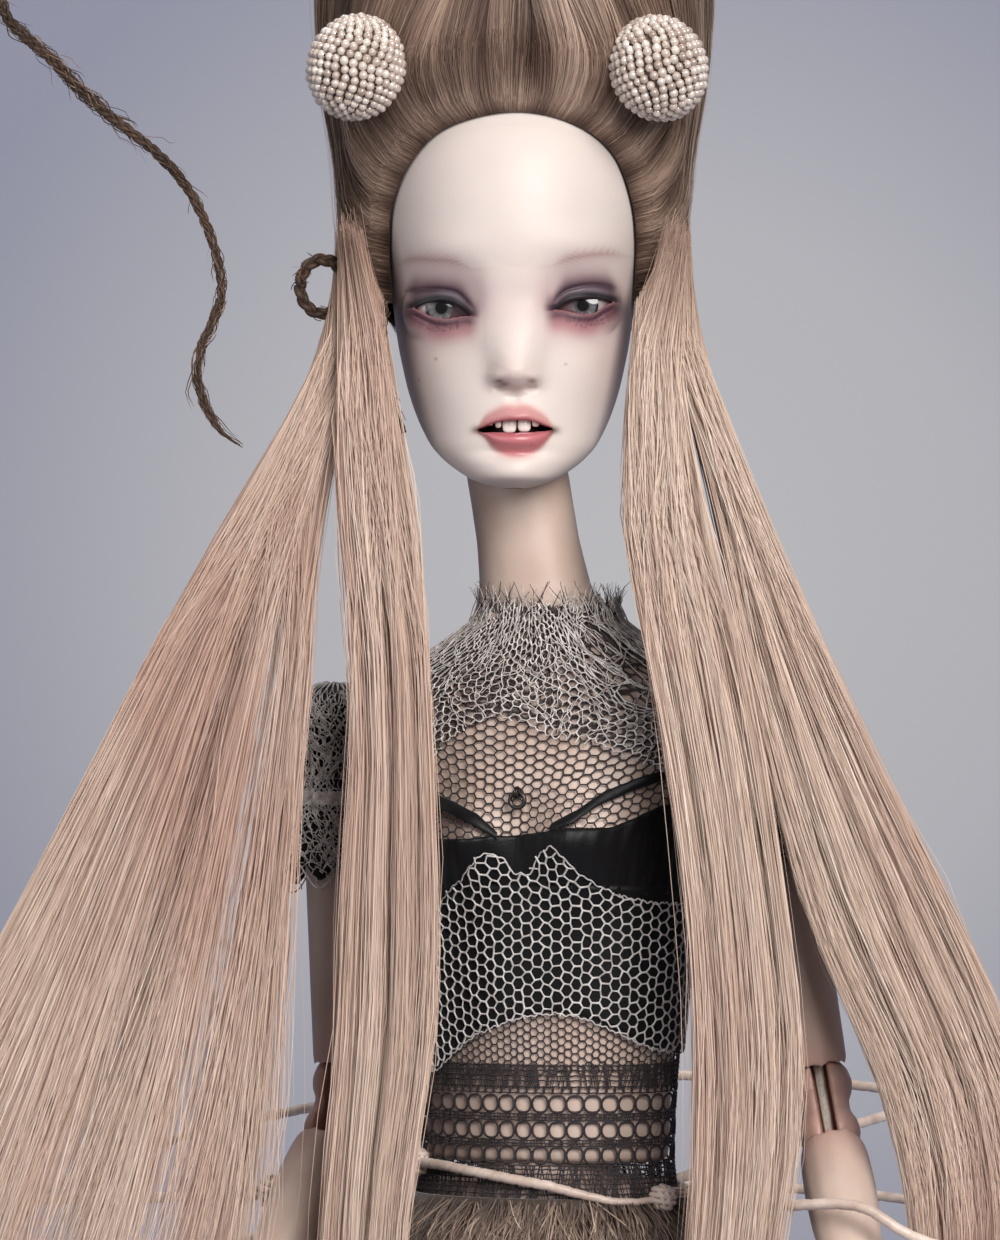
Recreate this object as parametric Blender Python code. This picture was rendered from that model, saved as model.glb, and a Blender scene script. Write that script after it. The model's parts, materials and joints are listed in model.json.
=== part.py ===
"""A strung ball-jointed fashion doll, standing, with a tall dressed wig and a net-and-lace costume.

The doll faces -Y, +Z is up, and the floor is z = 0. "Left" and "right" are the doll's own.
Loose balls and double-ended links sit between cups, and elastics inside hold the doll together:
two run from the feet up to a hook in the head, and one from hand to hand through the chest.
Run it with: blender --background --python part.py
"""
from math import cos, pi, radians, sin, tan

import bmesh
import bpy
import numpy as np
from mathutils import Vector

for old in list(bpy.data.objects):
    bpy.data.objects.remove(old)

# Driving sizes, in metres. Lengths along the body add up from the soles.
CLEARANCE = 0.0003
OVERRUN = 0.004
LIMB_SIDES = 12
TORSO_SIDES = 20
BALL_SIDES = 12

ANKLE_HEIGHT = 0.0180
SHIN_LENGTH = 0.0975
KNEE_LINK_LENGTH = 0.0106
THIGH_LENGTH = 0.0959
WAIST_RISE = 0.0360
RIB_RISE = 0.0300
SHOULDER_RISE = 0.0330
NECK_RISE = 0.0420

CHEST_HALF_WIDTH = 0.0245
CHEST_DEPTH = 0.0135
BUST_PROUD = 0.0048
BUST_SPREAD = 0.0088
BUST_SIZE = 0.0062
WAIST_BALL_RADIUS = 0.0102
WAIST_GAP = 0.0026
NECK_BALL_RADIUS = 0.0076
NECK_LEAN = 0.0050
CROTCH_DROP = 0.0120

HIP_SPREAD = 0.0138
HIP_BALL_RADIUS = 0.0092
THIGH_RADIUS = 0.0112
KNEE_BALL_RADIUS = 0.0064
CALF_RADIUS = 0.0084
ANKLE_BALL_RADIUS = 0.0046
FOOT_LENGTH = 0.0570
FOOT_WIDTH = 0.0184
HEEL_BACK = 0.0175
TOE_HEIGHT = 0.0046

SHOULDER_SPREAD = 0.0325
SHOULDER_BALL_RADIUS = 0.0066
UPPER_ARM_LENGTH = 0.0510
UPPER_ARM_RADIUS = 0.0051
ELBOW_BALL_RADIUS = 0.0046
ELBOW_LINK_LENGTH = 0.0074
FOREARM_LENGTH = 0.0460
FOREARM_RADIUS = 0.0052
WRIST_BALL_RADIUS = 0.0031
HAND_LENGTH = 0.0350
HAND_WIDTH = 0.0100
HAND_THICKNESS = 0.0040
FINGER_RADIUS = 0.00105
LEFT_ARM_OUT_DEG = 10.0
RIGHT_ARM_OUT_DEG = -1.0
FOREARM_OUT_DEG = 16.0
ELBOW_BEND_DEG = 20.0
PALM_TURN_DEG = 75.0

HEAD_HEIGHT = 0.0630
CHIN_DROP = 0.0057
HEAD_HALF_WIDTH = 0.0188
HEAD_DEPTH = 0.0225
HEAD_WALL = 0.0035
HEAD_TURN_DEG = 17.0
EYE_RADIUS = 0.0050
EYE_SPREAD = 0.0103
EYE_RISE = 0.0206
EYE_OPENING_WIDTH = 0.0082
EYE_OPENING_HEIGHT = 0.0030
NOSE_PROUD = 0.0040
NOSE_WIDTH = 0.0032
LIP_PROUD = 0.0016
MOUTH_RISE = 0.0029
MOUTH_WIDTH = 0.0104
MOUTH_OPENING = 0.0019
TOOTH_HEIGHT = 0.0030
TOOTH_WIDTH = 0.0018
NOD_DEG = 14.0
CAP_SEAM_RISE = 0.0400
CAP_TILT_DEG = 25.0
EYE_DEPTH = -0.0092
EYE_HOLLOW = 0.0012
LIP_HEIGHT = 0.0056
NOSE_RISE = 0.0106
NOSE_LENGTH = 0.0125
TOOTH_DEPTH = 0.0009

ELASTIC_RADIUS = 0.0008
CHANNEL_RADIUS = 0.0018
ARM_ELASTIC_RADIUS = 0.0007
ARM_CHANNEL_RADIUS = 0.0013
CORE_BORE_RADIUS = 0.0032
HOOK_WIRE_RADIUS = 0.0006
HOOK_HALF_WIDTH = 0.0050
BAR_RADIUS = 0.0007
FOOT_BAR_DROP = 0.0050
FOOT_BAR_HALF = 0.0030
HAND_BAR_RADIUS = 0.0004
HAND_BAR_DROP = 0.0050
HAND_BAR_HALF = 0.0015

UPDO_HALF_WIDTH = 0.0285
UPDO_DEPTH = 0.0270
UPDO_HEIGHT = 0.0850
UPDO_BASE_RISE = 0.0030
UPDO_ROLL_RADIUS = 0.0150
HAIRLINE_HALF_WIDTH = 0.0172
HAIRLINE_RISE = 0.0485
BEAD_BALL_RADIUS = 0.0076
BEAD_BALL_SPREAD = 0.0215
BEAD_BALL_RISE = 0.0548
BEAD_ROWS = 4
BEAD_RELIEF = 0.0003
BEAD_BALL_FORWARD = 0.0200
LOCK_THICKNESS = 0.0034
LOCK_FORWARD = 0.0200
LOCK_ROOT_FORWARD = 0.0040
TEMPLE_RISE = 0.0218
TEMPLE_BACK = 0.0020
PLAIT_RADIUS = 0.0008
PLAIT_REACH = 0.0600
LOOP_SPREAD = 0.0279
LOOP_FORWARD = 0.0030
LOOP_RISE = 0.0240
LOOP_RADIUS = 0.0033
SIDE_PLAIT_SPREAD = 0.0192
SIDE_PLAIT_FORWARD = 0.0090
SIDE_PLAIT_LENGTH = 0.0190

CLOTH_THICKNESS = 0.0004
SKIRT_THICKNESS = 0.0016
SKIRT_LENGTH = 0.0500
SKIRT_FLARE = 0.0140
SKIRT_HIP_EASE = 0.0032
SLEEVE_LENGTH = 0.0200
BRA_LOW = 0.0090
BRA_HIGH = 0.0225
CORSET_DROP = 0.0125
CORSET_RISE = 0.0150
LACE_DROP = 0.0050
LACE_TUCK = 0.0020
YOKE_DROP = 0.0030
YOKE_RISE = 0.0200
WAIST_CORD_DROP = 0.0028
WAIST_CORD_RADIUS = 0.0006
HOOP_CORD_RADIUS = 0.0007
UPPER_HOOP_RADIUS = 0.0870
UPPER_HOOP_HEIGHT = 0.2480
UPPER_HOOP_TILT_DEG = 12.0
LOWER_HOOP_RADIUS = 0.1040
LOWER_HOOP_HEIGHT = 0.2200
LOWER_HOOP_TILT_DEG = 15.0
PENDANT_RADIUS = 0.0011
PENDANT_WIRE_RADIUS = 0.00035

# Counts and shares that are not lengths.
HEAD_SIDES = 28
SKULL_SIDES = 16
UPDO_SIDES = 24
LOCK_SIDES = 12
BEAD_SIDES = 12
FRONT_CROWDING = 1.25
CAVITY_LOW, CAVITY_HIGH = 0.25, 0.93
FACE_LOW, FACE_HIGH = 0.06, 0.50
MOUTH_FRONT_SHARE = 0.845
UPDO_GROOVE_SHARE = 0.05
HAIRLINE_ARCH = 0.90
BEAD_BALL_FLAT_SHARE = 0.92
BEAD_BALL_TALL_SHARE = 1.05
LOOP_TALL_SHARE = 1.2
LOCK_FOLD_SHARE = 0.35
LOCK_ROOT_SHARE = 7.979
LOCK_FAN_SHARE = 4.615
LOCK_FOREARM_SHARE = 0.6043
FLAT_DEG = 2.5
SLOT_SHARE = 0.86
SPHERE_OFFSET = 0.37
FRONT_CUT_DEG = 40.0
BACK_CUT_DEG = 10.0

# Heights that follow from the sizes above.
LOWER_KNEE_Z = ANKLE_HEIGHT + SHIN_LENGTH
UPPER_KNEE_Z = LOWER_KNEE_Z + KNEE_LINK_LENGTH
HIP_Z = UPPER_KNEE_Z + THIGH_LENGTH
WAIST_Z = HIP_Z + WAIST_RISE
RIB_Z = WAIST_Z + RIB_RISE
SHOULDER_Z = RIB_Z + SHOULDER_RISE
NECK_Z = SHOULDER_Z + NECK_RISE
TORSO_SPAN = NECK_Z - HIP_Z
LOCK_BELOW_ELBOW = LOCK_FOREARM_SHARE * FOREARM_LENGTH
LOCK_LENGTH = TEMPLE_RISE + NECK_RISE + UPPER_ARM_LENGTH + ELBOW_LINK_LENGTH + LOCK_BELOW_ELBOW
LOCK_ROOT_REACH = LOCK_ROOT_SHARE * HEAD_HALF_WIDTH
LOCK_FAN_REACH = LOCK_FAN_SHARE * SHOULDER_SPREAD
CLOTH_STEP = CLEARANCE + CLOTH_THICKNESS
LACE_BAND = (WAIST_Z - LACE_DROP, RIB_Z - CORSET_DROP + LACE_TUCK)
CORSET_BAND = (RIB_Z - CORSET_DROP, RIB_Z + CORSET_RISE)
BRA_BAND = (RIB_Z + BRA_LOW, RIB_Z + BRA_HIGH)
YOKE_BAND = (SHOULDER_Z - YOKE_DROP, SHOULDER_Z + YOKE_RISE)
# Every edge of the cloth is a ring of the body too, so that the two run parallel.
CLOTH_EDGES = LACE_BAND + CORSET_BAND + BRA_BAND + YOKE_BAND

# Height above the hips as a share of the torso, then half width, front and back as shares of the chest.
TORSO_SHARES = (
    (-0.030, 0.80, 0.84, 0.98),
    (0.015, 0.97, 0.93, 1.08),
    (0.060, 1.00, 0.97, 1.06),
    (0.113, 0.94, 0.98, 0.94),
    (0.170, 0.85, 0.95, 0.88),
    (0.227, 0.78, 0.88, 0.86),
    (0.270, 0.75, 0.87, 0.86),
    (0.326, 0.76, 0.89, 0.88),
    (0.383, 0.79, 0.90, 0.90),
    (0.440, 0.82, 0.94, 0.95),
    (0.496, 0.85, 0.97, 0.97),
    (0.553, 0.87, 1.00, 1.00),
    (0.603, 0.89, 1.00, 1.02),
    (0.652, 0.97, 0.95, 1.04),
    (0.695, 1.12, 0.85, 1.00),
    (0.735, 1.12, 0.72, 0.92),
    (0.766, 0.95, 0.62, 0.80),
    (0.794, 0.66, 0.55, 0.69),
    (0.823, 0.42, 0.52, 0.61),
    (0.858, 0.345, 0.51, 0.56),
    (0.908, 0.315, 0.51, 0.53),
    (0.957, 0.310, 0.53, 0.54),
)
NECK_BASE_SHARE = 0.780
BUST_SHARE = 0.600

# Height above the chin as a share of the head, then half width, front and back as shares of the skull.
HEAD_SHARES = (
    (0.000, 0.20, 0.84, -0.56),
    (0.022, 0.33, 0.90, -0.30),
    (0.050, 0.47, 0.92, -0.02),
    (0.090, 0.61, 0.905, 0.22),
    (0.135, 0.70, 0.885, 0.46),
    (0.180, 0.765, 0.88, 0.66),
    (0.230, 0.82, 0.88, 0.80),
    (0.280, 0.86, 0.885, 0.90),
    (0.330, 0.895, 0.89, 0.96),
    (0.380, 0.92, 0.89, 1.00),
    (0.430, 0.94, 0.90, 1.02),
    (0.480, 0.96, 0.93, 1.04),
    (0.540, 0.98, 0.955, 1.05),
    (0.610, 1.00, 0.965, 1.04),
    (0.690, 0.99, 0.945, 1.01),
    (0.770, 0.94, 0.885, 0.95),
    (0.840, 0.84, 0.78, 0.84),
    (0.900, 0.70, 0.63, 0.69),
    (0.950, 0.50, 0.44, 0.49),
    (0.985, 0.26, 0.23, 0.25),
)

# Height of the wig as a share of its own, then half width, front and back as shares of its fullest.
UPDO_SHARES = (
    (0.00, 0.56, 0.40, 0.60),
    (0.06, 0.72, 0.62, 0.80),
    (0.14, 0.80, 0.78, 0.94),
    (0.24, 0.84, 0.86, 1.00),
    (0.36, 0.87, 0.90, 1.02),
    (0.48, 0.90, 0.92, 1.00),
    (0.58, 0.96, 0.92, 0.96),
    (0.68, 0.985, 0.90, 0.90),
    (0.78, 1.00, 0.86, 0.84),
    (0.87, 0.98, 0.80, 0.76),
    (0.94, 0.84, 0.66, 0.62),
    (0.985, 0.50, 0.40, 0.38),
)


def material(name, colour, roughness, metallic=0.0):
    made = bpy.data.materials.new(name)
    made.use_nodes = True
    shader = made.node_tree.nodes["Principled BSDF"]
    shader.inputs["Base Color"].default_value = (*colour, 1.0)
    shader.inputs["Roughness"].default_value = roughness
    shader.inputs["Metallic"].default_value = metallic
    return made


RESIN = ("skin_resin", (0.80, 0.68, 0.62), 0.42)
GLASS = ("eye_glass", (0.42, 0.42, 0.43), 0.08)
ENAMEL = ("tooth_enamel", (0.86, 0.82, 0.76), 0.25)
STEEL = ("steel_wire", (0.55, 0.55, 0.56), 0.30, 1.0)
RUBBER = ("elastic_cord", (0.85, 0.84, 0.80), 0.75)
BROWN_HAIR = ("ash_brown_mohair", (0.25, 0.16, 0.11), 0.50)
BLOND_HAIR = ("blond_mohair", (0.58, 0.44, 0.32), 0.48)
PEARL = ("pearl_seed_beads", (0.72, 0.62, 0.54), 0.28)
SILVER_NET = ("silver_net", (0.50, 0.47, 0.45), 0.45)
BLACK_SATIN = ("black_satin", (0.010, 0.009, 0.011), 0.35)
BLACK_LACE = ("black_lace", (0.045, 0.032, 0.032), 0.80)
SATIN_CORD = ("satin_cord", (0.46, 0.37, 0.30), 0.45)
FUR = ("grey_brown_fur", (0.22, 0.17, 0.14), 0.90)
DARK_METAL = ("blackened_metal", (0.05, 0.05, 0.05), 0.35, 1.0)


def empty(name, place, parent=None, turn=(0, 0, 0)):
    """A joint's centre. Its place is given in its parent's own frame."""
    made = bpy.data.objects.new(name, None)
    bpy.context.collection.objects.link(made)
    made.parent = parent
    made.location = place
    made.rotation_euler = turn
    return made


def add_mesh(name, points, faces, finish=None, parent=None, sharp_deg=40):
    """An object from points and faces, with its faces turned outwards."""
    mesh = bpy.data.meshes.new(name)
    mesh.from_pydata([tuple(point) for point in points], [], faces)
    turn_out(mesh)
    made = bpy.data.objects.new(name, mesh)
    bpy.context.collection.objects.link(made)
    made.parent = parent
    if finish:
        mesh.materials.append(material(f"{name}_{finish[0]}", *finish[1:]))
        mesh.shade_smooth()
        mesh.set_sharp_from_angle(angle=radians(sharp_deg))
    else:
        made.hide_render = True
        made.display_type = "WIRE"
    return made


def turn_out(mesh):
    """Recalculate the normals, and flip them all if the enclosed volume comes out negative."""
    work = bmesh_of(mesh)
    volume = work.calc_volume(signed=True)
    if volume < 0:
        for face in work.faces:
            face.normal_flip()
    work.to_mesh(mesh)
    work.free()


def bmesh_of(mesh):
    """The mesh as triangles, so that no face is bent where a Boolean meets it."""
    work = bmesh.new()
    work.from_mesh(mesh)
    bmesh.ops.triangulate(work, faces=work.faces, quad_method="SHORT_EDGE")
    bmesh.ops.recalc_face_normals(work, faces=work.faces)
    return work


def grid_faces(rows, columns, closed_ends=True):
    """Quads between successive rings, with one many-sided face over each end."""
    faces = []
    for row in range(rows - 1):
        for column in range(columns):
            after = (column + 1) % columns
            faces.append((row * columns + column, row * columns + after,
                          (row + 1) * columns + after, (row + 1) * columns + column))
    if closed_ends:
        faces.append(tuple(range(columns)))
        faces.append(tuple(range((rows - 1) * columns, rows * columns)))
    return faces


def loft(name, rings, finish=None, parent=None):
    """A closed solid through rings that all have the same number of points."""
    points = [point for ring in rings for point in ring]
    return add_mesh(name, points, grid_faces(len(rings), len(rings[0])), finish, parent)


def sleeve_loft(name, outer, inner, finish, parent):
    """A tube wall between two stacks of rings, open at both ends."""
    stack = list(outer) + list(reversed(inner))
    columns = len(outer[0])
    points = [point for ring in stack for point in ring]
    faces = grid_faces(len(stack), columns, False)
    last = (len(stack) - 1) * columns
    for column in range(columns):
        after = (column + 1) % columns
        faces.append((last + column, last + after, after, column))
    return add_mesh(name, points, faces, finish, parent)


def round_ring(radius, z, sides=LIMB_SIDES, x=0, y=0, flatten=1.0):
    """One ring of a limb; flatten is its depth as a share of its width."""
    return [(x + radius * cos(2 * pi * k / sides), y + flatten * radius * sin(2 * pi * k / sides), z)
            for k in range(sides)]


def limb(name, rows, finish, parent, flatten=1.0):
    """A limb shaft from rows of height, radius and forward bow."""
    rings = [round_ring(radius, z, y=bow, flatten=flatten) for z, radius, bow in rows]
    return loft(name, rings, finish, parent)


def sphere(name, radius, place=(0, 0, 0), finish=None, parent=None, sides=BALL_SIDES, squash=(1, 1, 1)):
    """A ball with its poles up and down, stretched by squash along each axis."""
    rows = sides // 2
    points = [(place[0], place[1], place[2] - radius * squash[2])]
    for row in range(1, rows):
        level = -pi / 2 + pi * row / rows
        for k in range(sides):
            spin = 2 * pi * (k + SPHERE_OFFSET) / sides
            points.append((place[0] + radius * squash[0] * cos(level) * cos(spin),
                           place[1] + radius * squash[1] * cos(level) * sin(spin),
                           place[2] + radius * squash[2] * sin(level)))
    points.append((place[0], place[1], place[2] + radius * squash[2]))
    top = len(points) - 1
    faces = []
    for k in range(sides):
        after = (k + 1) % sides
        faces.append((0, 1 + after, 1 + k))
        faces.append((top, top - sides + k, top - sides + after))
        for row in range(rows - 2):
            low = 1 + row * sides
            faces.append((low + k, low + after, low + sides + after, low + sides + k))
    return add_mesh(name, points, faces, finish, parent)


def box(name, low, high, parent=None, turn=(0, 0, 0)):
    """A cutter block between two corners."""
    points = [(x, y, z) for x in (low[0], high[0]) for y in (low[1], high[1]) for z in (low[2], high[2])]
    faces = [(0, 1, 3, 2), (4, 6, 7, 5), (0, 4, 5, 1), (2, 3, 7, 6), (0, 2, 6, 4), (1, 5, 7, 3)]
    made = add_mesh(name, points, faces, None, parent)
    made.rotation_euler = turn
    return made


def smooth_path(places, steps):
    """Points along a Catmull-Rom curve through the given places."""
    known = [Vector(place) for place in places]
    known = [2 * known[0] - known[1]] + known + [2 * known[-1] - known[-2]]
    path = []
    for k in range(1, len(known) - 2):
        a, b, c, d = known[k - 1:k + 3]
        for step in range(steps):
            t = step / steps
            path.append(0.5 * (2 * b + (c - a) * t + (2 * a - 5 * b + 4 * c - d) * t ** 2
                               + (3 * b - a - 3 * c + d) * t ** 3))
    return path + [known[-2]]


def tube(name, path, radius, finish=None, parent=None, sides=8, closed=False):
    """A round tube along a path. The radius is one size, or one for each point."""
    path = [Vector(point) for point in path]
    radii = radius if isinstance(radius, list) else [radius] * len(path)
    count = len(path)
    rings = []
    side = None
    for k in range(count):
        before = path[k - 1] if closed or k else path[0]
        after = path[(k + 1) % count] if closed else path[min(k + 1, count - 1)]
        along = (after - before).normalized()
        if side is None:
            side = along.orthogonal().normalized()
        side = (side - side.dot(along) * along).normalized()
        other = along.cross(side)
        rings.append([tuple(path[k] + radii[k] * (cos(2 * pi * j / sides) * side
                                                 + sin(2 * pi * j / sides) * other)) for j in range(sides)])
    if not closed:
        return loft(name, rings, finish, parent)
    points = [point for ring in rings for point in ring]
    faces = grid_faces(count, sides, False)
    last = (count - 1) * sides
    twist = min(range(sides), key=lambda j: (Vector(rings[0][j]) - Vector(rings[-1][0])).length)
    for j in range(sides):
        after = (j + 1) % sides
        faces.append((last + j, last + after, (after + twist) % sides, (j + twist) % sides))
    return add_mesh(name, points, faces, finish, parent)


def boolean(target, cutter, operation="DIFFERENCE"):
    """A live Boolean. The cutter stays in the scene, hidden from renders."""
    change = target.modifiers.new(f"{operation.lower()}_{cutter.name}", "BOOLEAN")
    change.operation = operation
    change.object = cutter
    change.solver = "EXACT"
    return target


def join(target, *shapes):
    for shape in shapes:
        boolean(target, shape, "UNION")
    return target


def world(joint, place=(0, 0, 0)):
    """A place in a joint's own frame, in world coordinates."""
    bpy.context.view_layer.update()
    return joint.matrix_world @ Vector(place)


# Torso

def blend_share(table, share):
    """The row of a table at a share of its height, read along straight lines between its rows."""
    heights = [row[0] for row in table]
    return [float(np.interp(share, heights, [row[k] for row in table])) for k in range(1, len(table[0]))]


def neck_place(share):
    """How far the neck has leaned sideways at a share of the torso's height."""
    risen = max(0.0, (share - NECK_BASE_SHARE) / (1 - NECK_BASE_SHARE))
    turn = radians(HEAD_TURN_DEG)
    lean = NECK_LEAN * risen
    return -lean * cos(turn), -lean * sin(turn)


def torso_ring(share, proud=0.0):
    """One ring of the torso, with the bust raised on it, grown outwards by proud."""
    half_width, front, back = blend_share(TORSO_SHARES, share)
    lean_x, lean_y = neck_place(share)
    ring = []
    for k in range(TORSO_SIDES):
        spin = 2 * pi * k / TORSO_SIDES
        depth = front if sin(spin) < 0 else back
        x = (CHEST_HALF_WIDTH * half_width + proud) * cos(spin)
        y = (CHEST_DEPTH * depth + proud) * sin(spin)
        if sin(spin) < 0:
            rise = (share - BUST_SHARE) * TORSO_SPAN / BUST_SIZE
            spread = (abs(x) - BUST_SPREAD) / BUST_SIZE
            y -= BUST_PROUD * np.exp(-rise ** 2 - spread ** 2)
        ring.append((x + lean_x, y + lean_y, HIP_Z + share * TORSO_SPAN))
    return ring


def share_of(z):
    return (z - HIP_Z) / TORSO_SPAN


def torso_rings(low, high, proud=0.0):
    """Rings of the torso between two shares of its height, with every row of the table between them."""
    marks = [row[0] for row in TORSO_SHARES] + [share_of(z) for z in CLOTH_EDGES]
    shares = [low] + sorted(mark for mark in marks if low < mark < high) + [high]
    return [torso_ring(share, proud) for share in shares]


def torso_piece(name, low_z, high_z, parent):
    return loft(name, torso_rings(share_of(low_z), share_of(high_z)), RESIN, parent)


def build_torso():
    """Pelvis, midriff and chest: each lower piece carries a ball, and each upper piece a cup on it."""
    half_gap = WAIST_GAP / 2
    pelvis = loft("pelvis", pelvis_rings(WAIST_Z - half_gap), RESIN)
    midriff = torso_piece("midriff", WAIST_Z + half_gap, RIB_Z - half_gap, None)
    chest = loft("chest", chest_rings(RIB_Z + half_gap), RESIN)
    for lower, upper, z in ((pelvis, midriff, WAIST_Z), (midriff, chest, RIB_Z)):
        join(lower, sphere(f"{lower.name}_ball", WAIST_BALL_RADIUS, (0, 0, z), sides=16))
        cup_radius = (WAIST_BALL_RADIUS + CLEARANCE) / cos(pi / 16)
        boolean(upper, sphere(f"{upper.name}_cup", cup_radius, (0, 0, z), sides=16))
    for side in (-1, 1):
        hip = sphere(f"hip_cup_{side}", (HIP_BALL_RADIUS + CLEARANCE) / cos(pi / BALL_SIDES),
                     (side * HIP_SPREAD, 0, HIP_Z))
        boolean(pelvis, hip)
        shoulder = sphere(f"shoulder_cup_{side}", (SHOULDER_BALL_RADIUS + CLEARANCE) / cos(pi / BALL_SIDES),
                          (side * SHOULDER_SPREAD, 0, SHOULDER_Z))
        boolean(chest, shoulder)
    return pelvis, midriff, chest


def pelvis_rings(top_z):
    """The pelvis narrows below the hip balls to the crotch, cut high for the thighs."""
    low = TORSO_SHARES[0][0]
    crotch = []
    for drop, width, depth in ((1.0, 0.12, 0.42), (0.72, 0.20, 0.62), (0.40, 0.36, 0.80)):
        z = HIP_Z + low * TORSO_SPAN - drop * CROTCH_DROP / 2
        crotch.append([(CHEST_HALF_WIDTH * width * cos(2 * pi * k / TORSO_SIDES),
                        CHEST_DEPTH * depth * sin(2 * pi * k / TORSO_SIDES), z) for k in range(TORSO_SIDES)])
    return crotch + torso_rings(low, share_of(top_z))


def chest_rings(low_z):
    """The chest and the neck are one casting; its rounded top is the ball that the head turns on."""
    rings = torso_rings(share_of(low_z), TORSO_SHARES[-1][0])
    lean_x, lean_y = neck_place(1.0)
    for level in range(0, 80, 16):
        rings.append(round_ring(NECK_BALL_RADIUS * cos(radians(level)), NECK_Z
                                + NECK_BALL_RADIUS * sin(radians(level)), TORSO_SIDES, lean_x, lean_y))
    return rings


# Head

def smooth_rows(table, steps):
    """A finer table, read from a Catmull-Rom curve through the rows."""
    rows = [np.array(row) for row in table]
    rows = [2 * rows[0] - rows[1]] + rows + [2 * rows[-1] - rows[-2]]
    fine = []
    for k in range(1, len(rows) - 2):
        a, b, c, d = rows[k - 1:k + 3]
        for step in range(steps):
            t = step / steps
            fine.append(0.5 * (2 * b + (c - a) * t + (2 * a - 5 * b + 4 * c - d) * t ** 2
                               + (3 * b - a - 3 * c + d) * t ** 3))
    return [tuple(row) for row in fine + [rows[-2]]]


HEAD_ROWS = [row for k, row in enumerate(smooth_rows(HEAD_SHARES, 2))
             if k % 2 == 0 or FACE_LOW < row[0] < FACE_HIGH]


def bump(distance, size):
    return float(np.exp(-(distance / size) ** 2))


def face_relief(x, z):
    """How far the features stand out of the smooth egg: nose, lips and brow out, eye hollows in."""
    rise = z - NOSE_RISE
    bridge = max(0.0, 1 - rise / NOSE_LENGTH) if rise > 0 else bump(rise, NOSE_WIDTH / 2)
    relief = NOSE_PROUD * bridge * bump(x, NOSE_WIDTH * (0.65 + 0.35 * bridge))
    for rise in (LIP_HEIGHT / 2, -LIP_HEIGHT / 2):
        relief += LIP_PROUD * bump(z - MOUTH_RISE - rise, LIP_HEIGHT / 2) * bump(x, MOUTH_WIDTH / 2.4)
    relief -= EYE_HOLLOW * bump(abs(x) - EYE_SPREAD, EYE_RADIUS) * bump(z - EYE_RISE, EYE_RADIUS * 0.8)
    return relief


def head_ring(row, proud=0.0, featured=True):
    """One ring of the head, grown outwards by proud. The face has more points, closer set in front."""
    share, half_width, front, back = row
    z = share * HEAD_HEIGHT - CHIN_DROP
    front, back = HEAD_DEPTH * front + proud, HEAD_DEPTH * back + proud
    ring = []
    sides, crowding = (HEAD_SIDES, FRONT_CROWDING) if featured else (SKULL_SIDES, 1)
    for k in range(sides):
        step = 2 * k / sides - 1
        spin = pi * abs(step) ** crowding * (1 if step > 0 else -1)
        x = (HEAD_HALF_WIDTH * half_width + proud) * sin(spin)
        y = (back - front) / 2 - (back + front) / 2 * cos(spin)
        if featured and cos(spin) > 0:
            y -= face_relief(x, z) * cos(spin)
        ring.append((x, y, z))
    return ring


def build_head(nod):
    """A hollow two-part head. The eyes go in from inside, and the cap comes off behind the hairline."""
    rings = [head_ring(row) for row in HEAD_ROWS]
    shell = loft("head_shell", rings, RESIN, nod)
    cap = loft("skull_cap", rings, RESIN, nod)
    cavity = [head_ring(row, -HEAD_WALL, False) for row in HEAD_SHARES if CAVITY_LOW < row[0] < CAVITY_HIGH]
    hollow = loft("head_hollow", cavity, None, nod)
    seam = -radians(CAP_TILT_DEG)
    far = HEAD_HEIGHT
    boolean(shell, hollow)
    boolean(cap, hollow)
    boolean(shell, box("above_seam", (-far, -far, CAP_SEAM_RISE), (far, far, 2 * far), nod, (seam, 0, 0)))
    below = box("below_seam", (-far, -far, -far), (far, far, CAP_SEAM_RISE + CLEARANCE), nod, (seam, 0, 0))
    boolean(cap, below)
    socket_radius = (NECK_BALL_RADIUS + CLEARANCE) / cos(pi / TORSO_SIDES)
    socket = sphere("neck_socket", socket_radius, (0, 0, 0), None, nod, TORSO_SIDES)
    flare = socket_radius + (CHIN_DROP + OVERRUN) * tan(radians(NOD_DEG + 4))
    throat = loft("throat_relief", [round_ring(flare, -CHIN_DROP - OVERRUN, TORSO_SIDES),
                                    round_ring(socket_radius, 0, TORSO_SIDES)], None, nod)
    floor = cavity[0][0][2]
    bore = tube("hook_bore", [(0, 0, 0), (0, 0, floor + OVERRUN)], CORE_BORE_RADIUS, None, nod, 16)
    for cutter in (socket, throat, bore):
        boolean(shell, cutter)
    build_eyes(shell, nod)
    build_teeth(shell, nod)
    return floor


def almond(half_width, half_height, y_low, y_high, x, z, sides=16):
    """A prism along Y with an eye's or a mouth's outline: round above and below, pointed at the corners."""
    rings = []
    for y in (y_low, y_high):
        rings.append([(x + half_width * cos(2 * pi * k / sides), y,
                       z + half_height * abs(sin(2 * pi * k / sides)) ** 1.4
                       * (1 if k < sides / 2 else -1)) for k in range(sides)])
    return rings


def build_eyes(shell, nod):
    for name, side in (("left_eye", 1), ("right_eye", -1)):
        place = (side * EYE_SPREAD, EYE_DEPTH, EYE_RISE)
        sphere(name, EYE_RADIUS, place, GLASS, nod, 16)
        seat = sphere(f"{name}_seat", (EYE_RADIUS + CLEARANCE) / cos(pi / 16), place, None, nod, 16)
        rings = almond(EYE_OPENING_WIDTH / 2, EYE_OPENING_HEIGHT / 2, -HEAD_DEPTH - OVERRUN, EYE_DEPTH,
                       side * EYE_SPREAD, EYE_RISE)
        opening = loft(f"{name}_opening", rings, None, nod)
        boolean(shell, seat)
        boolean(shell, opening)


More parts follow.
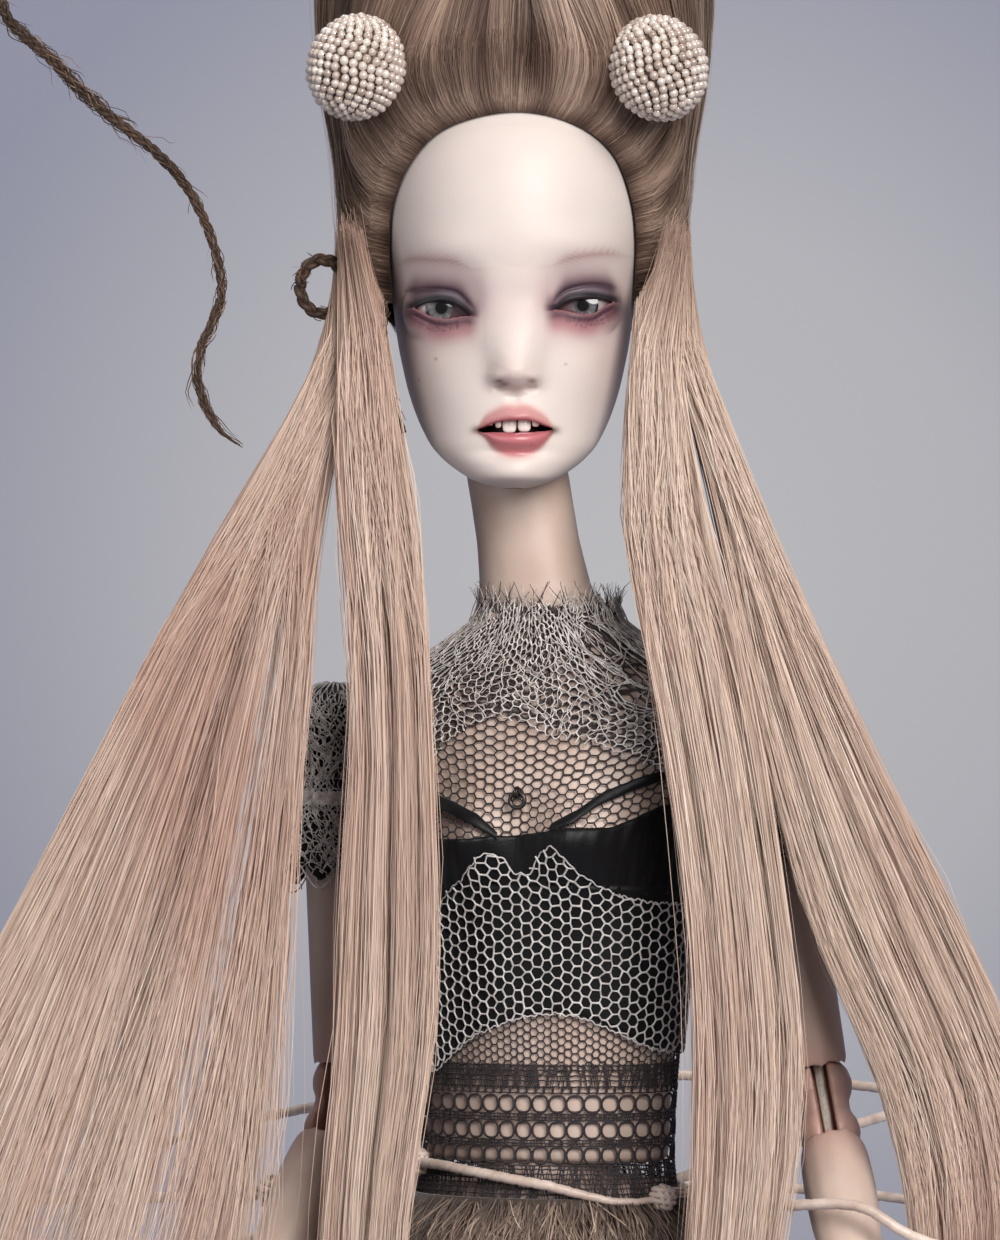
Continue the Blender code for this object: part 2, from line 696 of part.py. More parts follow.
def build_teeth(shell, nod):
    """Six upper teeth on one gum, set into a pocket behind the parted lips."""
    front = -HEAD_DEPTH * MOUTH_FRONT_SHARE
    back = front + 2 * TOOTH_DEPTH
    pocket_half = 2.9 * TOOTH_WIDTH + CLEARANCE
    low = MOUTH_RISE - MOUTH_OPENING / 2
    top = low + TOOTH_HEIGHT + TOOTH_DEPTH
    pocket = box("mouth_pocket", (-pocket_half, front - CLEARANCE, low - CLEARANCE),
                 (pocket_half, back + CLEARANCE, top + CLEARANCE), nod)
    opening = loft("mouth_opening", almond(MOUTH_WIDTH / 2, MOUTH_OPENING / 2, -HEAD_DEPTH - NOSE_PROUD,
                                           front + TOOTH_DEPTH, 0, MOUTH_RISE), None, nod)
    boolean(shell, pocket)
    boolean(shell, opening)
    gum = loft("teeth", [[(sx * pocket_half * 0.94, y, z) for sx, y in
                          ((-1, front + TOOTH_DEPTH), (1, front + TOOTH_DEPTH), (1, back), (-1, back))]
                         for z in (low + TOOTH_HEIGHT * 0.7, top)], ENAMEL, nod)
    for k in range(6):
        across = (k - 2.5) * TOOTH_WIDTH * 0.96
        half = TOOTH_WIDTH * (0.46 if k in (2, 3) else 0.40)
        rings = []
        short = 0.0 if k in (2, 3) else 0.16
        for z, share in ((low + TOOTH_HEIGHT * short, 0.86), (low + TOOTH_HEIGHT, 0.9)):
            rings.append([(across + half * share * sx, y, z) for sx, y in
                          ((-1, front + TOOTH_DEPTH * 0.3), (-0.5, front), (0.5, front),
                           (1, front + TOOTH_DEPTH * 0.3), (1, back - TOOTH_DEPTH * 0.2),
                           (-1, back - TOOTH_DEPTH * 0.2))])
        join(gum, loft(f"tooth_{k}", rings, None, nod))
    return gum


def build_hook(turn, floor):
    """A bent wire: its bar lies across the bore in the head's floor, and its loop catches the elastics."""
    bar = floor + CLEARANCE + HOOK_WIRE_RADIUS
    drop = NECK_BALL_RADIUS * 0.6
    places = [(-HOOK_HALF_WIDTH, 0, bar), (-0.45 * HOOK_HALF_WIDTH, 0, bar),
              (-0.28 * HOOK_HALF_WIDTH, 0, bar * 0.8),
              (-0.24 * HOOK_HALF_WIDTH, 0, (bar + drop) / 2), (-0.16 * HOOK_HALF_WIDTH, 0, drop * 1.08),
              (0, 0, drop), (0.16 * HOOK_HALF_WIDTH, 0, drop * 1.08),
              (0.24 * HOOK_HALF_WIDTH, 0, (bar + drop) / 2), (0.28 * HOOK_HALF_WIDTH, 0, bar * 0.8),
              (0.45 * HOOK_HALF_WIDTH, 0, bar), (HOOK_HALF_WIDTH, 0, bar)]
    tube("head_hook", smooth_path(places, 2), HOOK_WIRE_RADIUS, STEEL, turn, 8)
    return drop


# Arms

def link_rings(radius, length, sides=LIMB_SIDES):
    """A double-ended link: two balls, one over the other, with a filled waist between them."""
    rings = []
    for centre, levels in ((0, (80, 50, 24, 0, -20, -38)), (-length, (38, 20, 0, -24, -50, -80))):
        for level in levels:
            across, up = radius * cos(radians(level)), radius * sin(radians(level))
            rings.append(round_ring(across, centre + up, sides))
    return rings


def cup(name, piece, radius, parent, place=(0, 0, 0), sides=BALL_SIDES):
    """Hollow the end of a limb to sit on a ball, a clearance away from it."""
    cutter = sphere(name, (radius + CLEARANCE) / cos(pi / sides), place, None, parent, sides)
    return boolean(piece, cutter)


def slot(name, piece, half_width, low, high, parent):
    """The slot that lets the elastic slide as the joint bends."""
    half = SLOT_SHARE * half_width
    return boolean(piece, box(name, (-half, low[0], low[1]), (half, high[0], high[1]), parent))


UPPER_ARM_SHARES = ((0.062, 1.00), (0.13, 1.07), (0.22, 1.06), (0.36, 1.0), (0.55, 0.94), (0.75, 0.90),
                    (0.90, 0.89), (0.975, 0.86))
FOREARM_SHARES = ((0.028, 0.85), (0.10, 0.97), (0.22, 1.02), (0.36, 0.98), (0.55, 0.80), (0.75, 0.64),
                  (0.90, 0.56), (0.975, 0.545))
THIGH_SHARES = ((0.055, 0.66), (0.085, 0.78), (0.13, 0.90), (0.21, 0.98), (0.30, 1.0), (0.45, 0.93),
                (0.60, 0.83), (0.75, 0.70), (0.88, 0.60), (0.972, 0.52))
SHIN_SHARES = ((0.030, 0.70), (0.09, 0.79), (0.18, 0.93), (0.30, 1.0), (0.45, 0.89), (0.62, 0.68),
               (0.78, 0.55), (0.90, 0.50), (0.982, 0.495))


def limb_rows(shares, length, radius):
    return [(-length * along, radius * size, 0) for along, size in shares]


def build_arm(side, word, out_deg):
    """Shoulder ball, upper arm, elbow link, forearm, wrist ball and hand, hung on nested joint centres."""
    swing = empty(f"{word}_shoulder_swing", (side * SHOULDER_SPREAD, 0, SHOULDER_Z))
    raise_ = empty(f"{word}_shoulder_raise", (0, 0, 0), swing, (0, -side * radians(out_deg), 0))
    bend = -radians(ELBOW_BEND_DEG)
    upper_elbow = empty(f"{word}_upper_elbow", (0, 0, -UPPER_ARM_LENGTH), raise_,
                        (bend, 0, side * radians(FOREARM_OUT_DEG)))
    lower_elbow = empty(f"{word}_lower_elbow", (0, 0, -ELBOW_LINK_LENGTH), upper_elbow, (bend, 0, 0))
    twist = empty(f"{word}_wrist_twist", (0, 0, -FOREARM_LENGTH), lower_elbow,
                  (0, 0, side * radians(PALM_TURN_DEG)))
    flex = empty(f"{word}_wrist_flex", (0, 0, 0), twist)

    ball = sphere(f"{word}_shoulder_ball", SHOULDER_BALL_RADIUS, (0, 0, 0), RESIN, swing)
    upper = limb(f"{word}_upper_arm", limb_rows(UPPER_ARM_SHARES, UPPER_ARM_LENGTH, UPPER_ARM_RADIUS),
                 RESIN, raise_)
    link = loft(f"{word}_elbow_link", link_rings(ELBOW_BALL_RADIUS, ELBOW_LINK_LENGTH), RESIN, upper_elbow)
    fore = limb(f"{word}_forearm", limb_rows(FOREARM_SHARES, FOREARM_LENGTH, FOREARM_RADIUS),
                RESIN, lower_elbow)
    wrist = sphere(f"{word}_wrist_ball", WRIST_BALL_RADIUS, (0, 0, 0), RESIN, twist, 12)
    hand = build_hand(side, word, flex)

    cup(f"{word}_arm_cup", upper, SHOULDER_BALL_RADIUS, raise_)
    cup(f"{word}_arm_elbow_cup", upper, ELBOW_BALL_RADIUS, raise_, (0, 0, -UPPER_ARM_LENGTH))
    cup(f"{word}_forearm_cup", fore, ELBOW_BALL_RADIUS, lower_elbow)
    cup(f"{word}_forearm_wrist_cup", fore, WRIST_BALL_RADIUS, lower_elbow, (0, 0, -FOREARM_LENGTH), 12)
    cup(f"{word}_hand_cup", hand, WRIST_BALL_RADIUS, flex, (0, 0, 0), 12)
    far = ELBOW_LINK_LENGTH + 2 * ELBOW_BALL_RADIUS
    slot(f"{word}_link_slot", link, ARM_CHANNEL_RADIUS, (-far, -far), (ARM_CHANNEL_RADIUS / 3, far),
         upper_elbow)
    slot(f"{word}_shoulder_slot", ball, ARM_CHANNEL_RADIUS,
         (-2 * SHOULDER_BALL_RADIUS, -2 * SHOULDER_BALL_RADIUS),
         (ARM_CHANNEL_RADIUS / 3, ARM_CHANNEL_RADIUS / 3), swing)

    anchor = world(flex, (0, 0, -HAND_BAR_DROP))
    route = [anchor, world(flex), world(lower_elbow), world(upper_elbow), world(swing)]
    bar = tube(f"{word}_hand_bar", [(-HAND_BAR_HALF, 0, -HAND_BAR_DROP), (HAND_BAR_HALF, 0, -HAND_BAR_DROP)],
               HAND_BAR_RADIUS, STEEL, flex, 8)
    seat = HAND_BAR_HALF + CLEARANCE
    boolean(hand, tube(f"{word}_hand_bar_bore", [(-seat, 0, -HAND_BAR_DROP), (seat, 0, -HAND_BAR_DROP)],
                       HAND_BAR_RADIUS + CLEARANCE, None, flex, 8))
    return {"pieces": [ball, upper, link, fore, wrist, hand], "route": route, "bar": bar,
            "raise": raise_, "flex": flex}


# Each finger: place across the palm, length and curl. The thumb: places out, ahead and along the hand.
FINGER_SHARES = ((-0.72, 0.90, 0.10), (-0.25, 1.0, 0.14), (0.24, 0.94, 0.20), (0.70, 0.76, 0.28))
THUMB_SHARES = ((0.5, 0.0, 0.20), (1.15, 0.5, 0.34), (1.30, 0.9, 0.47), (1.22, 1.1, 0.60))


def build_hand(side, word, flex):
    """A slender hand with its width along X, its palm to +Y and four fingers and a thumb fused to it."""
    half, thick = HAND_WIDTH / 2, HAND_THICKNESS / 2
    rows = ((0.030, 0.52, 1.15), (0.12, 0.60, 1.12), (0.22, 0.78, 1.05), (0.34, 0.98, 1.0), (0.43, 1.0, 0.86),
            (0.49, 0.90, 0.55))
    rings = [[(half * wide * cos(2 * pi * k / 12), thick * deep * sin(2 * pi * k / 12), -HAND_LENGTH * along)
              for k in range(12)] for along, wide, deep in rows]
    hand = loft(f"{word}_hand", rings, RESIN, flex)
    knuckle = -0.44 * HAND_LENGTH
    reach = 0.56 * HAND_LENGTH
    for finger, (across, long, curl) in enumerate(FINGER_SHARES):
        x = side * across * half
        tip = reach * long
        places = [(x, 0, knuckle + FINGER_RADIUS), (x * 1.04, curl * 0.10 * tip, knuckle - 0.35 * tip),
                  (x * 1.06, curl * 0.45 * tip, knuckle - 0.7 * tip), (x * 1.05, curl * tip, knuckle - tip)]
        radii = [FINGER_RADIUS * size for size in (1.08, 1.0, 0.9, 0.6)]
        join(hand, tube(f"{word}_finger_{finger}", places, radii, None, flex, 6))
    thumb = [(-side * half * out, thick * ahead, -HAND_LENGTH * along) for out, ahead, along in THUMB_SHARES]
    join(hand, tube(f"{word}_thumb", thumb, [FINGER_RADIUS * size for size in (1.5, 1.35, 1.1, 0.65)],
                    None, flex, 6))
    return hand


# Legs

def build_leg(side, word):
    """Hip ball, thigh, knee link, shin and foot."""
    swing = empty(f"{word}_hip_swing", (side * HIP_SPREAD, 0, HIP_Z))
    spread = empty(f"{word}_hip_spread", (0, 0, 0), swing)
    upper_knee = empty(f"{word}_upper_knee", (0, 0, -THIGH_LENGTH), spread)
    lower_knee = empty(f"{word}_lower_knee", (0, 0, -KNEE_LINK_LENGTH), upper_knee)
    ankle = empty(f"{word}_ankle", (0, 0, -SHIN_LENGTH), lower_knee)

    ball = sphere(f"{word}_hip_ball", HIP_BALL_RADIUS, (0, 0, 0), RESIN, swing)
    thigh = limb(f"{word}_thigh", limb_rows(THIGH_SHARES, THIGH_LENGTH, THIGH_RADIUS), RESIN, spread)
    link = loft(f"{word}_knee_link", link_rings(KNEE_BALL_RADIUS, KNEE_LINK_LENGTH), RESIN, upper_knee)
    shin = limb(f"{word}_shin", limb_rows(SHIN_SHARES, SHIN_LENGTH, CALF_RADIUS), RESIN, lower_knee)
    foot = build_foot(side, word, ankle)
    cup(f"{word}_thigh_cup", thigh, HIP_BALL_RADIUS, spread)
    cup(f"{word}_thigh_knee_cup", thigh, KNEE_BALL_RADIUS, spread, (0, 0, -THIGH_LENGTH))
    cup(f"{word}_shin_cup", shin, KNEE_BALL_RADIUS, lower_knee)
    cup(f"{word}_shin_ankle_cup", shin, ANKLE_BALL_RADIUS, lower_knee, (0, 0, -SHIN_LENGTH), 14)
    far = KNEE_LINK_LENGTH + 2 * KNEE_BALL_RADIUS
    slot(f"{word}_link_slot", link, CHANNEL_RADIUS, (-CHANNEL_RADIUS / 3, -far), (far, far), upper_knee)
    slot(f"{word}_hip_slot", ball, CHANNEL_RADIUS, (-2 * HIP_BALL_RADIUS, -2 * HIP_BALL_RADIUS),
         (CHANNEL_RADIUS / 3, CHANNEL_RADIUS / 3), swing)

    level = -FOOT_BAR_DROP
    bar = tube(f"{word}_foot_bar", [(-FOOT_BAR_HALF, 0, level), (FOOT_BAR_HALF, 0, level)], BAR_RADIUS,
               STEEL, ankle, 8)
    seat = FOOT_BAR_HALF + CLEARANCE
    boolean(foot, tube(f"{word}_foot_bar_bore", [(-seat, 0, level), (seat, 0, level)],
                       BAR_RADIUS + CLEARANCE, None, ankle, 8))
    return {"pieces": [ball, thigh, link, shin, foot], "route": [world(ankle, (0, 0, level)), world(swing)],
            "bar": bar, "swing": swing}


FOOT_SHARES = ((0.00, 0.34, 0.24), (0.05, 0.60, 0.46), (0.14, 0.72, 0.66), (0.27, 0.74, 0.80),
               (0.38, 0.70, 0.68), (0.50, 0.76, 0.50), (0.64, 0.92, 0.36), (0.76, 1.00, 0.27),
               (0.86, 0.96, 0.22))


def build_foot(side, word, ankle):
    """A flat-soled foot from sections along Y, with five toes and a ball on top for the shin."""
    rings = []
    for along, wide, high in FOOT_SHARES:
        half, top = FOOT_WIDTH / 2 * wide, ANKLE_HEIGHT * high
        y = HEEL_BACK - FOOT_LENGTH * along
        ring = [(-half * 0.86, y, -ANKLE_HEIGHT), (half * 0.86, y, -ANKLE_HEIGHT)]
        for k in range(9):
            spin = pi * k / 8
            ring.append((half * cos(spin), y, -ANKLE_HEIGHT + top * (0.22 + 0.78 * sin(spin))))
        rings.append(ring)
    foot = loft(f"{word}_foot", rings, RESIN, ankle)
    stub = ANKLE_BALL_RADIUS * 0.8
    join(foot, tube(f"{word}_ankle_stub", [(0, 0, -ANKLE_HEIGHT / 2), (0, 0, 0)], stub, None, ankle, 14),
         sphere(f"{word}_ankle_ball", ANKLE_BALL_RADIUS, (0, 0, 0), None, ankle, 14))
    front = HEEL_BACK - FOOT_LENGTH * 0.84
    for toe in range(5):
        across = side * FOOT_WIDTH / 2 * (-0.66 + 0.36 * toe)
        size = TOE_HEIGHT / 2 * (1.0 - 0.10 * toe)
        reach = 1.9 - 0.10 * toe
        place = (across, front + 0.25 * size * toe, size - ANKLE_HEIGHT)
        join(foot, sphere(f"{word}_toe_{toe}", size, place, None, ankle, 8, (0.86, reach, 0.94)))
    return foot


# Stringing

def thread(name, pieces, route, channel_radius):
    """Bore one channel along a route through every piece that the elastic runs in."""
    cutter = tube(f"{name}_channel", route, channel_radius, None, None, 12)
    for piece in pieces:
        boolean(piece, cutter)


def build_elastics(torso, head_drop, arms, legs):
    lean_x, lean_y = neck_place(1.0)
    neck_foot = (0, 0, HIP_Z + NECK_BASE_SHARE * TORSO_SPAN)
    top = NECK_Z + head_drop - HOOK_WIRE_RADIUS - CLEARANCE
    lean = (top - neck_foot[2]) / (NECK_Z - neck_foot[2])
    core_low = (0, 0, WAIST_Z - WAIST_BALL_RADIUS)
    above = (lean_x * 1.6, lean_y * 1.6, NECK_Z + 0.6 * (NECK_Z - neck_foot[2]))
    thread("core", torso, [core_low, neck_foot, above], CORE_BORE_RADIUS)
    for side, word, leg in ((1, "left", legs[0]), (-1, "right", legs[1])):
        beside = side * (ELASTIC_RADIUS + CLEARANCE)
        low, hip = leg["route"]
        route = [low + Vector((0, 0, BAR_RADIUS + CLEARANCE)), hip, (beside, 0, WAIST_Z),
                 (beside, 0, neck_foot[2]), (lean_x * lean + beside, lean_y * lean, top)]
        bored = [low - Vector((0, 0, BAR_RADIUS)), hip, (beside, 0, WAIST_Z), (beside, 0, RIB_Z)]
        thread(f"{word}_leg", leg["pieces"] + torso[:1], bored, CHANNEL_RADIUS)
        tube(f"{word}_body_elastic", route, ELASTIC_RADIUS, RUBBER, None, 8)
    left, right = arms
    behind = CORE_BORE_RADIUS + ARM_ELASTIC_RADIUS
    across = [(SHOULDER_SPREAD / 4, behind, SHOULDER_Z), (-SHOULDER_SPREAD / 4, behind, SHOULDER_Z)]
    bored = left["route"] + across + right["route"][::-1]
    thread("arm", left["pieces"] + torso[2:] + right["pieces"], bored, ARM_CHANNEL_RADIUS)
    ends = []
    for arm in (left, right):
        hang = (arm["route"][1] - arm["route"][0]).normalized()
        ends.append(arm["route"][0] + hang * (HAND_BAR_RADIUS + CLEARANCE))
    strung = [ends[0]] + left["route"][1:] + across + right["route"][1:][::-1] + [ends[1]]
    tube("arm_elastic", strung, ARM_ELASTIC_RADIUS, RUBBER, None, 8)


# Wig and ornaments

def head_spot(across, forward, rise):
    return Vector((across, -forward, rise))


def updo_ring(row):
    share, half_width, front, back = row
    z = UPDO_BASE_RISE + share * UPDO_HEIGHT
    ring = []
    for k in range(UPDO_SIDES):
        spin = 2 * pi * k / UPDO_SIDES
        depth = front if sin(spin) < 0 else back
        groove = 1 - UPDO_GROOVE_SHARE * share * abs(cos(4.5 * spin)) ** 6
        across, back = UPDO_HALF_WIDTH * half_width * groove, UPDO_DEPTH * depth * groove
        ring.append((across * cos(spin), back * sin(spin), z))
    return ring


def build_updo(nod):
    """The swept-up hair: one shell over the skull, open over the face, with a roll at each top corner."""
    updo = loft("hair_updo", [updo_ring(row) for row in UPDO_SHARES], BROWN_HAIR, nod)
    top = UPDO_BASE_RISE + UPDO_HEIGHT
    for side in (-1, 1):
        roll = sphere(f"roll_{side}", UPDO_ROLL_RADIUS,
                      (side * UPDO_HALF_WIDTH * 0.50, -UPDO_DEPTH * 0.10, top - UPDO_ROLL_RADIUS * 0.86),
                      None, nod, 20, (0.94, 1.15, 0.95))
        join(updo, roll)
    skull = [head_ring(row, 2 * CLEARANCE, False) for row in HEAD_SHARES]
    boolean(updo, loft("skull_seat", skull, None, nod))
    far = 2 * UPDO_DEPTH
    window = []
    for y in (-far, 0):
        arch = [(HAIRLINE_HALF_WIDTH * cos(pi * k / 16), y,
                 HAIRLINE_RISE - HAIRLINE_HALF_WIDTH * HAIRLINE_ARCH + HAIRLINE_HALF_WIDTH * HAIRLINE_ARCH
                 * sin(pi * k / 16)) for k in range(17)]
        window.append([(HAIRLINE_HALF_WIDTH, y, -far)] + arch + [(-HAIRLINE_HALF_WIDTH, y, -far)])
    boolean(updo, loft("face_window", window, None, nod))
    boolean(updo, box("below_temples", (-far, -far, -far), (far, TEMPLE_BACK, TEMPLE_RISE), nod))
    boolean(updo, tube("nape_relief", [(0, 0, -far), (0, 0, UPDO_BASE_RISE + OVERRUN)],
                       NECK_BALL_RADIUS + OVERRUN, None, nod, 20))
    return updo


def build_bead_ball(side, word, nod, updo):
    """A ball sewn over with rows of seed beads, which stand out as ribs; it is let into the hair."""
    rows = [(BEAD_BALL_RADIUS + BEAD_RELIEF * cos(2 * pi * k / 3)) for k in range(3 * BEAD_ROWS + 1)]
    rings = []
    for k, radius in enumerate(rows[1:-1], 1):
        level = pi * k / (len(rows) - 1)
        across, up = radius * sin(level), radius * BEAD_BALL_TALL_SHARE * sin(level)
        rings.append([(side * BEAD_BALL_SPREAD + across * cos(2 * pi * j / BEAD_SIDES),
                       -BEAD_BALL_FORWARD - radius * cos(level) * BEAD_BALL_FLAT_SHARE,
                       BEAD_BALL_RISE + up * sin(2 * pi * j / BEAD_SIDES)) for j in range(BEAD_SIDES)])
    ball = loft(f"{word}_bead_ball", rings, PEARL, nod)
    seat = sphere(f"{word}_bead_seat", BEAD_BALL_RADIUS + BEAD_RELIEF + 2 * CLEARANCE,
                  (side * BEAD_BALL_SPREAD, -BEAD_BALL_FORWARD, BEAD_BALL_RISE), None, nod, 16,
                  (1, 1, BEAD_BALL_TALL_SHARE))
    boolean(updo, seat)
    return ball


# For each lock: fall below the temples as a share of its length, then its inner and outer edge from the
# middle of the face, as shares of the reach at its root and of the fan that spreads over the arms from there;
# the last figure is how far it hangs forward, as a share of its own.
LOCK_SHARES = {
    "left_inner_lock": ((0.0022, 0.118, 0.150, 0.30), (0.20, 0.106, 0.185, 0.62), (0.39, 0.143, 0.225, 1.00),
                        (0.59, 0.172, 0.255, 1.14), (0.75, 0.180, 0.270, 1.24), (0.92, 0.172, 0.250, 1.29),
                        (1.00, 0.165, 0.235, 1.30)),
    "left_outer_lock": ((0.0022, 0.142, 0.165, 0.10), (0.20, 0.190, 0.240, 0.50), (0.42, 0.240, 0.335, 0.94),
                        (0.60, 0.290, 0.425, 1.12), (0.79, 0.370, 0.500, 1.22), (1.00, 0.390, 0.500, 1.26)),
    "right_inner_lock": ((0.0022, 0.142, 0.170, 0.30), (0.15, 0.140, 0.180, 0.42), (0.38, 0.086, 0.152, 0.54),
                         (0.56, 0.080, 0.160, 0.60), (0.70, 0.082, 0.165, 0.63), (0.88, 0.107, 0.180, 0.66),
                         (1.00, 0.115, 0.185, 0.66)),
    "right_outer_lock": ((0.0022, 0.142, 0.165, 0.10), (0.12, 0.165, 0.222, 0.20), (0.25, 0.180, 0.296, 0.32),
                         (0.40, 0.190, 0.371, 0.42), (0.66, 0.205, 0.500, 0.58), (0.84, 0.220, 0.590, 0.82),
                         (1.00, 0.250, 0.660, 1.02)),
}


def build_locks(nod):
    """The loose hair: four hanging locks, each a folded sheet that widens as it falls."""
    for name, rows in LOCK_SHARES.items():
        side = 1 if name.startswith("left") else -1
        root_in, root_out = rows[0][1:3]
        rings = []
        for fall, inner, outer, forward in smooth_rows(rows, 2):
            low = root_in * LOCK_ROOT_REACH + (inner - root_in) * LOCK_FAN_REACH
            high = root_out * LOCK_ROOT_REACH + (outer - root_out) * LOCK_FAN_REACH
            ring = []
            for k in range(LOCK_SIDES):
                spin = 2 * pi * k / LOCK_SIDES
                fold = LOCK_THICKNESS * LOCK_FOLD_SHARE * cos(3 * pi * cos(spin)) * min(1, fall * 3)
                hang = LOCK_FORWARD * forward + LOCK_ROOT_FORWARD
                ring.append((side * ((low + high) / 2 + (high - low) / 2 * cos(spin)),
                             LOCK_THICKNESS / 2 * sin(spin) + fold - hang,
                             TEMPLE_RISE - fall * LOCK_LENGTH))
            rings.append(ring)
        loft(name, rings, BLOND_HAIR, nod)


# Places along the long plait: across, forward and above the crown, as shares of its reach.
LONG_PLAIT_SHARES = (
    (-0.385, 0.00, -0.024), (-0.66, 0.03, 0.16), (-0.98, 0.06, 0.10), (-1.20, 0.08, -0.12),
    (-1.25, 0.10, -0.37), (-1.12, 0.10, -0.52), (-1.01, 0.10, -0.63), (-0.84, 0.10, -0.77),
    (-0.75, 0.10, -0.91), (-0.71, 0.10, -1.08), (-0.76, 0.10, -1.22), (-0.765, 0.10, -1.31),
    (-0.72, 0.10, -1.41), (-0.665, 0.10, -1.455),
)
# Places along the side plait: out and forward as shares of its root's, and its fall.
SIDE_PLAIT_SHARES = ((1.0, 1.0, 0.0), (1.02, 1.02, 0.5), (0.84, 1.04, 1.0))


def build_plaits(nod):
    """One long wired plait that arches out from the crown, and two short ones at the right temple."""
    crown = UPDO_BASE_RISE + UPDO_HEIGHT
    route = [head_spot(PLAIT_REACH * across, PLAIT_REACH * forward, crown + PLAIT_REACH * above)
             for across, forward, above in LONG_PLAIT_SHARES]
    path = smooth_path(route, 3)
    last = len(path) - 1
    taper = [PLAIT_RADIUS * (1.15 - 0.6 * k / last) * (1 + 0.10 * cos(pi * k)) for k in range(last + 1)]
    tube("long_plait", path, taper, BROWN_HAIR, nod, 6)
    loop_centre = head_spot(-LOOP_SPREAD, LOOP_FORWARD, LOOP_RISE)
    tall = LOOP_TALL_SHARE * LOOP_RADIUS
    ring = [loop_centre + Vector((LOOP_RADIUS * cos(spin), 0, tall * sin(spin)))
            for spin in (2 * pi * k / 16 for k in range(16))]
    tube("plait_loop", ring, 0.9 * PLAIT_RADIUS, BROWN_HAIR, nod, 7, True)
    root = TEMPLE_RISE - CLEARANCE - PLAIT_RADIUS / 10
    side_route = [head_spot(-SIDE_PLAIT_SPREAD * out, SIDE_PLAIT_FORWARD * ahead,
                            root - SIDE_PLAIT_LENGTH * fall)
                  for out, ahead, fall in SIDE_PLAIT_SHARES]
    tube("side_plait", smooth_path(side_route, 4), PLAIT_RADIUS * 0.8, BROWN_HAIR, nod, 6)


# Costume

def cloth_band(name, edges, layer, finish):
    """A worn tube of cloth: layer 0 lies on the body, and each further one over the last."""
    inner = layer * CLOTH_STEP + CLEARANCE
    low, high = share_of(edges[0]), share_of(edges[1])
    return sleeve_loft(name, torso_rings(low, high, inner + CLOTH_THICKNESS), torso_rings(low, high, inner),
                       finish, None)


def build_bodice():
    """Satin bra, net corset over it, lace over the belly, and the torn net yoke round the shoulders."""
    cloth_band("bra", BRA_BAND, 0, BLACK_SATIN)
    cloth_band("net_corset", CORSET_BAND, 1, SILVER_NET)
    cloth_band("lace_midriff", LACE_BAND, 0, BLACK_LACE)
    yoke = cloth_band("net_yoke", YOKE_BAND, 0, SILVER_NET)
    for side in (-1, 1):
        boolean(yoke, sphere(f"yoke_armhole_{side}", SHOULDER_BALL_RADIUS + 0.7 * OVERRUN,
                             (side * (SHOULDER_SPREAD + OVERRUN / 4), 0, SHOULDER_Z - OVERRUN / 2), sides=20))


def build_sleeve(word, raise_):
    """A gathered cap sleeve on the upper arm, wider at its hem."""
    outer, inner = [], []
    for along, puff in ((0.28, 0.0), (0.42, 0.5), (0.62, 0.9), (0.82, 0.75), (1.0, 1.0)):
        radius = UPPER_ARM_RADIUS * 1.07 + CLEARANCE + puff * 2 * CLOTH_THICKNESS
        outer.append(round_ring(radius + CLOTH_THICKNESS, -SLEEVE_LENGTH * along))
        inner.append(round_ring(radius, -SLEEVE_LENGTH * along))
    sleeve_loft(f"{word}_sleeve", outer, inner, SILVER_NET, raise_)


SKIRT_SHARES = ((0.00, 0.0), (0.20, 0.20), (0.42, 0.40), (0.68, 0.68), (1.00, 1.00))


def build_skirt():
    """A short flared skirt of fur, worn on the hips."""
    outer, inner = [], []
    top = WAIST_Z - LACE_DROP - CLEARANCE
    for fall, flare in SKIRT_SHARES:
        z = top - fall * SKIRT_LENGTH
        level = max(share_of(z), TORSO_SHARES[0][0])
        spread = CLEARANCE + SKIRT_FLARE * flare * 0.55 + SKIRT_HIP_EASE * min(1, 3 * fall)
        for rings, grown in ((inner, 0), (outer, SKIRT_THICKNESS)):
            rings.append([(x, y * (1 + 0.3 * flare), z) for x, y, _ in torso_ring(level, spread + grown)])
    sleeve_loft("fur_skirt", outer, inner, FUR, None)


def hoop_path(radius, height, tilt_deg, sides=24):
    """A round hoop, raised at the back."""
    rise = tan(radians(tilt_deg))
    return [Vector((radius * cos(2 * pi * k / sides), radius * sin(2 * pi * k / sides),
                    height + rise * radius * sin(2 * pi * k / sides))) for k in range(sides)]


def hoop_point(radius, height, tilt_deg, angle_deg):
    spin = radians(angle_deg)
    return Vector((radius * cos(spin), radius * sin(spin),
                   height + tan(radians(tilt_deg)) * radius * sin(spin)))


UPPER_HOOP = (UPPER_HOOP_RADIUS, UPPER_HOOP_HEIGHT, UPPER_HOOP_TILT_DEG)
LOWER_HOOP = (LOWER_HOOP_RADIUS, LOWER_HOOP_HEIGHT, LOWER_HOOP_TILT_DEG)
# Direction of each tie from the waist, in degrees from the doll's left, and the places it passes on the way
# to the hoop, as shares of the upper hoop's radius across, forward and above the waist cord.
TIE_ROUTES = (
    (-12.0, ((0.44, 0.200, -0.005), (0.60, 0.247, 0.000), (0.71, 0.235, -0.055))),
    (172.0, ((-0.55, -0.060, -0.030),)),
    (62.0, ()),
    (118.0, ()),
)


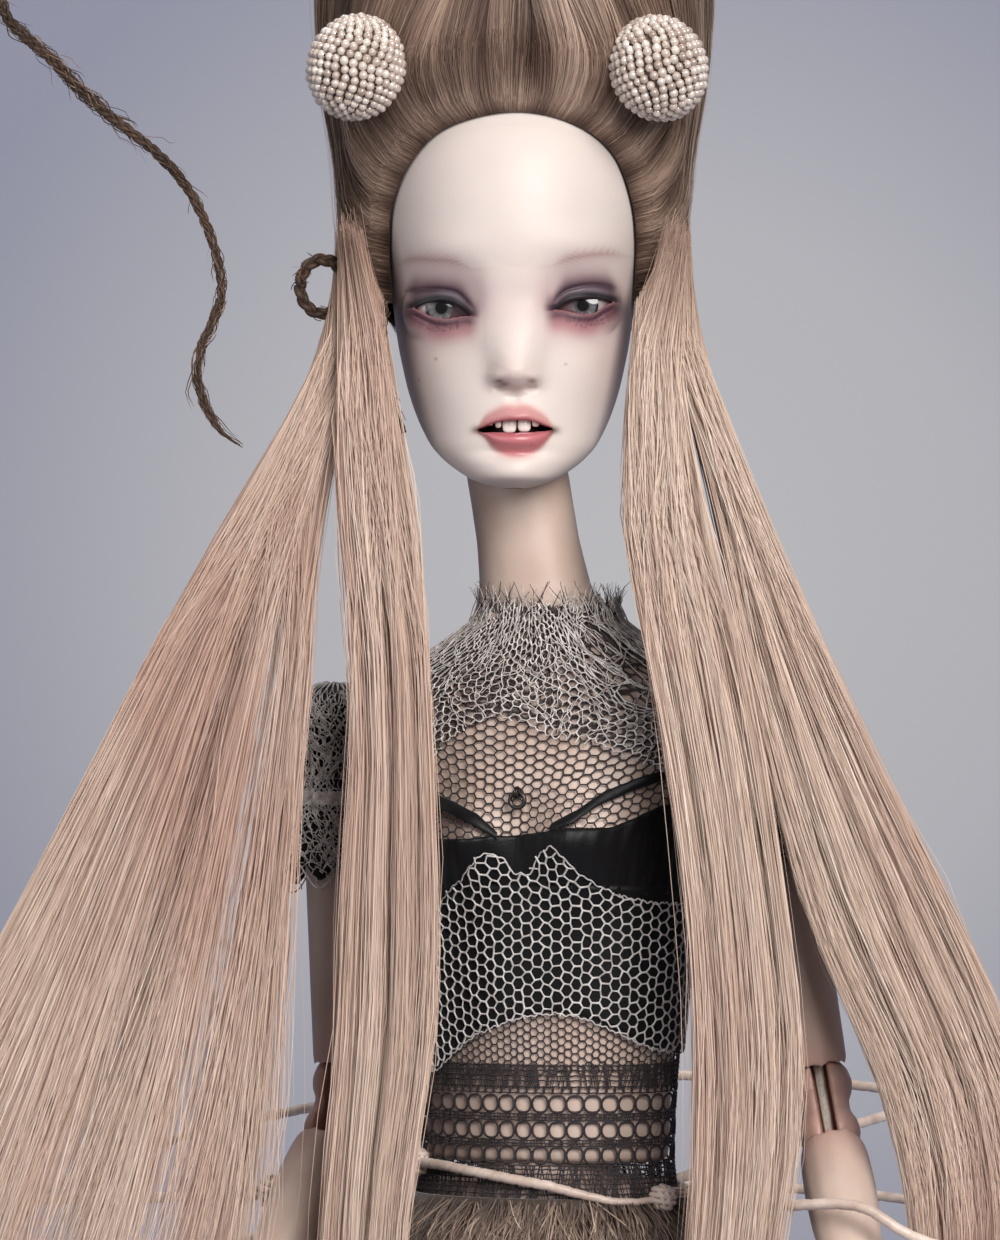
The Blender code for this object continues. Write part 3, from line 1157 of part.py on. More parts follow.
def build_cage():
    """Two satin-covered hoops hung from the waist on cord ties."""
    locks = [bpy.data.objects[name] for name in LOCK_SHARES]
    belt_z = WAIST_Z - WAIST_CORD_DROP
    belt_grown = CLOTH_STEP + CLEARANCE + WAIST_CORD_RADIUS
    belt = [Vector(point) for point in torso_ring(share_of(belt_z), belt_grown)]
    tube("waist_cord", belt, WAIST_CORD_RADIUS, SATIN_CORD, None, 6, True)
    hoops = {}
    for name, hoop in (("upper_hoop", UPPER_HOOP), ("lower_hoop", LOWER_HOOP)):
        path = hoop_path(*hoop)
        hoops[name] = tube(name, path, HOOP_CORD_RADIUS, SATIN_CORD, None, 6, True)
        through = tube(f"{name}_passage", path, HOOP_CORD_RADIUS + 2 * CLEARANCE, None, None, 6, True)
        for lock in locks:
            boolean(lock, through)
    gap = WAIST_CORD_RADIUS + HOOP_CORD_RADIUS + CLEARANCE
    for number, (angle, via) in enumerate(TIE_ROUTES):
        spin = radians(angle)
        belt_point = min(belt, key=lambda point: -(point.x * cos(spin) + point.y * sin(spin)))
        start = belt_point + Vector((gap * cos(spin), gap * sin(spin), 0))
        middle = [Vector((across * UPPER_HOOP_RADIUS, -forward * UPPER_HOOP_RADIUS,
                          belt_z + rise * UPPER_HOOP_RADIUS)) for across, forward, rise in via]
        path = smooth_path([start] + middle + [hoop_point(*UPPER_HOOP, angle)], 4)
        join(hoops["upper_hoop"], tube(f"tie_{number}", path, HOOP_CORD_RADIUS, None, None, 6))
        below = Vector((0, 0, 2 * HOOP_CORD_RADIUS + CLEARANCE))
        low_path = [hoop_point(*UPPER_HOOP, angle) - below, hoop_point(*LOWER_HOOP, angle)]
        join(hoops["lower_hoop"], tube(f"lower_tie_{number}", low_path, HOOP_CORD_RADIUS, None, None, 6))
        for lock in locks:
            boolean(lock, tube(f"tie_passage_{number}_{lock.name}", path, HOOP_CORD_RADIUS + 2 * CLEARANCE,
                               None, None, 6))


def build_pendant():
    """A small dark ring sewn to the front of the bra."""
    share = share_of(RIB_Z + BRA_HIGH + PENDANT_RADIUS)
    front = min(point[1] for point in torso_ring(share))
    centre = Vector((0, front - CLEARANCE - PENDANT_WIRE_RADIUS, RIB_Z + BRA_HIGH + PENDANT_RADIUS
                     + PENDANT_WIRE_RADIUS + CLEARANCE))
    ring = [centre + Vector((PENDANT_RADIUS * cos(2 * pi * k / 12), 0, PENDANT_RADIUS * sin(2 * pi * k / 12)))
            for k in range(12)]
    tube("pendant_ring", ring, PENDANT_WIRE_RADIUS, DARK_METAL, None, 6, True)


def relieve_pelvis(pelvis):
    """Cut the leg line high in front, and a little behind, so the thighs can swing."""
    far = 4 * HIP_BALL_RADIUS
    inner = HIP_SPREAD - THIGH_RADIUS - 2 * CLEARANCE
    for side in (-1, 1):
        low_x, high_x = sorted((side * (inner - HIP_SPREAD), side * far))
        for name, low_y, high_y, tilt, drop in (("front", -far, far, -FRONT_CUT_DEG, CLEARANCE),
                                                ("back", -CLEARANCE, far, -BACK_CUT_DEG, 2 * CLEARANCE)):
            cutter = box(f"leg_line_{name}_{side}", (low_x, low_y, -far), (high_x, high_y, 0), None,
                         (radians(tilt), 0, 0))
            cutter.location = (side * HIP_SPREAD, 0, HIP_Z - drop)
            boolean(pelvis, cutter)


def merge_flat_faces():
    """Dissolve the edges that a Boolean leaves inside a flat face."""
    for made in bpy.data.objects:
        if made.type == "MESH" and not made.hide_render:
            merge = made.modifiers.new("merge_flat_faces", "DECIMATE")
            merge.decimate_type = "DISSOLVE"
            merge.angle_limit = radians(FLAT_DEG)


def main():
    pelvis, midriff, chest = build_torso()
    relieve_pelvis(pelvis)
    lean_x, lean_y = neck_place(1.0)
    turn = empty("head_turn", (lean_x, lean_y, NECK_Z), None, (0, 0, radians(HEAD_TURN_DEG)))
    nod = empty("head_nod", (0, 0, 0), turn)
    drop = build_hook(turn, build_head(nod))
    arms = [build_arm(1, "left", LEFT_ARM_OUT_DEG), build_arm(-1, "right", RIGHT_ARM_OUT_DEG)]
    legs = [build_leg(1, "left"), build_leg(-1, "right")]
    build_elastics([pelvis, midriff, chest], drop, arms, legs)
    updo = build_updo(nod)
    for side, word in ((1, "left"), (-1, "right")):
        build_bead_ball(side, word, nod, updo)
    build_locks(nod)
    build_plaits(nod)
    build_bodice()
    for word, arm in zip(("left", "right"), arms):
        build_sleeve(word, arm["raise"])
    build_skirt()
    build_cage()
    build_pendant()
    merge_flat_faces()


main()
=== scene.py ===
"""A strung ball-jointed fashion doll with a tall dressed wig, in a net-and-lace costume, on a grey backdrop.

Lengths are metres. The doll faces -Y and its head is turned 17 degrees towards its left, so the head
has a frame of its own: u runs to the doll's left across the face, v runs out in front of it and w runs
up from the neck joint.
"""
import json
from math import cos, pi, radians, sin

import bpy
import numpy as np
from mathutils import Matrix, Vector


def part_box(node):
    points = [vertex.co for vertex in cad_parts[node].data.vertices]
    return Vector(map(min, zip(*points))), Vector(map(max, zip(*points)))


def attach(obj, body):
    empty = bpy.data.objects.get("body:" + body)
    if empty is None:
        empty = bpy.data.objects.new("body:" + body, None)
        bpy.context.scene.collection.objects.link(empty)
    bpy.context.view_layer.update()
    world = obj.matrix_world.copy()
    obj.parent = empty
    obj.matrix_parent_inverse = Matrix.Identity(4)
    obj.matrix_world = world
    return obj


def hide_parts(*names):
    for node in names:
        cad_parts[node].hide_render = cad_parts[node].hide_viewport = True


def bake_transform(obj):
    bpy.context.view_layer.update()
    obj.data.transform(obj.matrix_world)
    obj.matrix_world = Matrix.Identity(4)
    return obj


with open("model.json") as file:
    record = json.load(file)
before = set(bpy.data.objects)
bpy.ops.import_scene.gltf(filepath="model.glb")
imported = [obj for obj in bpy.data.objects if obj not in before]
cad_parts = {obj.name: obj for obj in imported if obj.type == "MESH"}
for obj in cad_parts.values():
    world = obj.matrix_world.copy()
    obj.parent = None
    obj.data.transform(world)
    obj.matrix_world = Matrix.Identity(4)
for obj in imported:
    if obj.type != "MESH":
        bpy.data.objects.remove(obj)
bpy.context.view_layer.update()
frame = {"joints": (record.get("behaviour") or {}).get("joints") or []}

bl_info = {
    "name": "Ball-jointed doll",
    "version": (1, 0, 0),
    "blender": (4, 5, 0),
    "location": "View3D > Sidebar > Doll",
    "description": "Builds the finished doll over its packed solids",
    "category": "Object",
}

NECK = np.array([-0.004782, -0.001462, 0.363])
HEAD_TURN = radians(17.0)
CAMERA_TURN = radians(17.0)
MM = 0.001


# Frames and small helpers

def head_to_world(points):
    """Head frame (u across, v in front, w up) to the row frame: turn by HEAD_TURN about +Z, then
    add NECK."""
    points = np.asarray(points, float)
    c, s = cos(HEAD_TURN), sin(HEAD_TURN)
    u, v, w = points[..., 0], points[..., 1], points[..., 2]
    return np.stack([u * c + v * s, u * s - v * c, w], -1) + NECK


def photo_u(px):
    """Across the face, from a column of the picture, for points at the head's depth."""
    return (np.asarray(px, float) - 514) * 0.1465 * MM


def photo_w(py):
    """Above the neck joint, from a row of the picture."""
    return (65.79 - 0.1465 * np.asarray(py, float)) * MM


def curve(table, x):
    """A smooth curve through the (place, value) pairs of a table, Catmull-Rom between them."""
    table = np.asarray(table, float)
    px, py = table[:, 0], table[:, 1:]
    x = np.atleast_1d(np.asarray(x, float))
    k = np.clip(np.searchsorted(px, x) - 1, 0, len(px) - 2)
    t = np.clip((x - px[k]) / (px[k + 1] - px[k]), 0, 1)[..., None]
    slope = np.gradient(py, px, axis=0)
    step = (px[k + 1] - px[k])[..., None]
    a, b, ma, mb = py[k], py[k + 1], slope[k] * step, slope[k + 1] * step
    out = ((2 * t ** 3 - 3 * t ** 2 + 1) * a + (t ** 3 - 2 * t ** 2 + t) * ma
           + (3 * t ** 2 - 2 * t ** 3) * b + (t ** 3 - t ** 2) * mb)
    return out[..., 0] if out.shape[-1] == 1 else out


def hill(distance, size):
    """A smooth hill, 1 at no distance and 0.37 at one size."""
    return np.exp(-(np.asarray(distance, float) / size) ** 2)


def ramp(x, low, high):
    """0 below low, 1 above high, smooth between."""
    t = np.clip((np.asarray(x, float) - low) / (high - low), 0, 1)
    return t * t * (3 - 2 * t)


def linear(code):
    """A hex colour as linear light."""
    srgb = [int(code[k:k + 2], 16) / 255 for k in (1, 3, 5)]
    return tuple(c / 12.92 if c <= 0.04045 else ((c + 0.055) / 1.055) ** 2.4 for c in srgb)


def toned(stops, colour):
    """A ramp's (place, hex) stops in linear light, scaled so that the middle one becomes the
    chosen colour."""
    ratio = np.array(colour) / np.array(linear(stops[len(stops) // 2][1]))
    return [(place, tuple(np.minimum(np.array(linear(code)) * ratio, 1.0))) for place, code in stops]


def lay(field, colour, amount):
    """Lay a colour, in hex or in linear light, over a field of colours."""
    top = linear(colour) if isinstance(colour, str) else np.array(colour)
    field += (top - field) * np.asarray(amount)[..., None]


def make_object(name, points, faces, material, body=None, colours=None, tones=None, node=None):
    """A mesh object from arrays of points and quads, on its body, in place of its solid and in its
    material slot."""
    points = np.asarray(points, float).reshape(-1, 3)
    count = len(faces)
    mesh = bpy.data.meshes.new(name)
    mesh.vertices.add(len(points))
    mesh.vertices.foreach_set("co", points.ravel())
    mesh.loops.add(4 * count)
    mesh.loops.foreach_set("vertex_index", np.asarray(faces, np.int32).ravel())
    mesh.polygons.add(count)
    mesh.polygons.foreach_set("loop_start", np.arange(count, dtype=np.int32) * 4)
    mesh.polygons.foreach_set("loop_total", np.full(count, 4, np.int32))
    mesh.polygons.foreach_set("use_smooth", np.ones(count, bool))
    if colours is not None:
        layer = mesh.color_attributes.new("paint", "FLOAT_COLOR", "POINT")
        rgba = np.concatenate([np.asarray(colours, float).reshape(-1, 3), np.ones((len(points), 1))], 1)
        layer.data.foreach_set("color", rgba.ravel())
    if tones is not None:
        layer = mesh.attributes.new("tone", "FLOAT", "POINT")
        layer.data.foreach_set("value", np.asarray(tones, np.float32).ravel())
    mesh.materials.append(material)
    mesh.update(calc_edges=True)
    mesh.validate()
    made = bpy.data.objects.new(name, mesh)
    bpy.context.scene.collection.objects.link(made)
    if isinstance(body, tuple):
        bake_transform(made)
    elif body:
        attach(made, body)
    if node:
        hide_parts(node)
    return made


def grid_faces(rows, columns, closed=False, round_again=False):
    """Quads of a grid of points kept row by row; closed joins the columns' ends, round_again the
    rows' ends."""
    r, c = np.meshgrid(np.arange(rows - 1 + round_again), np.arange(columns - 1 + closed), indexing="ij")
    below, after = (r + 1) % rows * columns, (c + 1) % columns
    return np.stack([r * columns + c, r * columns + after, below + after, below + c], -1).reshape(-1, 4)


def across_of(paths):
    """Unit tangents of many paths at once; paths is (strands, points, 3)."""
    tangent = np.gradient(paths, axis=1)
    return tangent / np.maximum(np.linalg.norm(tangent, axis=-1, keepdims=True), 1e-12)


def tubes(paths, radius, sides=6, closed=False, lean=(0.31, 0.22, 0.93)):
    """Round tubes along many paths: ring points = path + radius (cos a n + sin a b), n and b
    across the tangent."""
    paths = np.asarray(paths, float)
    if closed:
        tangent = np.roll(paths, -1, 1) - np.roll(paths, 1, 1)
        tangent /= np.maximum(np.linalg.norm(tangent, axis=-1, keepdims=True), 1e-12)
    else:
        tangent = across_of(paths)
    n = np.cross(tangent, np.asarray(lean))
    n /= np.maximum(np.linalg.norm(n, axis=-1, keepdims=True), 1e-9)
    b = np.cross(tangent, n)
    radius = np.broadcast_to(np.asarray(radius, float), paths.shape[:2]) if np.ndim(radius) < 2 else radius
    turn = 2 * pi * np.arange(sides) / sides
    ring = (paths[:, :, None] + radius[:, :, None, None]
            * (np.cos(turn)[:, None] * n[:, :, None] + np.sin(turn)[:, None] * b[:, :, None]))
    many, steps = paths.shape[:2]
    one = grid_faces(steps, sides, True, closed)
    faces = (one[None] + (np.arange(many) * steps * sides)[:, None, None]).reshape(-1, 4)
    return ring.reshape(-1, 3), faces


def ribbons(paths, width, flat):
    """Flat fibres along many paths; flat is a direction per path that the ribbon's face leans towards."""
    paths = np.asarray(paths, float)
    tangent = across_of(paths)
    side = np.cross(tangent, flat[:, None, :])
    side /= np.maximum(np.linalg.norm(side, axis=-1, keepdims=True), 1e-9)
    half = np.asarray(width, float)[..., None] / 2
    edges = np.stack([paths - side * half, paths + side * half], 2)
    many, steps = paths.shape[:2]
    one = grid_faces(steps, 2)
    faces = (one[None] + (np.arange(many) * steps * 2)[:, None, None]).reshape(-1, 4)
    return edges.reshape(-1, 3), faces


def gather(parts):
    """Join (points, faces) pairs into one pair."""
    points, faces, start = [], [], 0
    for some, quads in parts:
        points.append(some)
        faces.append(quads + start)
        start += len(some)
    return np.concatenate(points), np.concatenate(faces)


# Materials

RESIN = ((0.3, "#c4ab9c"), (0.7, "#cfbaad"))
BROWN = ((0.05, "#35261f"), (0.30, "#654f44"), (0.55, "#8c7364"), (0.90, "#bca290"))
BLOND = ((0.02, "#6b5142"), (0.24, "#957a6b"), (0.48, "#bca18f"), (0.72, "#d4bcab"), (0.97, "#eedfd1"))
PLAIT = ((0.15, "#1f1511"), (0.5, "#4a372b"), (0.85, "#7d6450"))
PEARL = ((0.0, "#9f8a7d"), (0.45, "#c9b7ab"), (1.0, "#e8dcd1"))
SILVER = ((0.3, "#a39b97"), (0.7, "#ded8d4"))
TORN_NET = ((0.3, "#a99e98"), (0.7, "#efe8e3"))
FRAY = ((0.3, "#241d1e"), (0.7, "#4d4141"))
LACE = ((0.3, "#1a1113"), (0.7, "#33262a"))
FUR = ((0.0, "#3a2c26"), (0.30, "#6e594c"), (0.60, "#a38c7a"), (1.0, "#d6c4b2"))
CORD = ((0.3, "#b39a8c"), (0.7, "#dccabd"))
# Backdrop paper: its centre is lighter as a painted pool of light, and its edges are darker and bluer.
PAPER_AND_LIGHT_POOL = ((0.0, "#cbcbcc"), (0.10, "#c0c0c4"), (0.19, "#9b9dae"), (0.60, "#808496"))


def nodes_of(name):
    """A new node material: itself, its tree and its shader."""
    material = bpy.data.materials.new(name)
    material.use_nodes = True
    tree = material.node_tree
    return material, tree, tree.nodes["Principled BSDF"]


def add(tree, kind, **values):
    """Add a node; values are its properties, or its inputs where the name matches one."""
    node = tree.nodes.new(kind)
    for key, value in values.items():
        if key in node.inputs:
            node.inputs[key].default_value = value
        else:
            setattr(node, key, value)
    return node


def link(source, output, target, socket):
    """Join one node's output to another's input."""
    source.id_data.links.new(source.outputs[output], target.inputs[socket])


def settle(node, values):
    """Set a node's inputs by name."""
    for socket, value in values.items():
        node.inputs[socket].default_value = value


def ramp_node(tree, factor, stops):
    """A colour ramp on a factor; its stops are (place, colour), in hex or in linear light."""
    node = tree.nodes.new("ShaderNodeValToRGB")
    while len(node.color_ramp.elements) < len(stops):
        node.color_ramp.elements.new(0.5)
    for element, (place, colour) in zip(node.color_ramp.elements, stops):
        element.position = place
        element.color = (*(linear(colour) if isinstance(colour, str) else colour), 1)
    tree.links.new(factor, node.inputs["Fac"])
    return node


def noise(tree, scale, detail=3.0, coordinates=None, stretch=(1, 1, 1)):
    """Noise in the object's own metres."""
    place = coordinates or add(tree, "ShaderNodeTexCoord").outputs["Object"]
    spread = add(tree, "ShaderNodeMapping")
    settle(spread, {"Scale": stretch})
    tree.links.new(place, spread.inputs["Vector"])
    node = add(tree, "ShaderNodeTexNoise", Scale=scale, Detail=detail)
    link(spread, "Vector", node, "Vector")
    return node


def bump_from(tree, shader, height, strength, distance):
    """Roughen a shader's surface by a height."""
    node = add(tree, "ShaderNodeBump", Strength=strength, Distance=distance)
    tree.links.new(height, node.inputs["Height"])
    link(node, "Normal", shader, "Normal")


def soft_resin(tree, shader, radius):
    """Light carried a little way under cast resin, and a very fine grain on it."""
    settle(shader, {"Subsurface Weight": 0.12, "Subsurface Radius": radius, "Subsurface Scale": 1.0})
    grain = noise(tree, 2600, 2)
    bump_from(tree, shader, grain.outputs["Fac"], 0.06, 0.0002)


def painted_resin(name):
    """Cast polyurethane resin, matt from its spray coat, painted by hand and glossed at the lips
    and lid rims."""
    material, tree, shader = nodes_of(name)
    mottle = noise(tree, 90, 4)
    paint = add(tree, "ShaderNodeVertexColor", layer_name="paint")
    blend = add(tree, "ShaderNodeMix", data_type="RGBA", blend_type="MULTIPLY")
    blend.inputs["Factor"].default_value = 1.0
    even = ramp_node(tree, mottle.outputs["Fac"], [(0.3, (0.965, 0.96, 0.955)), (0.7, (1, 1, 1))])
    link(paint, "Color", blend, "A")
    link(even, "Color", blend, "B")
    link(blend, "Result", shader, "Base Color")
    gloss = add(tree, "ShaderNodeAttribute", attribute_name="tone")
    rough = add(tree, "ShaderNodeMapRange")
    settle(rough, {"To Min": 0.50, "To Max": 0.13})
    link(gloss, "Fac", rough, "Value")
    link(rough, "Result", shader, "Roughness")
    soft_resin(tree, shader, (0.0022, 0.0010, 0.0007))
    return material


# Head

HEAD_HEIGHT, CHIN_DROP = 0.0630, 0.0057
HEAD_HALF_WIDTH, HEAD_DEPTH = 0.0188, 0.0225
EYE_RADIUS, EYE_AXIS = 0.0050, 0.0092
EYES = ((0.0100, 0.0208), (-0.0105, 0.0204))
LID = 0.0007
SEAM_RISE, SEAM_TILT = 0.0400, radians(25)
# Share of the height, then half width, front and back as shares of the head's.
HEAD_SHARES = (
    (0.000, 0.20, 0.84, -0.56), (0.022, 0.33, 0.90, -0.30), (0.050, 0.47, 0.92, -0.02),
    (0.090, 0.61, 0.905, 0.22),
    (0.135, 0.70, 0.885, 0.46), (0.180, 0.765, 0.88, 0.66), (0.230, 0.82, 0.88, 0.80),
    (0.280, 0.86, 0.885, 0.90),
    (0.330, 0.895, 0.89, 0.96), (0.380, 0.92, 0.89, 1.00), (0.430, 0.94, 0.90, 1.02),
    (0.480, 0.96, 0.93, 1.04),
    (0.540, 0.98, 0.955, 1.05), (0.610, 1.00, 0.965, 1.04), (0.690, 0.99, 0.945, 1.01),
    (0.770, 0.94, 0.885, 0.95),
    (0.840, 0.84, 0.78, 0.84), (0.900, 0.70, 0.63, 0.69), (0.950, 0.50, 0.44, 0.49),
    (0.985, 0.26, 0.23, 0.25),
)
# Outlines in pixels of the picture. The upper lids, the lower lids and the creases above them, eye by eye.
UPPER_LID = (
    ((552, 313.0), (557, 311.2), (563, 306.4), (571, 302.2), (584, 299.8), (599, 300.4), (607, 302.0),
     (613, 303.2)),
    ((414, 309.3), (419, 307.6), (425, 305.2), (435, 302.8), (446, 302.6), (455, 305.2), (464, 311.2),
     (472, 318.6)),
)
LOWER_LID = (
    ((552, 313.0), (557, 312.6), (563, 313.0), (571, 314.6), (583, 316.4), (594, 314.4), (602, 309.0),
     (613, 303.2)),
    ((414, 309.3), (419, 311.5), (426, 315.2), (436, 319.6), (446, 320.9), (456, 319.8), (464, 318.8),
     (472, 318.6)),
)
CREASE = (
    ((552, 308.0), (556, 301.5), (563, 294.6), (576, 289.6), (592, 287.3), (607, 288.2), (618, 291.0)),
    ((404, 293.5), (411, 292.0), (430, 291.0), (446, 292.3), (460, 296.6), (469, 305.5), (476, 314.0)),
)
BROW = (
    ((549, 271.0), (567, 263.0), (587, 258.6), (612, 256.2), (628, 258.0)),
    ((393, 266.5), (411, 261.5), (434, 263.0), (455, 265.6), (473, 273.5)),
)
LIP_TOP = ((477, 431.5), (486, 418.2), (496, 411.6), (508, 407.6), (516, 408.6), (525, 407.0), (535, 411.4),
           (545, 418.2), (554, 430.0))
MOUTH_TOP = ((477, 431.5), (487, 426.6), (496, 423.6), (506, 421.6), (517, 421.2), (529, 421.4), (538, 424.0),
             (545, 426.6), (554, 430.4))
MOUTH_LOW = ((477, 431.7), (484, 433.6), (492, 433.6), (503, 434.0), (517, 434.2), (528, 433.8), (537, 433.0),
             (545, 432.2), (554, 430.6))
LIP_LOW = ((477, 432.0), (486, 438.0), (492, 446.0), (500, 452.6), (512, 456.3), (525, 455.6), (537, 450.4),
           (546, 441.6), (554, 431.0))


def outline(table, u):
    """Height of a picture outline above the neck joint, at places u across the face."""
    table = np.asarray(table, float)
    own = np.stack([photo_u(table[:, 0]), photo_w(table[:, 1])], 1)
    return curve(own, u).reshape(np.shape(u))


def between(u, table, soft=0.35 * MM):
    """1 where u is inside a table's ends, falling to 0 at them over soft."""
    low, high = photo_u(table[0][0]), photo_u(table[-1][0])
    return ramp(u, low, low + soft) * (1 - ramp(u, high - soft, high))


def head_profile(w):
    """Half width, front and back of the bare head at heights w."""
    share = (np.asarray(w) + CHIN_DROP) / HEAD_HEIGHT
    rows = curve(HEAD_SHARES, share)
    return HEAD_HALF_WIDTH * rows[..., 0], HEAD_DEPTH * rows[..., 1], HEAD_DEPTH * rows[..., 2]


NOSE_RIDGE = ((0.0074, 0.0), (0.0082, 0.0007), (0.0091, 0.0021), (0.0101, 0.0032), (0.0111, 0.0035),
              (0.0124, 0.0030),
              (0.0142, 0.0021), (0.0168, 0.0013), (0.0200, 0.0007), (0.0235, 0.0002), (0.0260, 0.0))
NOSE_SPREAD = ((0.0078, 0.0019), (0.0088, 0.0025), (0.0100, 0.0030), (0.0115, 0.0031), (0.0135, 0.0032),
               (0.0165, 0.0038), (0.0200, 0.0046), (0.0260, 0.0058))


def nose(u, w):
    """The nose's stand-out: a ridge times a rounded section, with a wing each side and a hollow
    for each nostril."""
    under = w - 0.0012 * np.clip(np.abs(u - 0.0002) / 0.0032, 0, 1.3) ** 2
    ridge = curve(NOSE_RIDGE, under.ravel()).reshape(w.shape)
    spread = curve(NOSE_SPREAD, w.ravel()).reshape(w.shape)
    out = ridge * np.exp(-np.abs((u - 0.0002) / spread) ** 2.3)
    for centre in (-0.0027, 0.0031):
        out += 0.0011 * hill(u - centre, 0.0013) * hill(w - 0.0101, 0.0012)
    for centre in (-0.0019, 0.0024):
        out -= 0.0010 * hill(u - centre, 0.0008) * hill(w - 0.0087, 0.00045)
    return out


def lips(u, w):
    """The two lips, each a rounded roll between its outline and the open mouth."""
    top, upper, lower, low = (outline(table, u) for table in (LIP_TOP, MOUTH_TOP, MOUTH_LOW, LIP_LOW))
    side = np.clip(1 - ((u - 0.0003) / 0.0056) ** 2, 0, 1)
    part = np.clip((w - upper) / np.maximum(top - upper, 1e-6), -1, 3)
    out = 0.0011 * side ** 0.7 * np.where(part > 0, np.exp(-((part - 0.25) / 0.62) ** 2), 0.85)
    under = np.clip((lower - w) / np.maximum(lower - low, 1e-6), -1, 3)
    out = np.where(w < (upper + lower) / 2,
                   0.0015 * side ** 0.7 * np.where(under > 0, np.exp(-((under - 0.34) / 0.55) ** 2), 0.80),
                   out)
    return out * between(u, LIP_TOP)


def face_out(u, w):
    """How far the features stand out of the smooth head, in metres."""
    out = nose(u, w)
    out += lips(u, w)
    out += 0.0006 * hill(u, 0.0045) * hill(w - 0.0036, 0.0042)
    out -= 0.0005 * hill(u, 0.0008) * hill(w - 0.0075, 0.0012)
    out -= 0.0009 * hill(u, 0.0042) * hill(w + 0.0007 - 0.0002, 0.0010)
    out += 0.0010 * hill(u, 0.0042) * hill(w + 0.0036, 0.0022)
    for centre, level in EYES:
        out -= 0.0016 * hill(np.abs(u) - 0.0072, 0.0028) * hill(w - level - 0.0012,
                                                                0.0036) * (np.sign(u) == np.sign(centre))
        out -= 0.0008 * hill(u - centre * 1.05, 0.0052) * hill(w - level - 0.0042, 0.0030)
        out += 0.0006 * hill(u - centre * 1.05, 0.0062) * hill(w - level - 0.0085, 0.0026)
        out += 0.0007 * hill(u - centre * 1.15, 0.0045) * hill(w - level + 0.0105, 0.0050)
        out -= 0.0005 * hill(u - centre, 0.0046) * hill(w - level + 0.0056, 0.0022)
    return out


def build_face(sizes, colours):
    """Face and cap: rings x = W sin t, y = (B - F) / 2 - (B + F) / 2 cos t, with the features laid on.

    A lid follows its eyeball's sphere; inside the lids and the lips the skin turns in to the socket
    and the mouth.
    Each row of points next to an opening is moved onto the opening's outline, so the edge is clean.
    """
    bottom = -0.0057 + 0.0016 * (1 - np.cos(np.linspace(0.02, pi / 2, 14)))
    rows = np.concatenate([bottom[:-1], np.arange(-0.0041, -0.0034, 0.00020),
                           np.arange(-0.0034, 0.0282, 0.000145),
                           np.arange(0.0282, 0.0565, 0.00042)])
    sides = 282
    step = 2 * np.arange(sides) / sides - 1
    spin = pi * (0.62 * step + 0.38 * step ** 3)
    w = np.repeat(rows[:, None], sides, 1)
    half, front, back = (column[:, None] for column in head_profile(rows))
    chin = np.sqrt(np.clip(1 - (np.clip(-0.0041 - rows, 0, None) / 0.0016) ** 2, 0, 1))[:, None]
    middle, depth = (front - back) / 2, (front + back) / 2 * (0.55 + 0.45 * chin)
    front, back, half = middle + depth, depth - middle, half * (0.35 + 0.65 * chin)
    u = half * np.sin(spin)
    front_side = np.cos(spin) > 0
    gap = 0.0000725
    hole = np.zeros(w.shape, bool)
    for eye in (0, 1):
        upper, lower = outline(UPPER_LID[eye], u), outline(LOWER_LID[eye], u)
        inside = (u > photo_u(UPPER_LID[eye][0][0])) & (u < photo_u(UPPER_LID[eye][-1][0])) & front_side
        for edge in (upper, lower):
            near = inside & (np.abs(w - edge) <= gap)
            w = np.where(near, edge, w)
        hole |= inside & (w < upper - 1e-7) & (w > lower + 1e-7)
    upper, lower = outline(MOUTH_TOP, u), outline(MOUTH_LOW, u)
    inside = (u > photo_u(477)) & (u < photo_u(554)) & front_side
    for edge in (upper, lower):
        w = np.where(inside & (np.abs(w - edge) <= gap), edge, w)
    mouth = inside & (w < upper - 1e-7) & (w > lower + 1e-7)
    v = -(back - front) / 2 + (back + front) / 2 * np.cos(spin)
    v = v + np.where(front_side, face_out(u, w), 0) * ramp(np.cos(spin), 0, 0.35)
    for centre, level in EYES:
        reach = (u - centre) ** 2 + (w - level) ** 2
        ball = EYE_AXIS + np.sqrt(np.clip((EYE_RADIUS + LID) ** 2 - reach, 0, None))
        near = front_side & (reach < (EYE_RADIUS + LID) ** 2)
        soft = 0.0004
        lifted = soft * np.logaddexp(v / soft, ball / soft)
        v = np.where(near, np.where(reach < (EYE_RADIUS * 0.98) ** 2, lifted, np.maximum(v, lifted)), v)
    for eye, (centre, level) in enumerate(EYES):
        crease = outline(CREASE[eye], u)
        on = between(u, CREASE[eye]) * front_side
        v = v - on * 0.00042 * hill(w - crease, 0.00030)
        lower = outline(LOWER_LID[eye], u)
        on = between(u, LOWER_LID[eye]) * front_side
        v = v - on * 0.00022 * hill(w - lower + 0.0010, 0.00025)
    v = v - 0.0021 * hole - 0.0046 * mouth
    paint, gloss = face_paint(u, w, front_side, hole, mouth, colours)
    points = head_to_world(np.stack([u, v, w], -1)).reshape(-1, 3)
    faces = grid_faces(len(rows), sides, True)
    behind = (np.cos(spin)[None] * -1 + 0 * w)
    seam = SEAM_RISE + 0.0065 - np.tan(SEAM_TILT) * (behind * 0.5 + 0.5) * 0.040
    is_cap = (w > seam).ravel()[faces].all(1)
    face = make_object("face", points, faces[~is_cap], painted_resin("painted_resin"), None,
                       paint.reshape(-1, 3), gloss.ravel())
    cap = make_object("head_cap", points, faces[is_cap], painted_resin("cap_resin"), None,
                      paint.reshape(-1, 3), gloss.ravel())
    for made, node in ((face, "head_shell"), (cap, "skull_cap")):
        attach(made, "head")
        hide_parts(node)


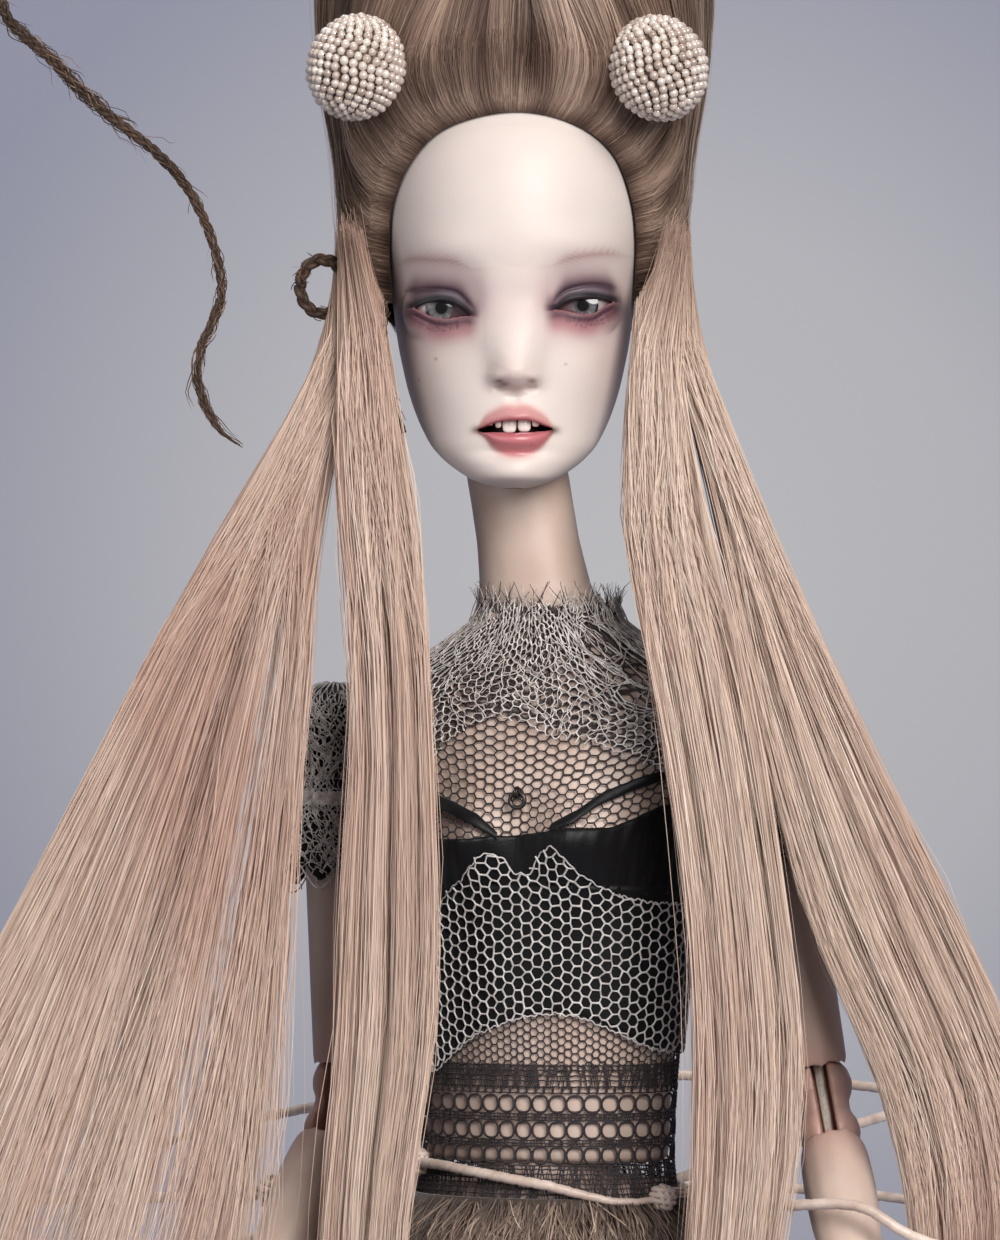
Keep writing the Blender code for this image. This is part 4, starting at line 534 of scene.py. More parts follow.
def face_paint(u, w, front, hole, mouth, colours):
    """The painted face, as colours worked out from distances to the lids, brows, lips and nose."""
    paint = np.ones(u.shape + (3,)) * np.array(colours.face)
    gloss = np.zeros(u.shape)
    on = front * 1.0
    blush, shade = "#c4948c", "#a98f88"
    for centre in (-0.0150, 0.0150):
        lay(paint, blush, 0.20 * on * hill(u - centre, 0.0045) * hill(w - 0.0125, 0.0065))
    lay(paint, blush, 0.40 * on * hill(np.abs(u) - 0.0172, 0.0019) * hill(w - 0.0085, 0.0090))
    # Painted shade under the chin: the skin is darkened along the chin's underside.
    lay(paint, shade, 0.35 * on * hill(w + 0.0058, 0.0016) * hill(u, 0.009))
    lay(paint, blush, 0.26 * on * hill(u, 0.0030) * hill(w - 0.0106, 0.0020))
    for eye, (centre, level) in enumerate(EYES):
        side = 1 if centre > 0 else -1
        upper, lower, crease, brow = (outline(table[eye], u)
                                      for table in (UPPER_LID, LOWER_LID, CREASE, BROW))
        inner, outer = photo_u(UPPER_LID[eye][0][0]), photo_u(UPPER_LID[eye][-1][0])
        span = ramp(u, inner - 0.0016, inner + 0.0006) * (1 - ramp(u, outer - 0.0006, outer + 0.0016)) * on
        along = (u - inner) / (outer - inner) if side > 0 else (outer - u) / (outer - inner)
        pink = hill(u - centre, 0.0072) * hill(w - level - 0.0006, 0.0052) * on
        lay(paint, "#b5838a", 0.66 * pink)
        smoky = span * ramp(w, lower - 0.0030,
                            lower - 0.0004) * (1 - ramp(w, crease - 0.0002, crease + 0.0022))
        lay(paint, colours.shadow, 0.86 * smoky)
        near = span * ramp(w, upper - 0.0002, upper) * hill(w - upper, 0.0013)
        lay(paint, "#24151e", 0.72 * near)
        outside = hill(u - centre - side * 0.0042, 0.0028) * hill(w - level + 0.0004, 0.0021) * on
        lay(paint, "#33212c", 0.86 * outside)
        inside = hill(u - centre + side * 0.0042, 0.0016) * hill(w - level + 0.0002, 0.0016) * on
        lay(paint, "#6d4a58", 0.50 * inside)
        under = span * hill(w - lower + 0.0010, 0.00055)
        lay(paint, "#41293a", 0.68 * under * (0.35 + 0.65 * ramp(along, 0.25, 0.85)))
        red = span * hill(w - lower + 0.0022, 0.0013)
        lay(paint, "#a04a58", 0.55 * red * (1 - 0.45 * ramp(along, 0.5, 1.0)))
        fold = between(u, CREASE[eye], 1.5 * MM) * hill(w - crease, 0.00060) * on
        lay(paint, "#2b1a25", 0.74 * fold)
        above = (between(u, CREASE[eye], 2.0 * MM) * ramp(w, crease - 0.0001, crease)
                 * (1 - ramp(w, crease, crease + 0.0040)) * on)
        lay(paint, "#573b48", 0.60 * above)
        # Painted highlight in the middle of each upper lid, a lighter colour standing in for light on the
        # lid; the lid is also made glossier there.
        sheen = span * hill(w - (upper + crease) / 2 - 0.0001, 0.00055) * hill(u - centre - 0.0012, 0.0022)
        lay(paint, "#9a8f9c", 0.34 * sheen)
        gloss = np.maximum(gloss, 0.35 * sheen)
        lash = span * ramp(w, upper - 0.0002, upper) * (1 - ramp(w, upper + 0.00045, upper + 0.00115))
        lay(paint, "#120b10", 0.97 * lash)
        rim = span * (w <= lower + 1e-6) * hill(w - lower, 0.00030)
        lay(paint, "#8e6064", 0.85 * rim)
        gloss = np.maximum(gloss, 0.5 * rim)
        hair = between(u, BROW[eye], 3.0 * MM) * hill(w - brow, 0.00095) * on
        streak = 0.78 + 0.22 * np.sin((u * 0.8 + (w - brow) * side * 1.3) * 9000)
        lay(paint, "#a57d7a", 0.60 * hair * streak)
        lay(paint, "#8b5e5f", 0.26 * hill(u - centre - side * 0.001, 0.006) * hill(w - brow, 0.0003) * on)
        rng = np.random.default_rng(5 + eye)
        for k in range(22):
            share = 0.22 + 0.76 * (k + rng.uniform(-0.3, 0.3)) / 21
            root_u = inner + (outer - inner) * share if side > 0 else outer - (outer - inner) * share
            root_w = float(outline(LOWER_LID[eye], np.array([root_u]))[0]) - 0.00045
            length = 0.0011 + 0.0008 * share * rng.uniform(0.7, 1.2)
            drift = side * (0.00010 + 0.0009 * (share - 0.35)) + rng.uniform(-0.0001, 0.0001)
            down = np.clip((root_w - w) / length, 0, 1)
            middle = root_u + drift * down ** 1.5
            stroke = (w < root_w) * (w > root_w - length) * hill(u - middle, 0.00010 * (1.3 - down)) * on
            lay(paint, "#4a2f35", 0.62 * stroke)
    top, upper, lower, low = (outline(table, u) for table in (LIP_TOP, MOUTH_TOP, MOUTH_LOW, LIP_LOW))
    ends = between(u, LIP_TOP) * on
    soft = 0.00055
    is_upper = ends * ramp(w, upper - soft / 3, upper) * (1 - ramp(w, top - soft, top + soft))
    is_lower = ends * (1 - ramp(w, lower, lower + soft / 3)) * ramp(w, low - soft, low + soft)
    halo = ends * ramp(w, low - 0.0012, low) * (1 - ramp(w, top, top + 0.0012))
    lay(paint, "#d9aaa4", 0.50 * halo)
    part = np.clip((w - upper) / np.maximum(top - upper, 1e-6), 0, 1)
    lay(paint, "#c98a88", 0.80 * is_upper)
    lay(paint, "#9d4650", 0.72 * is_upper * (1 - ramp(part, 0.02, 0.55)))
    lay(paint, colours.lip, 0.86 * is_lower)
    under = np.clip((lower - w) / np.maximum(lower - low, 1e-6), 0, 1)
    lay(paint, "#93404c", 0.65 * is_lower * (1 - ramp(under, 0.0, 0.28)))
    lay(paint, "#a8585f", 0.40 * is_lower * ramp(under, 0.72, 1.0))
    crackle = np.abs(np.sin(u * 5200 + 1.4 * np.sin(w * 2600))) ** 14
    lay(paint, "#8a3d48", 0.12 * np.maximum(is_upper, is_lower) * crackle)
    gloss = np.maximum(gloss, np.maximum(is_upper * 0.30, is_lower * 0.55))
    corner = (hill(u - photo_u(478), 0.0009) + hill(u - photo_u(553), 0.0009)) * hill(w - photo_w(431),
                                                                                      0.0006) * on
    lay(paint, "#4d1a20", 0.85 * np.clip(corner, 0, 1))
    paint[mouth] = linear("#2a0a0d")
    paint[hole] = linear("#4a2c33")
    for place in ((499.5, 383.6), (504.5, 386.6)):
        dark = hill(u - photo_u(place[0]), 0.00075) * hill(w - photo_w(place[1]), 0.00032) * on
        lay(paint, "#5c2c2a", 0.80 * dark)
    dark = hill(u - photo_u(532), 0.00062) * hill(w - photo_w(383.0), 0.00032) * on
    lay(paint, "#8a5a54", 0.72 * dark)
    lay(paint, "#b48f86", 0.45 * hill(u - 0.0002, 0.0030) * hill(w - 0.0086, 0.0005) * on)
    for place, size in (((437, 360), 0.00022), ((565, 366), 0.00016), ((420, 380), 0.00014)):
        spot = hill(u - photo_u(place[0]), size) * hill(w - photo_w(place[1]), size) * on
        lay(paint, "#7a4f46", 0.70 * spot)
    return paint, gloss


def build_eyes(sizes, colours):
    """Glass eyes: a white ball with a grey iris ring pattern on a disc at its front, under a clear coat."""
    for (centre, level), word in zip(EYES, ("left", "right")):
        steps, sides = 48, 64
        theta = np.linspace(0, pi, steps)[:, None]
        phi = 2 * pi * np.arange(sides) / sides
        u = centre + EYE_RADIUS * np.sin(theta) * np.cos(phi)
        w = level + EYE_RADIUS * np.sin(theta) * np.sin(phi)
        v = EYE_AXIS + EYE_RADIUS * np.cos(theta) + 0 * phi
        white = np.ones(u.shape + (3,)) * np.array(linear("#a59797"))
        # Painted shadow on the whites: darker towards the sides of the ball, and darker over its upper part,
        # where the lid's shadow falls.
        lay(white, "#5f484c", ramp(np.broadcast_to(theta, u.shape), 0.42, 0.85))
        lay(white, "#3f3036", 0.75 * ramp(w, level + 0.0004, level + 0.0014))
        ball = make_object(f"{word}_eyeball", head_to_world(np.stack([u, v, w], -1)),
                           grid_faces(steps, sides, True),
                           eye_material(f"{word}_eye_white"), "head", white)
        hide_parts(f"{word}_eye")
        rings, around = 26, 128
        reach = np.linspace(0, 1, rings)[:, None]
        phi = 2 * pi * np.arange(around) / around
        radius = sizes.iris_radius
        iu, iw = centre + radius * reach * np.cos(phi), level + radius * reach * np.sin(phi)
        iv = EYE_AXIS + EYE_RADIUS + 0.00006 - 0.00030 * reach ** 2 + 0.0 * phi
        rng = np.random.default_rng(3)
        spokes = np.interp(phi, 2 * pi * np.arange(97) / 96, np.append(rng.random(96), 0.5))
        iris = np.ones(iu.shape + (3,)) * np.array(linear("#4b4a4e"))
        lay(iris, colours.iris, 0.60 * ramp(reach, 0.38, 0.62) * (1 - ramp(reach, 0.72, 0.92)) * spokes)
        lay(iris, "#3d3c40", 0.45 * (1 - spokes) * np.ones_like(reach))
        lay(iris, "#0d0e11", ramp(reach, 0.76, 0.94) * 0.96 * np.ones_like(phi))
        # Painted shadow of the upper lid over the top of the iris.
        lay(iris, "#141416", 0.70 * ramp(iw, level + 0.0001, level + 0.0012))
        lay(iris, "#08080a", (1 - ramp(reach, 0.36, 0.42)) * np.ones_like(phi))
        disc = make_object(f"{word}_iris", head_to_world(np.stack([iu, iv, iw], -1)),
                           grid_faces(rings, around, True),
                           eye_material(f"{word}_iris_glass"), "head", iris)


def eye_material(name):
    """Painted glass under a clear, very smooth coat."""
    material, tree, shader = nodes_of(name)
    paint = add(tree, "ShaderNodeVertexColor", layer_name="paint")
    link(paint, "Color", shader, "Base Color")
    settle(shader, {"Roughness": 0.10, "Coat Weight": 0.4, "Coat Roughness": 0.03})
    return material


TOOTH_PLACES = ((509.6, 6.9, 12.5), (524.2, 6.5, 11.7), (498.6, 3.2, 8.6), (535.4, 3.7, 7.6),
                (490.8, 2.9, 6.6), (543.2, 2.9, 6.2))


def build_teeth(sizes, colours):
    """Upper teeth: rounded blocks |x|^n + |z|^n = 1 set on the curve of the gum."""
    parts, steps = [], 20
    turn = 2 * pi * np.arange(32) / 32
    for px, half, tall in TOOTH_PLACES:
        u0 = photo_u(px)
        top = photo_w(421.0)
        wide, high = half * 0.1465 * MM, tall * 0.1465 * MM * 1.25
        reach = np.sin(np.linspace(0, pi / 2, steps))[:, None]
        fold = (np.abs(np.cos(turn)) ** 3.2 + np.abs(np.sin(turn)) ** 3.2) ** (-1 / 3.2)
        u = u0 + wide * reach * np.cos(turn) * fold
        w = top + 0.0004 - high / 2 + high / 2 * reach * np.sin(turn) * fold
        v = 0.0190 + 0.0006 * np.sqrt(np.clip(1 - reach ** 2, 0,
                                              1)) - 9.0 * (u - photo_u(517)) ** 2 - 0.0010 * (reach > 0.97)
        v = v + 0 * turn
        parts.append((head_to_world(np.stack([u, v, w], -1)).reshape(-1, 3), grid_faces(steps, 32, True)))
    points, faces = gather(parts)
    material, tree, shader = nodes_of("tooth_resin")
    stain = noise(tree, 700, 2)
    colour = ramp_node(tree, stain.outputs["Fac"], ((0.3, "#f0e6dc"), (0.7, "#f8f1ea")))
    link(colour, "Color", shader, "Base Color")
    settle(shader, {"Roughness": 0.18})
    teeth = make_object("upper_teeth", points, faces, material, "head")
    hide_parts("teeth")


# Camera, lights and backdrop

def build_stage(sizes, colours):
    """Grey paper behind the doll, with a painted pool of light that makes it lighter in the middle and darker
    and bluer towards the edges; a big soft light from the right and a weak fill."""
    scene = bpy.context.scene
    right = np.array([cos(CAMERA_TURN), sin(CAMERA_TURN), 0])
    toward = np.array([sin(CAMERA_TURN), -cos(CAMERA_TURN), 0])
    aim = np.array([0, 0, 0.3383]) - 0.0070 * right
    camera = bpy.data.objects.new("camera", bpy.data.cameras.new("camera"))
    scene.collection.objects.link(camera)
    camera.location = aim + 1.1 * toward
    camera.rotation_euler = (pi / 2, 0, CAMERA_TURN)
    camera.data.sensor_width = 36
    camera.data.sensor_fit = "AUTO"
    camera.data.lens = 218.0
    scene.camera = camera
    wall = np.array([-right * 1.6 - toward * 0.75, right * 1.6 - toward * 0.75])
    steps = np.linspace(0, 1, 25)
    rows = []
    for t in steps:
        out = 1.2 * (1 - t / 0.42) if t < 0.42 else 0
        height = 0 if t < 0.30 else 1.9 * ((t - 0.30) / 0.70) ** 1.6
        rows.append([edge + toward * out + np.array([0, 0, height - 0.001]) for edge in wall])
    material, tree, shader = nodes_of("backdrop_paper")
    place = add(tree, "ShaderNodeTexCoord")
    offset = add(tree, "ShaderNodeVectorMath", operation="DISTANCE")
    offset.inputs[1].default_value = tuple(aim - toward * 0.75 + right * 0.03)
    link(place, "Object", offset, 0)
    # The paper's colour falls off with distance from a point behind the doll's middle: a painted pool of
    # light on the backdrop.
    tone = ramp_node(tree, offset.outputs["Value"], toned(PAPER_AND_LIGHT_POOL, colours.paper))
    link(tone, "Color", shader, "Base Color")
    settle(shader, {"Roughness": 0.9})
    paper = make_object("backdrop", np.array(rows), grid_faces(len(rows), 2), material)
    for name, across, out, up, size, power, colour in (
            ("key_light", 0.42, 1.00, 0.50, 0.75, sizes.key_power, (1.0, 0.98, 0.96)),
            ("fill_light", -0.9, 0.9, 0.25, 1.0, sizes.fill_power, (0.97, 0.97, 1.0)),
            ("top_light", -0.1, -0.15, 1.15, 0.6, 5.0, (0.98, 0.98, 1.0))):
        lamp = bpy.data.objects.new(name, bpy.data.lights.new(name, "AREA"))
        scene.collection.objects.link(lamp)
        lamp.data.shape = "DISK"
        lamp.data.size = size
        lamp.data.energy = power
        lamp.data.color = colour
        spot = aim + across * right + out * toward + np.array([0, 0, up])
        lamp.location = spot
        lamp.rotation_euler = (Vector(aim + np.array([0, 0, 0.02]))
                               - Vector(spot)).to_track_quat("-Z", "Y").to_euler()
    world = bpy.data.worlds.new("room")
    scene.world = world
    world.use_nodes = True
    background = world.node_tree.nodes["Background"]
    settle(background, {"Color": (*linear("#aaa9ab"), 1), "Strength": 0.45})
    scene.view_settings.view_transform = "Standard"


# Hair

def hair_material(name, stops, rough=0.50, sheen=0.25, rosy=0.0):
    """Fine combed fibre: colour by each strand's tone, which holds its own colour and, for the dressed hair
    and the locks, painted shade; streaked along its length, with a soft highlight."""
    material, tree, shader = nodes_of(name)
    tone = add(tree, "ShaderNodeAttribute", attribute_name="tone")
    streak = noise(tree, 400, 3, stretch=(1, 1, 0.12))
    shift = add(tree, "ShaderNodeMath", operation="MULTIPLY_ADD")
    shift.inputs[1].default_value = 0.16
    link(streak, "Fac", shift, 0)
    link(tone, "Fac", shift, 2)
    colour = ramp_node(tree, shift.outputs["Value"], stops)
    patch = noise(tree, 34, 2, stretch=(1, 1, 0.35))
    amount = add(tree, "ShaderNodeMapRange")
    settle(amount, {"From Min": 0.42, "From Max": 0.66, "To Min": 0.0, "To Max": rosy})
    link(patch, "Fac", amount, "Value")
    blend = add(tree, "ShaderNodeMix", data_type="RGBA")
    link(amount, "Result", blend, "Factor")
    link(colour, "Color", blend, "A")
    blend.inputs["B"].default_value = (*linear("#b98f7e"), 1)
    link(blend, "Result", shader, "Base Color")
    settle(shader, {"Roughness": rough, "Specular IOR Level": 0.25, "Sheen Weight": sheen,
                    "Sheen Roughness": 0.4, "Sheen Tint": (1.0, 0.86, 0.72, 1)})
    return material


UPDO_HALF_WIDTH, UPDO_DEPTH, UPDO_HEIGHT, UPDO_BASE = 0.0285, 0.0270, 0.0850, 0.0030
UPDO_SHARES = (
    (0.00, 0.56, 0.40, 0.60), (0.06, 0.72, 0.62, 0.80), (0.14, 0.80, 0.78, 0.94), (0.24, 0.84, 0.86, 1.00),
    (0.36, 0.87, 0.90, 1.02), (0.48, 0.90, 0.92, 1.00), (0.58, 0.96, 0.92, 0.96), (0.68, 0.985, 0.90, 0.90),
    (0.78, 1.00, 0.86, 0.84), (0.87, 0.98, 0.80, 0.76), (0.94, 0.84, 0.66, 0.62), (0.985, 0.50, 0.40, 0.38),
)
HAIRLINE = ((-1.00, -0.0176, 0.0215), (-0.80, -0.0181, 0.0300), (-0.60, -0.0174, 0.0365),
            (-0.42, -0.0146, 0.0420),
            (-0.24, -0.0100, 0.0462), (0.00, 0.0006, 0.0486), (0.22, 0.0094, 0.0466), (0.40, 0.0143, 0.0428),
            (0.60, 0.0170, 0.0365), (0.80, 0.0178, 0.0300), (1.00, 0.0175, 0.0215))


def waves(seed, count, low, high, size):
    """A sum of sines for ridges: size cos(f a + p + d t), with frequencies from low to high."""
    rng = np.random.default_rng(seed)
    return [(rng.uniform(low, high), rng.uniform(0, 2 * pi), rng.uniform(-2.5, 2.5),
             size * rng.uniform(0.5, 1.0))
            for _ in range(count)]


def ripple(sines, a, t):
    return sum(size * np.cos(f * a + p + d * t) for f, p, d, size in sines)


def updo_surface(angle, w, laid):
    """A point on the dressed hair: from the head's own surface where laid is 0 to the full updo
    where it is 1."""
    half, front, back = head_profile(np.clip(w, -0.004, 0.0555))
    lift = 0.0005
    hu = (half + lift) * np.sin(angle)
    hv = -(back - front) / 2 + ((back + front) / 2 + lift) * np.cos(angle)
    rows = curve(UPDO_SHARES, ((w - UPDO_BASE) / UPDO_HEIGHT).ravel()).reshape(w.shape + (3,))
    depth = np.where(np.cos(angle) > 0, rows[..., 1], rows[..., 2])
    uu = UPDO_HALF_WIDTH * rows[..., 0] * np.sin(angle)
    uv = UPDO_DEPTH * depth * np.cos(angle)
    return hu + (uu - hu) * laid, hv + (uv - hv) * laid


RIDGES = waves(11, 7, 7, 38, 0.00042)
FINE_RIDGES = waves(12, 6, 90, 260, 0.00004)
UPDO_ARC = 0.0260


def swept_path(a, t):
    """Where hair from place a of the hairline is at share t of its way up: angle, height and how
    far laid."""
    a = np.asarray(a, float)
    line = curve(HAIRLINE, a)
    u0, w0 = line[..., 0], line[..., 1]
    half = head_profile(w0)[0]
    start = np.arcsin(np.clip(u0 / (half + 0.0005), -0.985, 0.985))
    out = np.sign(a) * ramp(np.abs(a), 0.05, 0.75)
    end = np.radians(84) * np.sign(a) * np.abs(a) ** 1.7
    top = 0.0866
    x0, x3 = start * UPDO_ARC, end * UPDO_ARC
    x1, w1 = x0 + 0.0085 * out, w0 + 0.0085 * np.sqrt(np.clip(1 - 0.85 * out ** 2, 0, 1))
    x2, w2 = x0 + (x3 - x0) * 0.75 + 0.006 * out, w0 + 0.50 * (top - w0)
    b = [(1 - t) ** 3, 3 * t * (1 - t) ** 2, 3 * t ** 2 * (1 - t), t ** 3]
    x = b[0] * x0 + b[1] * x1 + b[2] * x2 + b[3] * x3
    w = b[0] * w0 + b[1] * w1 + b[2] * w2 + b[3] * top
    far = t * np.hypot(x3 - x0, top - w0) * 1.1
    return x / UPDO_ARC, w, far


def swept_points(a, t, proud):
    """Swept hair in the head frame, proud of the shell, with ridges and the roll that it makes at
    the hairline."""
    angle, w, far = swept_path(a, t)
    laid = 1 - (1 - np.clip(far / 0.0190, 0, 1)) ** 2.2
    ridge = ripple(RIDGES, a, t) * ramp(far, 0.001, 0.012)
    fine = ripple(FINE_RIDGES, a, t) * ramp(far, 0.0002, 0.004)
    out = proud + ridge + fine + 0.0007 * hill(far - 0.0036, 0.0026)
    angle = angle + 0.05 * ripple(waves(13, 3, 20, 60, 1.0), a, t) * ramp(far, 0.002, 0.03) * 0.5
    u, v = updo_surface(angle, w, laid)
    return np.stack([u + out * np.sin(angle), v + out * np.cos(angle), w], -1), ridge + fine


def back_points(a, t, proud):
    """Hair behind the ears and at the nape, combed straight up; a runs from one ear round the back
    to the other."""
    angle = np.radians(84) + a * np.radians(192)
    base = 0.0080 + 0.0130 * ramp(np.abs(a - 0.5), 0.20, 0.46)
    w = base + (0.0866 - base) * t
    ridge = ripple(waves(15, 6, 12, 50, 0.00030), a * 2, t) + ripple(waves(16, 6, 90, 260, 0.00010), a * 2, t)
    u, v = updo_surface(angle, w, ramp(w, 0.0150, 0.0330))
    out = proud + ridge
    return np.stack([u + out * np.sin(angle), v + out * np.cos(angle), w], -1), ridge


ROLL_RADIUS = 0.0150


def roll_points(side, a, t, proud):
    """A wound roll at a top corner: an ellipsoid, its hair running round an axis that leans outwards."""
    polar, around = a * pi, t * 2 * pi
    x, y, z = np.cos(polar), np.sin(polar) * np.cos(around), np.sin(polar) * np.sin(around)
    lean = 0.9 * side
    ax = x * cos(lean) + z * sin(lean)
    az = -x * sin(lean) + z * cos(lean)
    grow = ROLL_RADIUS + proud + 0.00022 * np.cos(38 * polar + 3 * around)
    return np.stack([side * 0.0142 + 0.94 * grow * ax, 0.0027 + 1.15 * grow * y, 0.0751 + 0.95 * grow * az],
                    -1)


def build_updo(sizes, colours):
    """The dressed hair: a combed shell with thousands of fibres laid along its flow, and two wound
    rolls on top."""
    shells, shell_tones = [], []
    a, t = np.meshgrid(np.linspace(-1, 1, 190), np.linspace(0.0, 1, 60), indexing="ij")
    points, ridge = swept_points(a, t, -0.00015)
    shells.append((head_to_world(points).reshape(-1, 3), grid_faces(190, 60)))
    # Shell tones: the ridges are lighter and the hollows between them darker, as painted shade; at the
    # hairline the shell is darker still, as a painted shadow at the roots.
    shell_tones.append(0.22 + ridge * 260 - 0.22 * (1 - ramp(t, 0.0, 0.05)))
    a, t = np.meshgrid(np.linspace(0, 1, 150), np.linspace(0, 1, 40), indexing="ij")
    points, ridge = back_points(a, t, -0.00015)
    shells.append((head_to_world(points).reshape(-1, 3), grid_faces(150, 40)))
    # Painted shade in the hollows between the ridges, as above.
    shell_tones.append(0.22 + ridge * 260)
    for side in (-1, 1):
        a, t = np.meshgrid(np.linspace(0.02, 0.98, 40), np.linspace(0, 1, 40), indexing="ij")
        points = roll_points(side, a, t, -0.00015)
        shells.append((head_to_world(points).reshape(-1, 3), grid_faces(40, 40)))
        shell_tones.append(0.08 + 0 * a)
    points, faces = gather(shells)
    material = hair_material("brown_hair", toned(BROWN, colours.brown_hair))
    shell = make_object("updo_shell", points, faces, material, "head", None,
                        np.concatenate([tone.ravel() for tone in shell_tones]))
    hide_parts("hair_updo")
    rng = np.random.default_rng(21)
    steps = 9
    for part, count in (("front", sizes.updo_hairs), ("crown", sizes.updo_hairs * 5 // 16)):
        crown = part == "crown"
        a = np.sort(rng.uniform(-1, 1, count))[:, None]
        start = rng.uniform(0.25, 0.6, count) if crown else np.where(rng.random(count) < 0.7, 0.0,
                                                                     rng.uniform(0, 0.3, count))
        first = start[:, None]
        last = np.clip(first + rng.uniform(0.35, 1.0, count)[:, None], 0, 1)
        t = first + (last - first) * np.linspace(0, 1, steps) ** (1.0 if crown else 1.25)
        loose = (rng.random((count, 1)) < 0.06) * rng.uniform(0, 0.0011, (count, 1))
        lift = (np.abs(rng.normal(0.00010, 0.00014, count))[:, None]
                + loose) * np.sin(pi * np.linspace(0.04, 0.96, steps))
        wander = 0.0012 * np.cumsum(rng.normal(0, 1, (count, steps)), 1) * 0.5
        points, ridge = swept_points(np.clip(a + wander, -1, 1), t, lift)
        # Fibre tones: random per hair, lighter on the ridges and darker in the hollows between them as
        # painted shade, with lighter and darker bands across the clumps.
        tone = 0.43 + 0.10 * rng.normal(size=(count, 1)) + ridge * 380 + 0.09 * np.cos(2 * pi
                                                                                       * (a * 7 + 0.4 * t))
        tone = tone + 0.05 * ripple(waves(31, 4, 9, 40, 0.5), a,
                                    t) - 0.13 * ramp(np.cos(2 * pi * (5.3 * a + 0.35 * t) + 1.9), 0.55,
                                                     1.0) * ramp(t, 0.10, 0.35)
        # Painted shadow where the hair leaves the skin at the hairline, and a painted highlight band just
        # above it.
        tone = tone - 0.30 * (1 - ramp(t, 0.0, 0.035)) + 0.13 * hill(t - 0.085, 0.055)
        lay_fibres(f"updo_{part}_hair", points, sizes.updo_hair_width, tone, material, "head",
                   centre=(0, 0.0, 0.045), seed=22,
                   spread=0.25)
    steps = 8
    count = 3000
    a = np.sort(rng.uniform(0, 1, count))[:, None]
    first = np.where(rng.random(count) < 0.6, 0.0, rng.uniform(0, 0.5, count))[:, None]
    t = first + (1 - first) * rng.uniform(0.5, 1, (count, 1)) * np.linspace(0, 1, steps)
    lift = np.abs(rng.normal(0.00012, 0.00014, count))[:, None] * np.ones(steps)
    points, ridge = back_points(np.clip(a + 0.0012 * np.cumsum(rng.normal(0, 1, (count, steps)), 1), 0, 1),
                                t, lift)
    # Lighter on the ridges and darker in the hollows, as painted shade.
    tone = 0.43 + 0.09 * rng.normal(size=(count, 1)) + ridge * 300 + 0 * t
    lay_fibres("updo_back_hair", points, sizes.updo_hair_width * 1.15, tone, material, "head",
               centre=(0, 0.0, 0.045), seed=23, spread=0.25)
    rolls, tones = [], []
    for side in (-1, 1):
        count = 1300
        a = np.sort(rng.uniform(0.03, 0.97, count))[:, None]
        t = rng.uniform(0, 1, (count, 1)) + rng.uniform(0.3, 0.8, (count, 1)) * np.linspace(0, 1, steps)
        lift = np.abs(rng.normal(0.00010, 0.0001, count))[:, None]
        rolls.append(roll_points(side, a + 0.012 * np.sin(2 * pi * t), t, lift))
        tones.append(0.33 + 0.09 * rng.normal(size=(count, 1)) + 0.06 * np.cos(38 * a * pi) + 0 * t)
    lay_fibres("updo_roll_hair", np.concatenate(rolls), sizes.updo_hair_width * 1.15, np.concatenate(tones),
               material, "head",
               centre=(0, 0.0, 0.045), seed=24, spread=0.25)


def lay_fibres(name, paths, width, tone, material, body, centre=None, seed=0, spread=0.5):
    """Flat fibres along head-frame paths, each facing roughly away from centre, tapering at both ends."""
    rng = np.random.default_rng(seed)
    world = head_to_world(paths)
    if centre is None:
        flat = np.array([0.29, -0.95, 0]) + spread * rng.normal(size=(len(paths), 3))
    else:
        flat = world.mean(1) - head_to_world(np.array(centre)) * np.array([1, 1, 1])
        flat[:, 2] = 0
        flat = flat / np.linalg.norm(flat, axis=1, keepdims=True) + spread * 0.5 * rng.normal(size=flat.shape)
    steps = paths.shape[1]
    s = np.linspace(0, 1, steps)
    taper = np.clip(np.minimum(s * 8 + 0.35, (1 - s) * 6 + 0.12), 0, 1)
    widths = width * rng.uniform(0.55, 1.45, (len(paths), 1)) * taper
    points, faces = ribbons(world, widths, flat)
    tones = np.repeat(np.broadcast_to(tone, paths.shape[:2])[:, :, None], 2, 2)
    made = make_object(name, points, faces, material, body, None, tones)
    return made


BALLS = ((0.0208, 0.0547), (-0.0227, 0.0548))
BALL_DEPTH = 0.0200


def pearl_material(colour):
    """Pearl-coated glass beads: beige, each a little different, with a soft lustre."""
    material, tree, shader = nodes_of("pearl_beads")
    tone = add(tree, "ShaderNodeAttribute", attribute_name="tone")
    ramped = ramp_node(tree, tone.outputs["Fac"], toned(PEARL, colour))
    link(ramped, "Color", shader, "Base Color")
    settle(shader, {"Roughness": 0.20, "Metallic": 0.15, "Coat Weight": 0.8, "Coat Roughness": 0.06,
                    "Sheen Weight": 0.2})
    return material


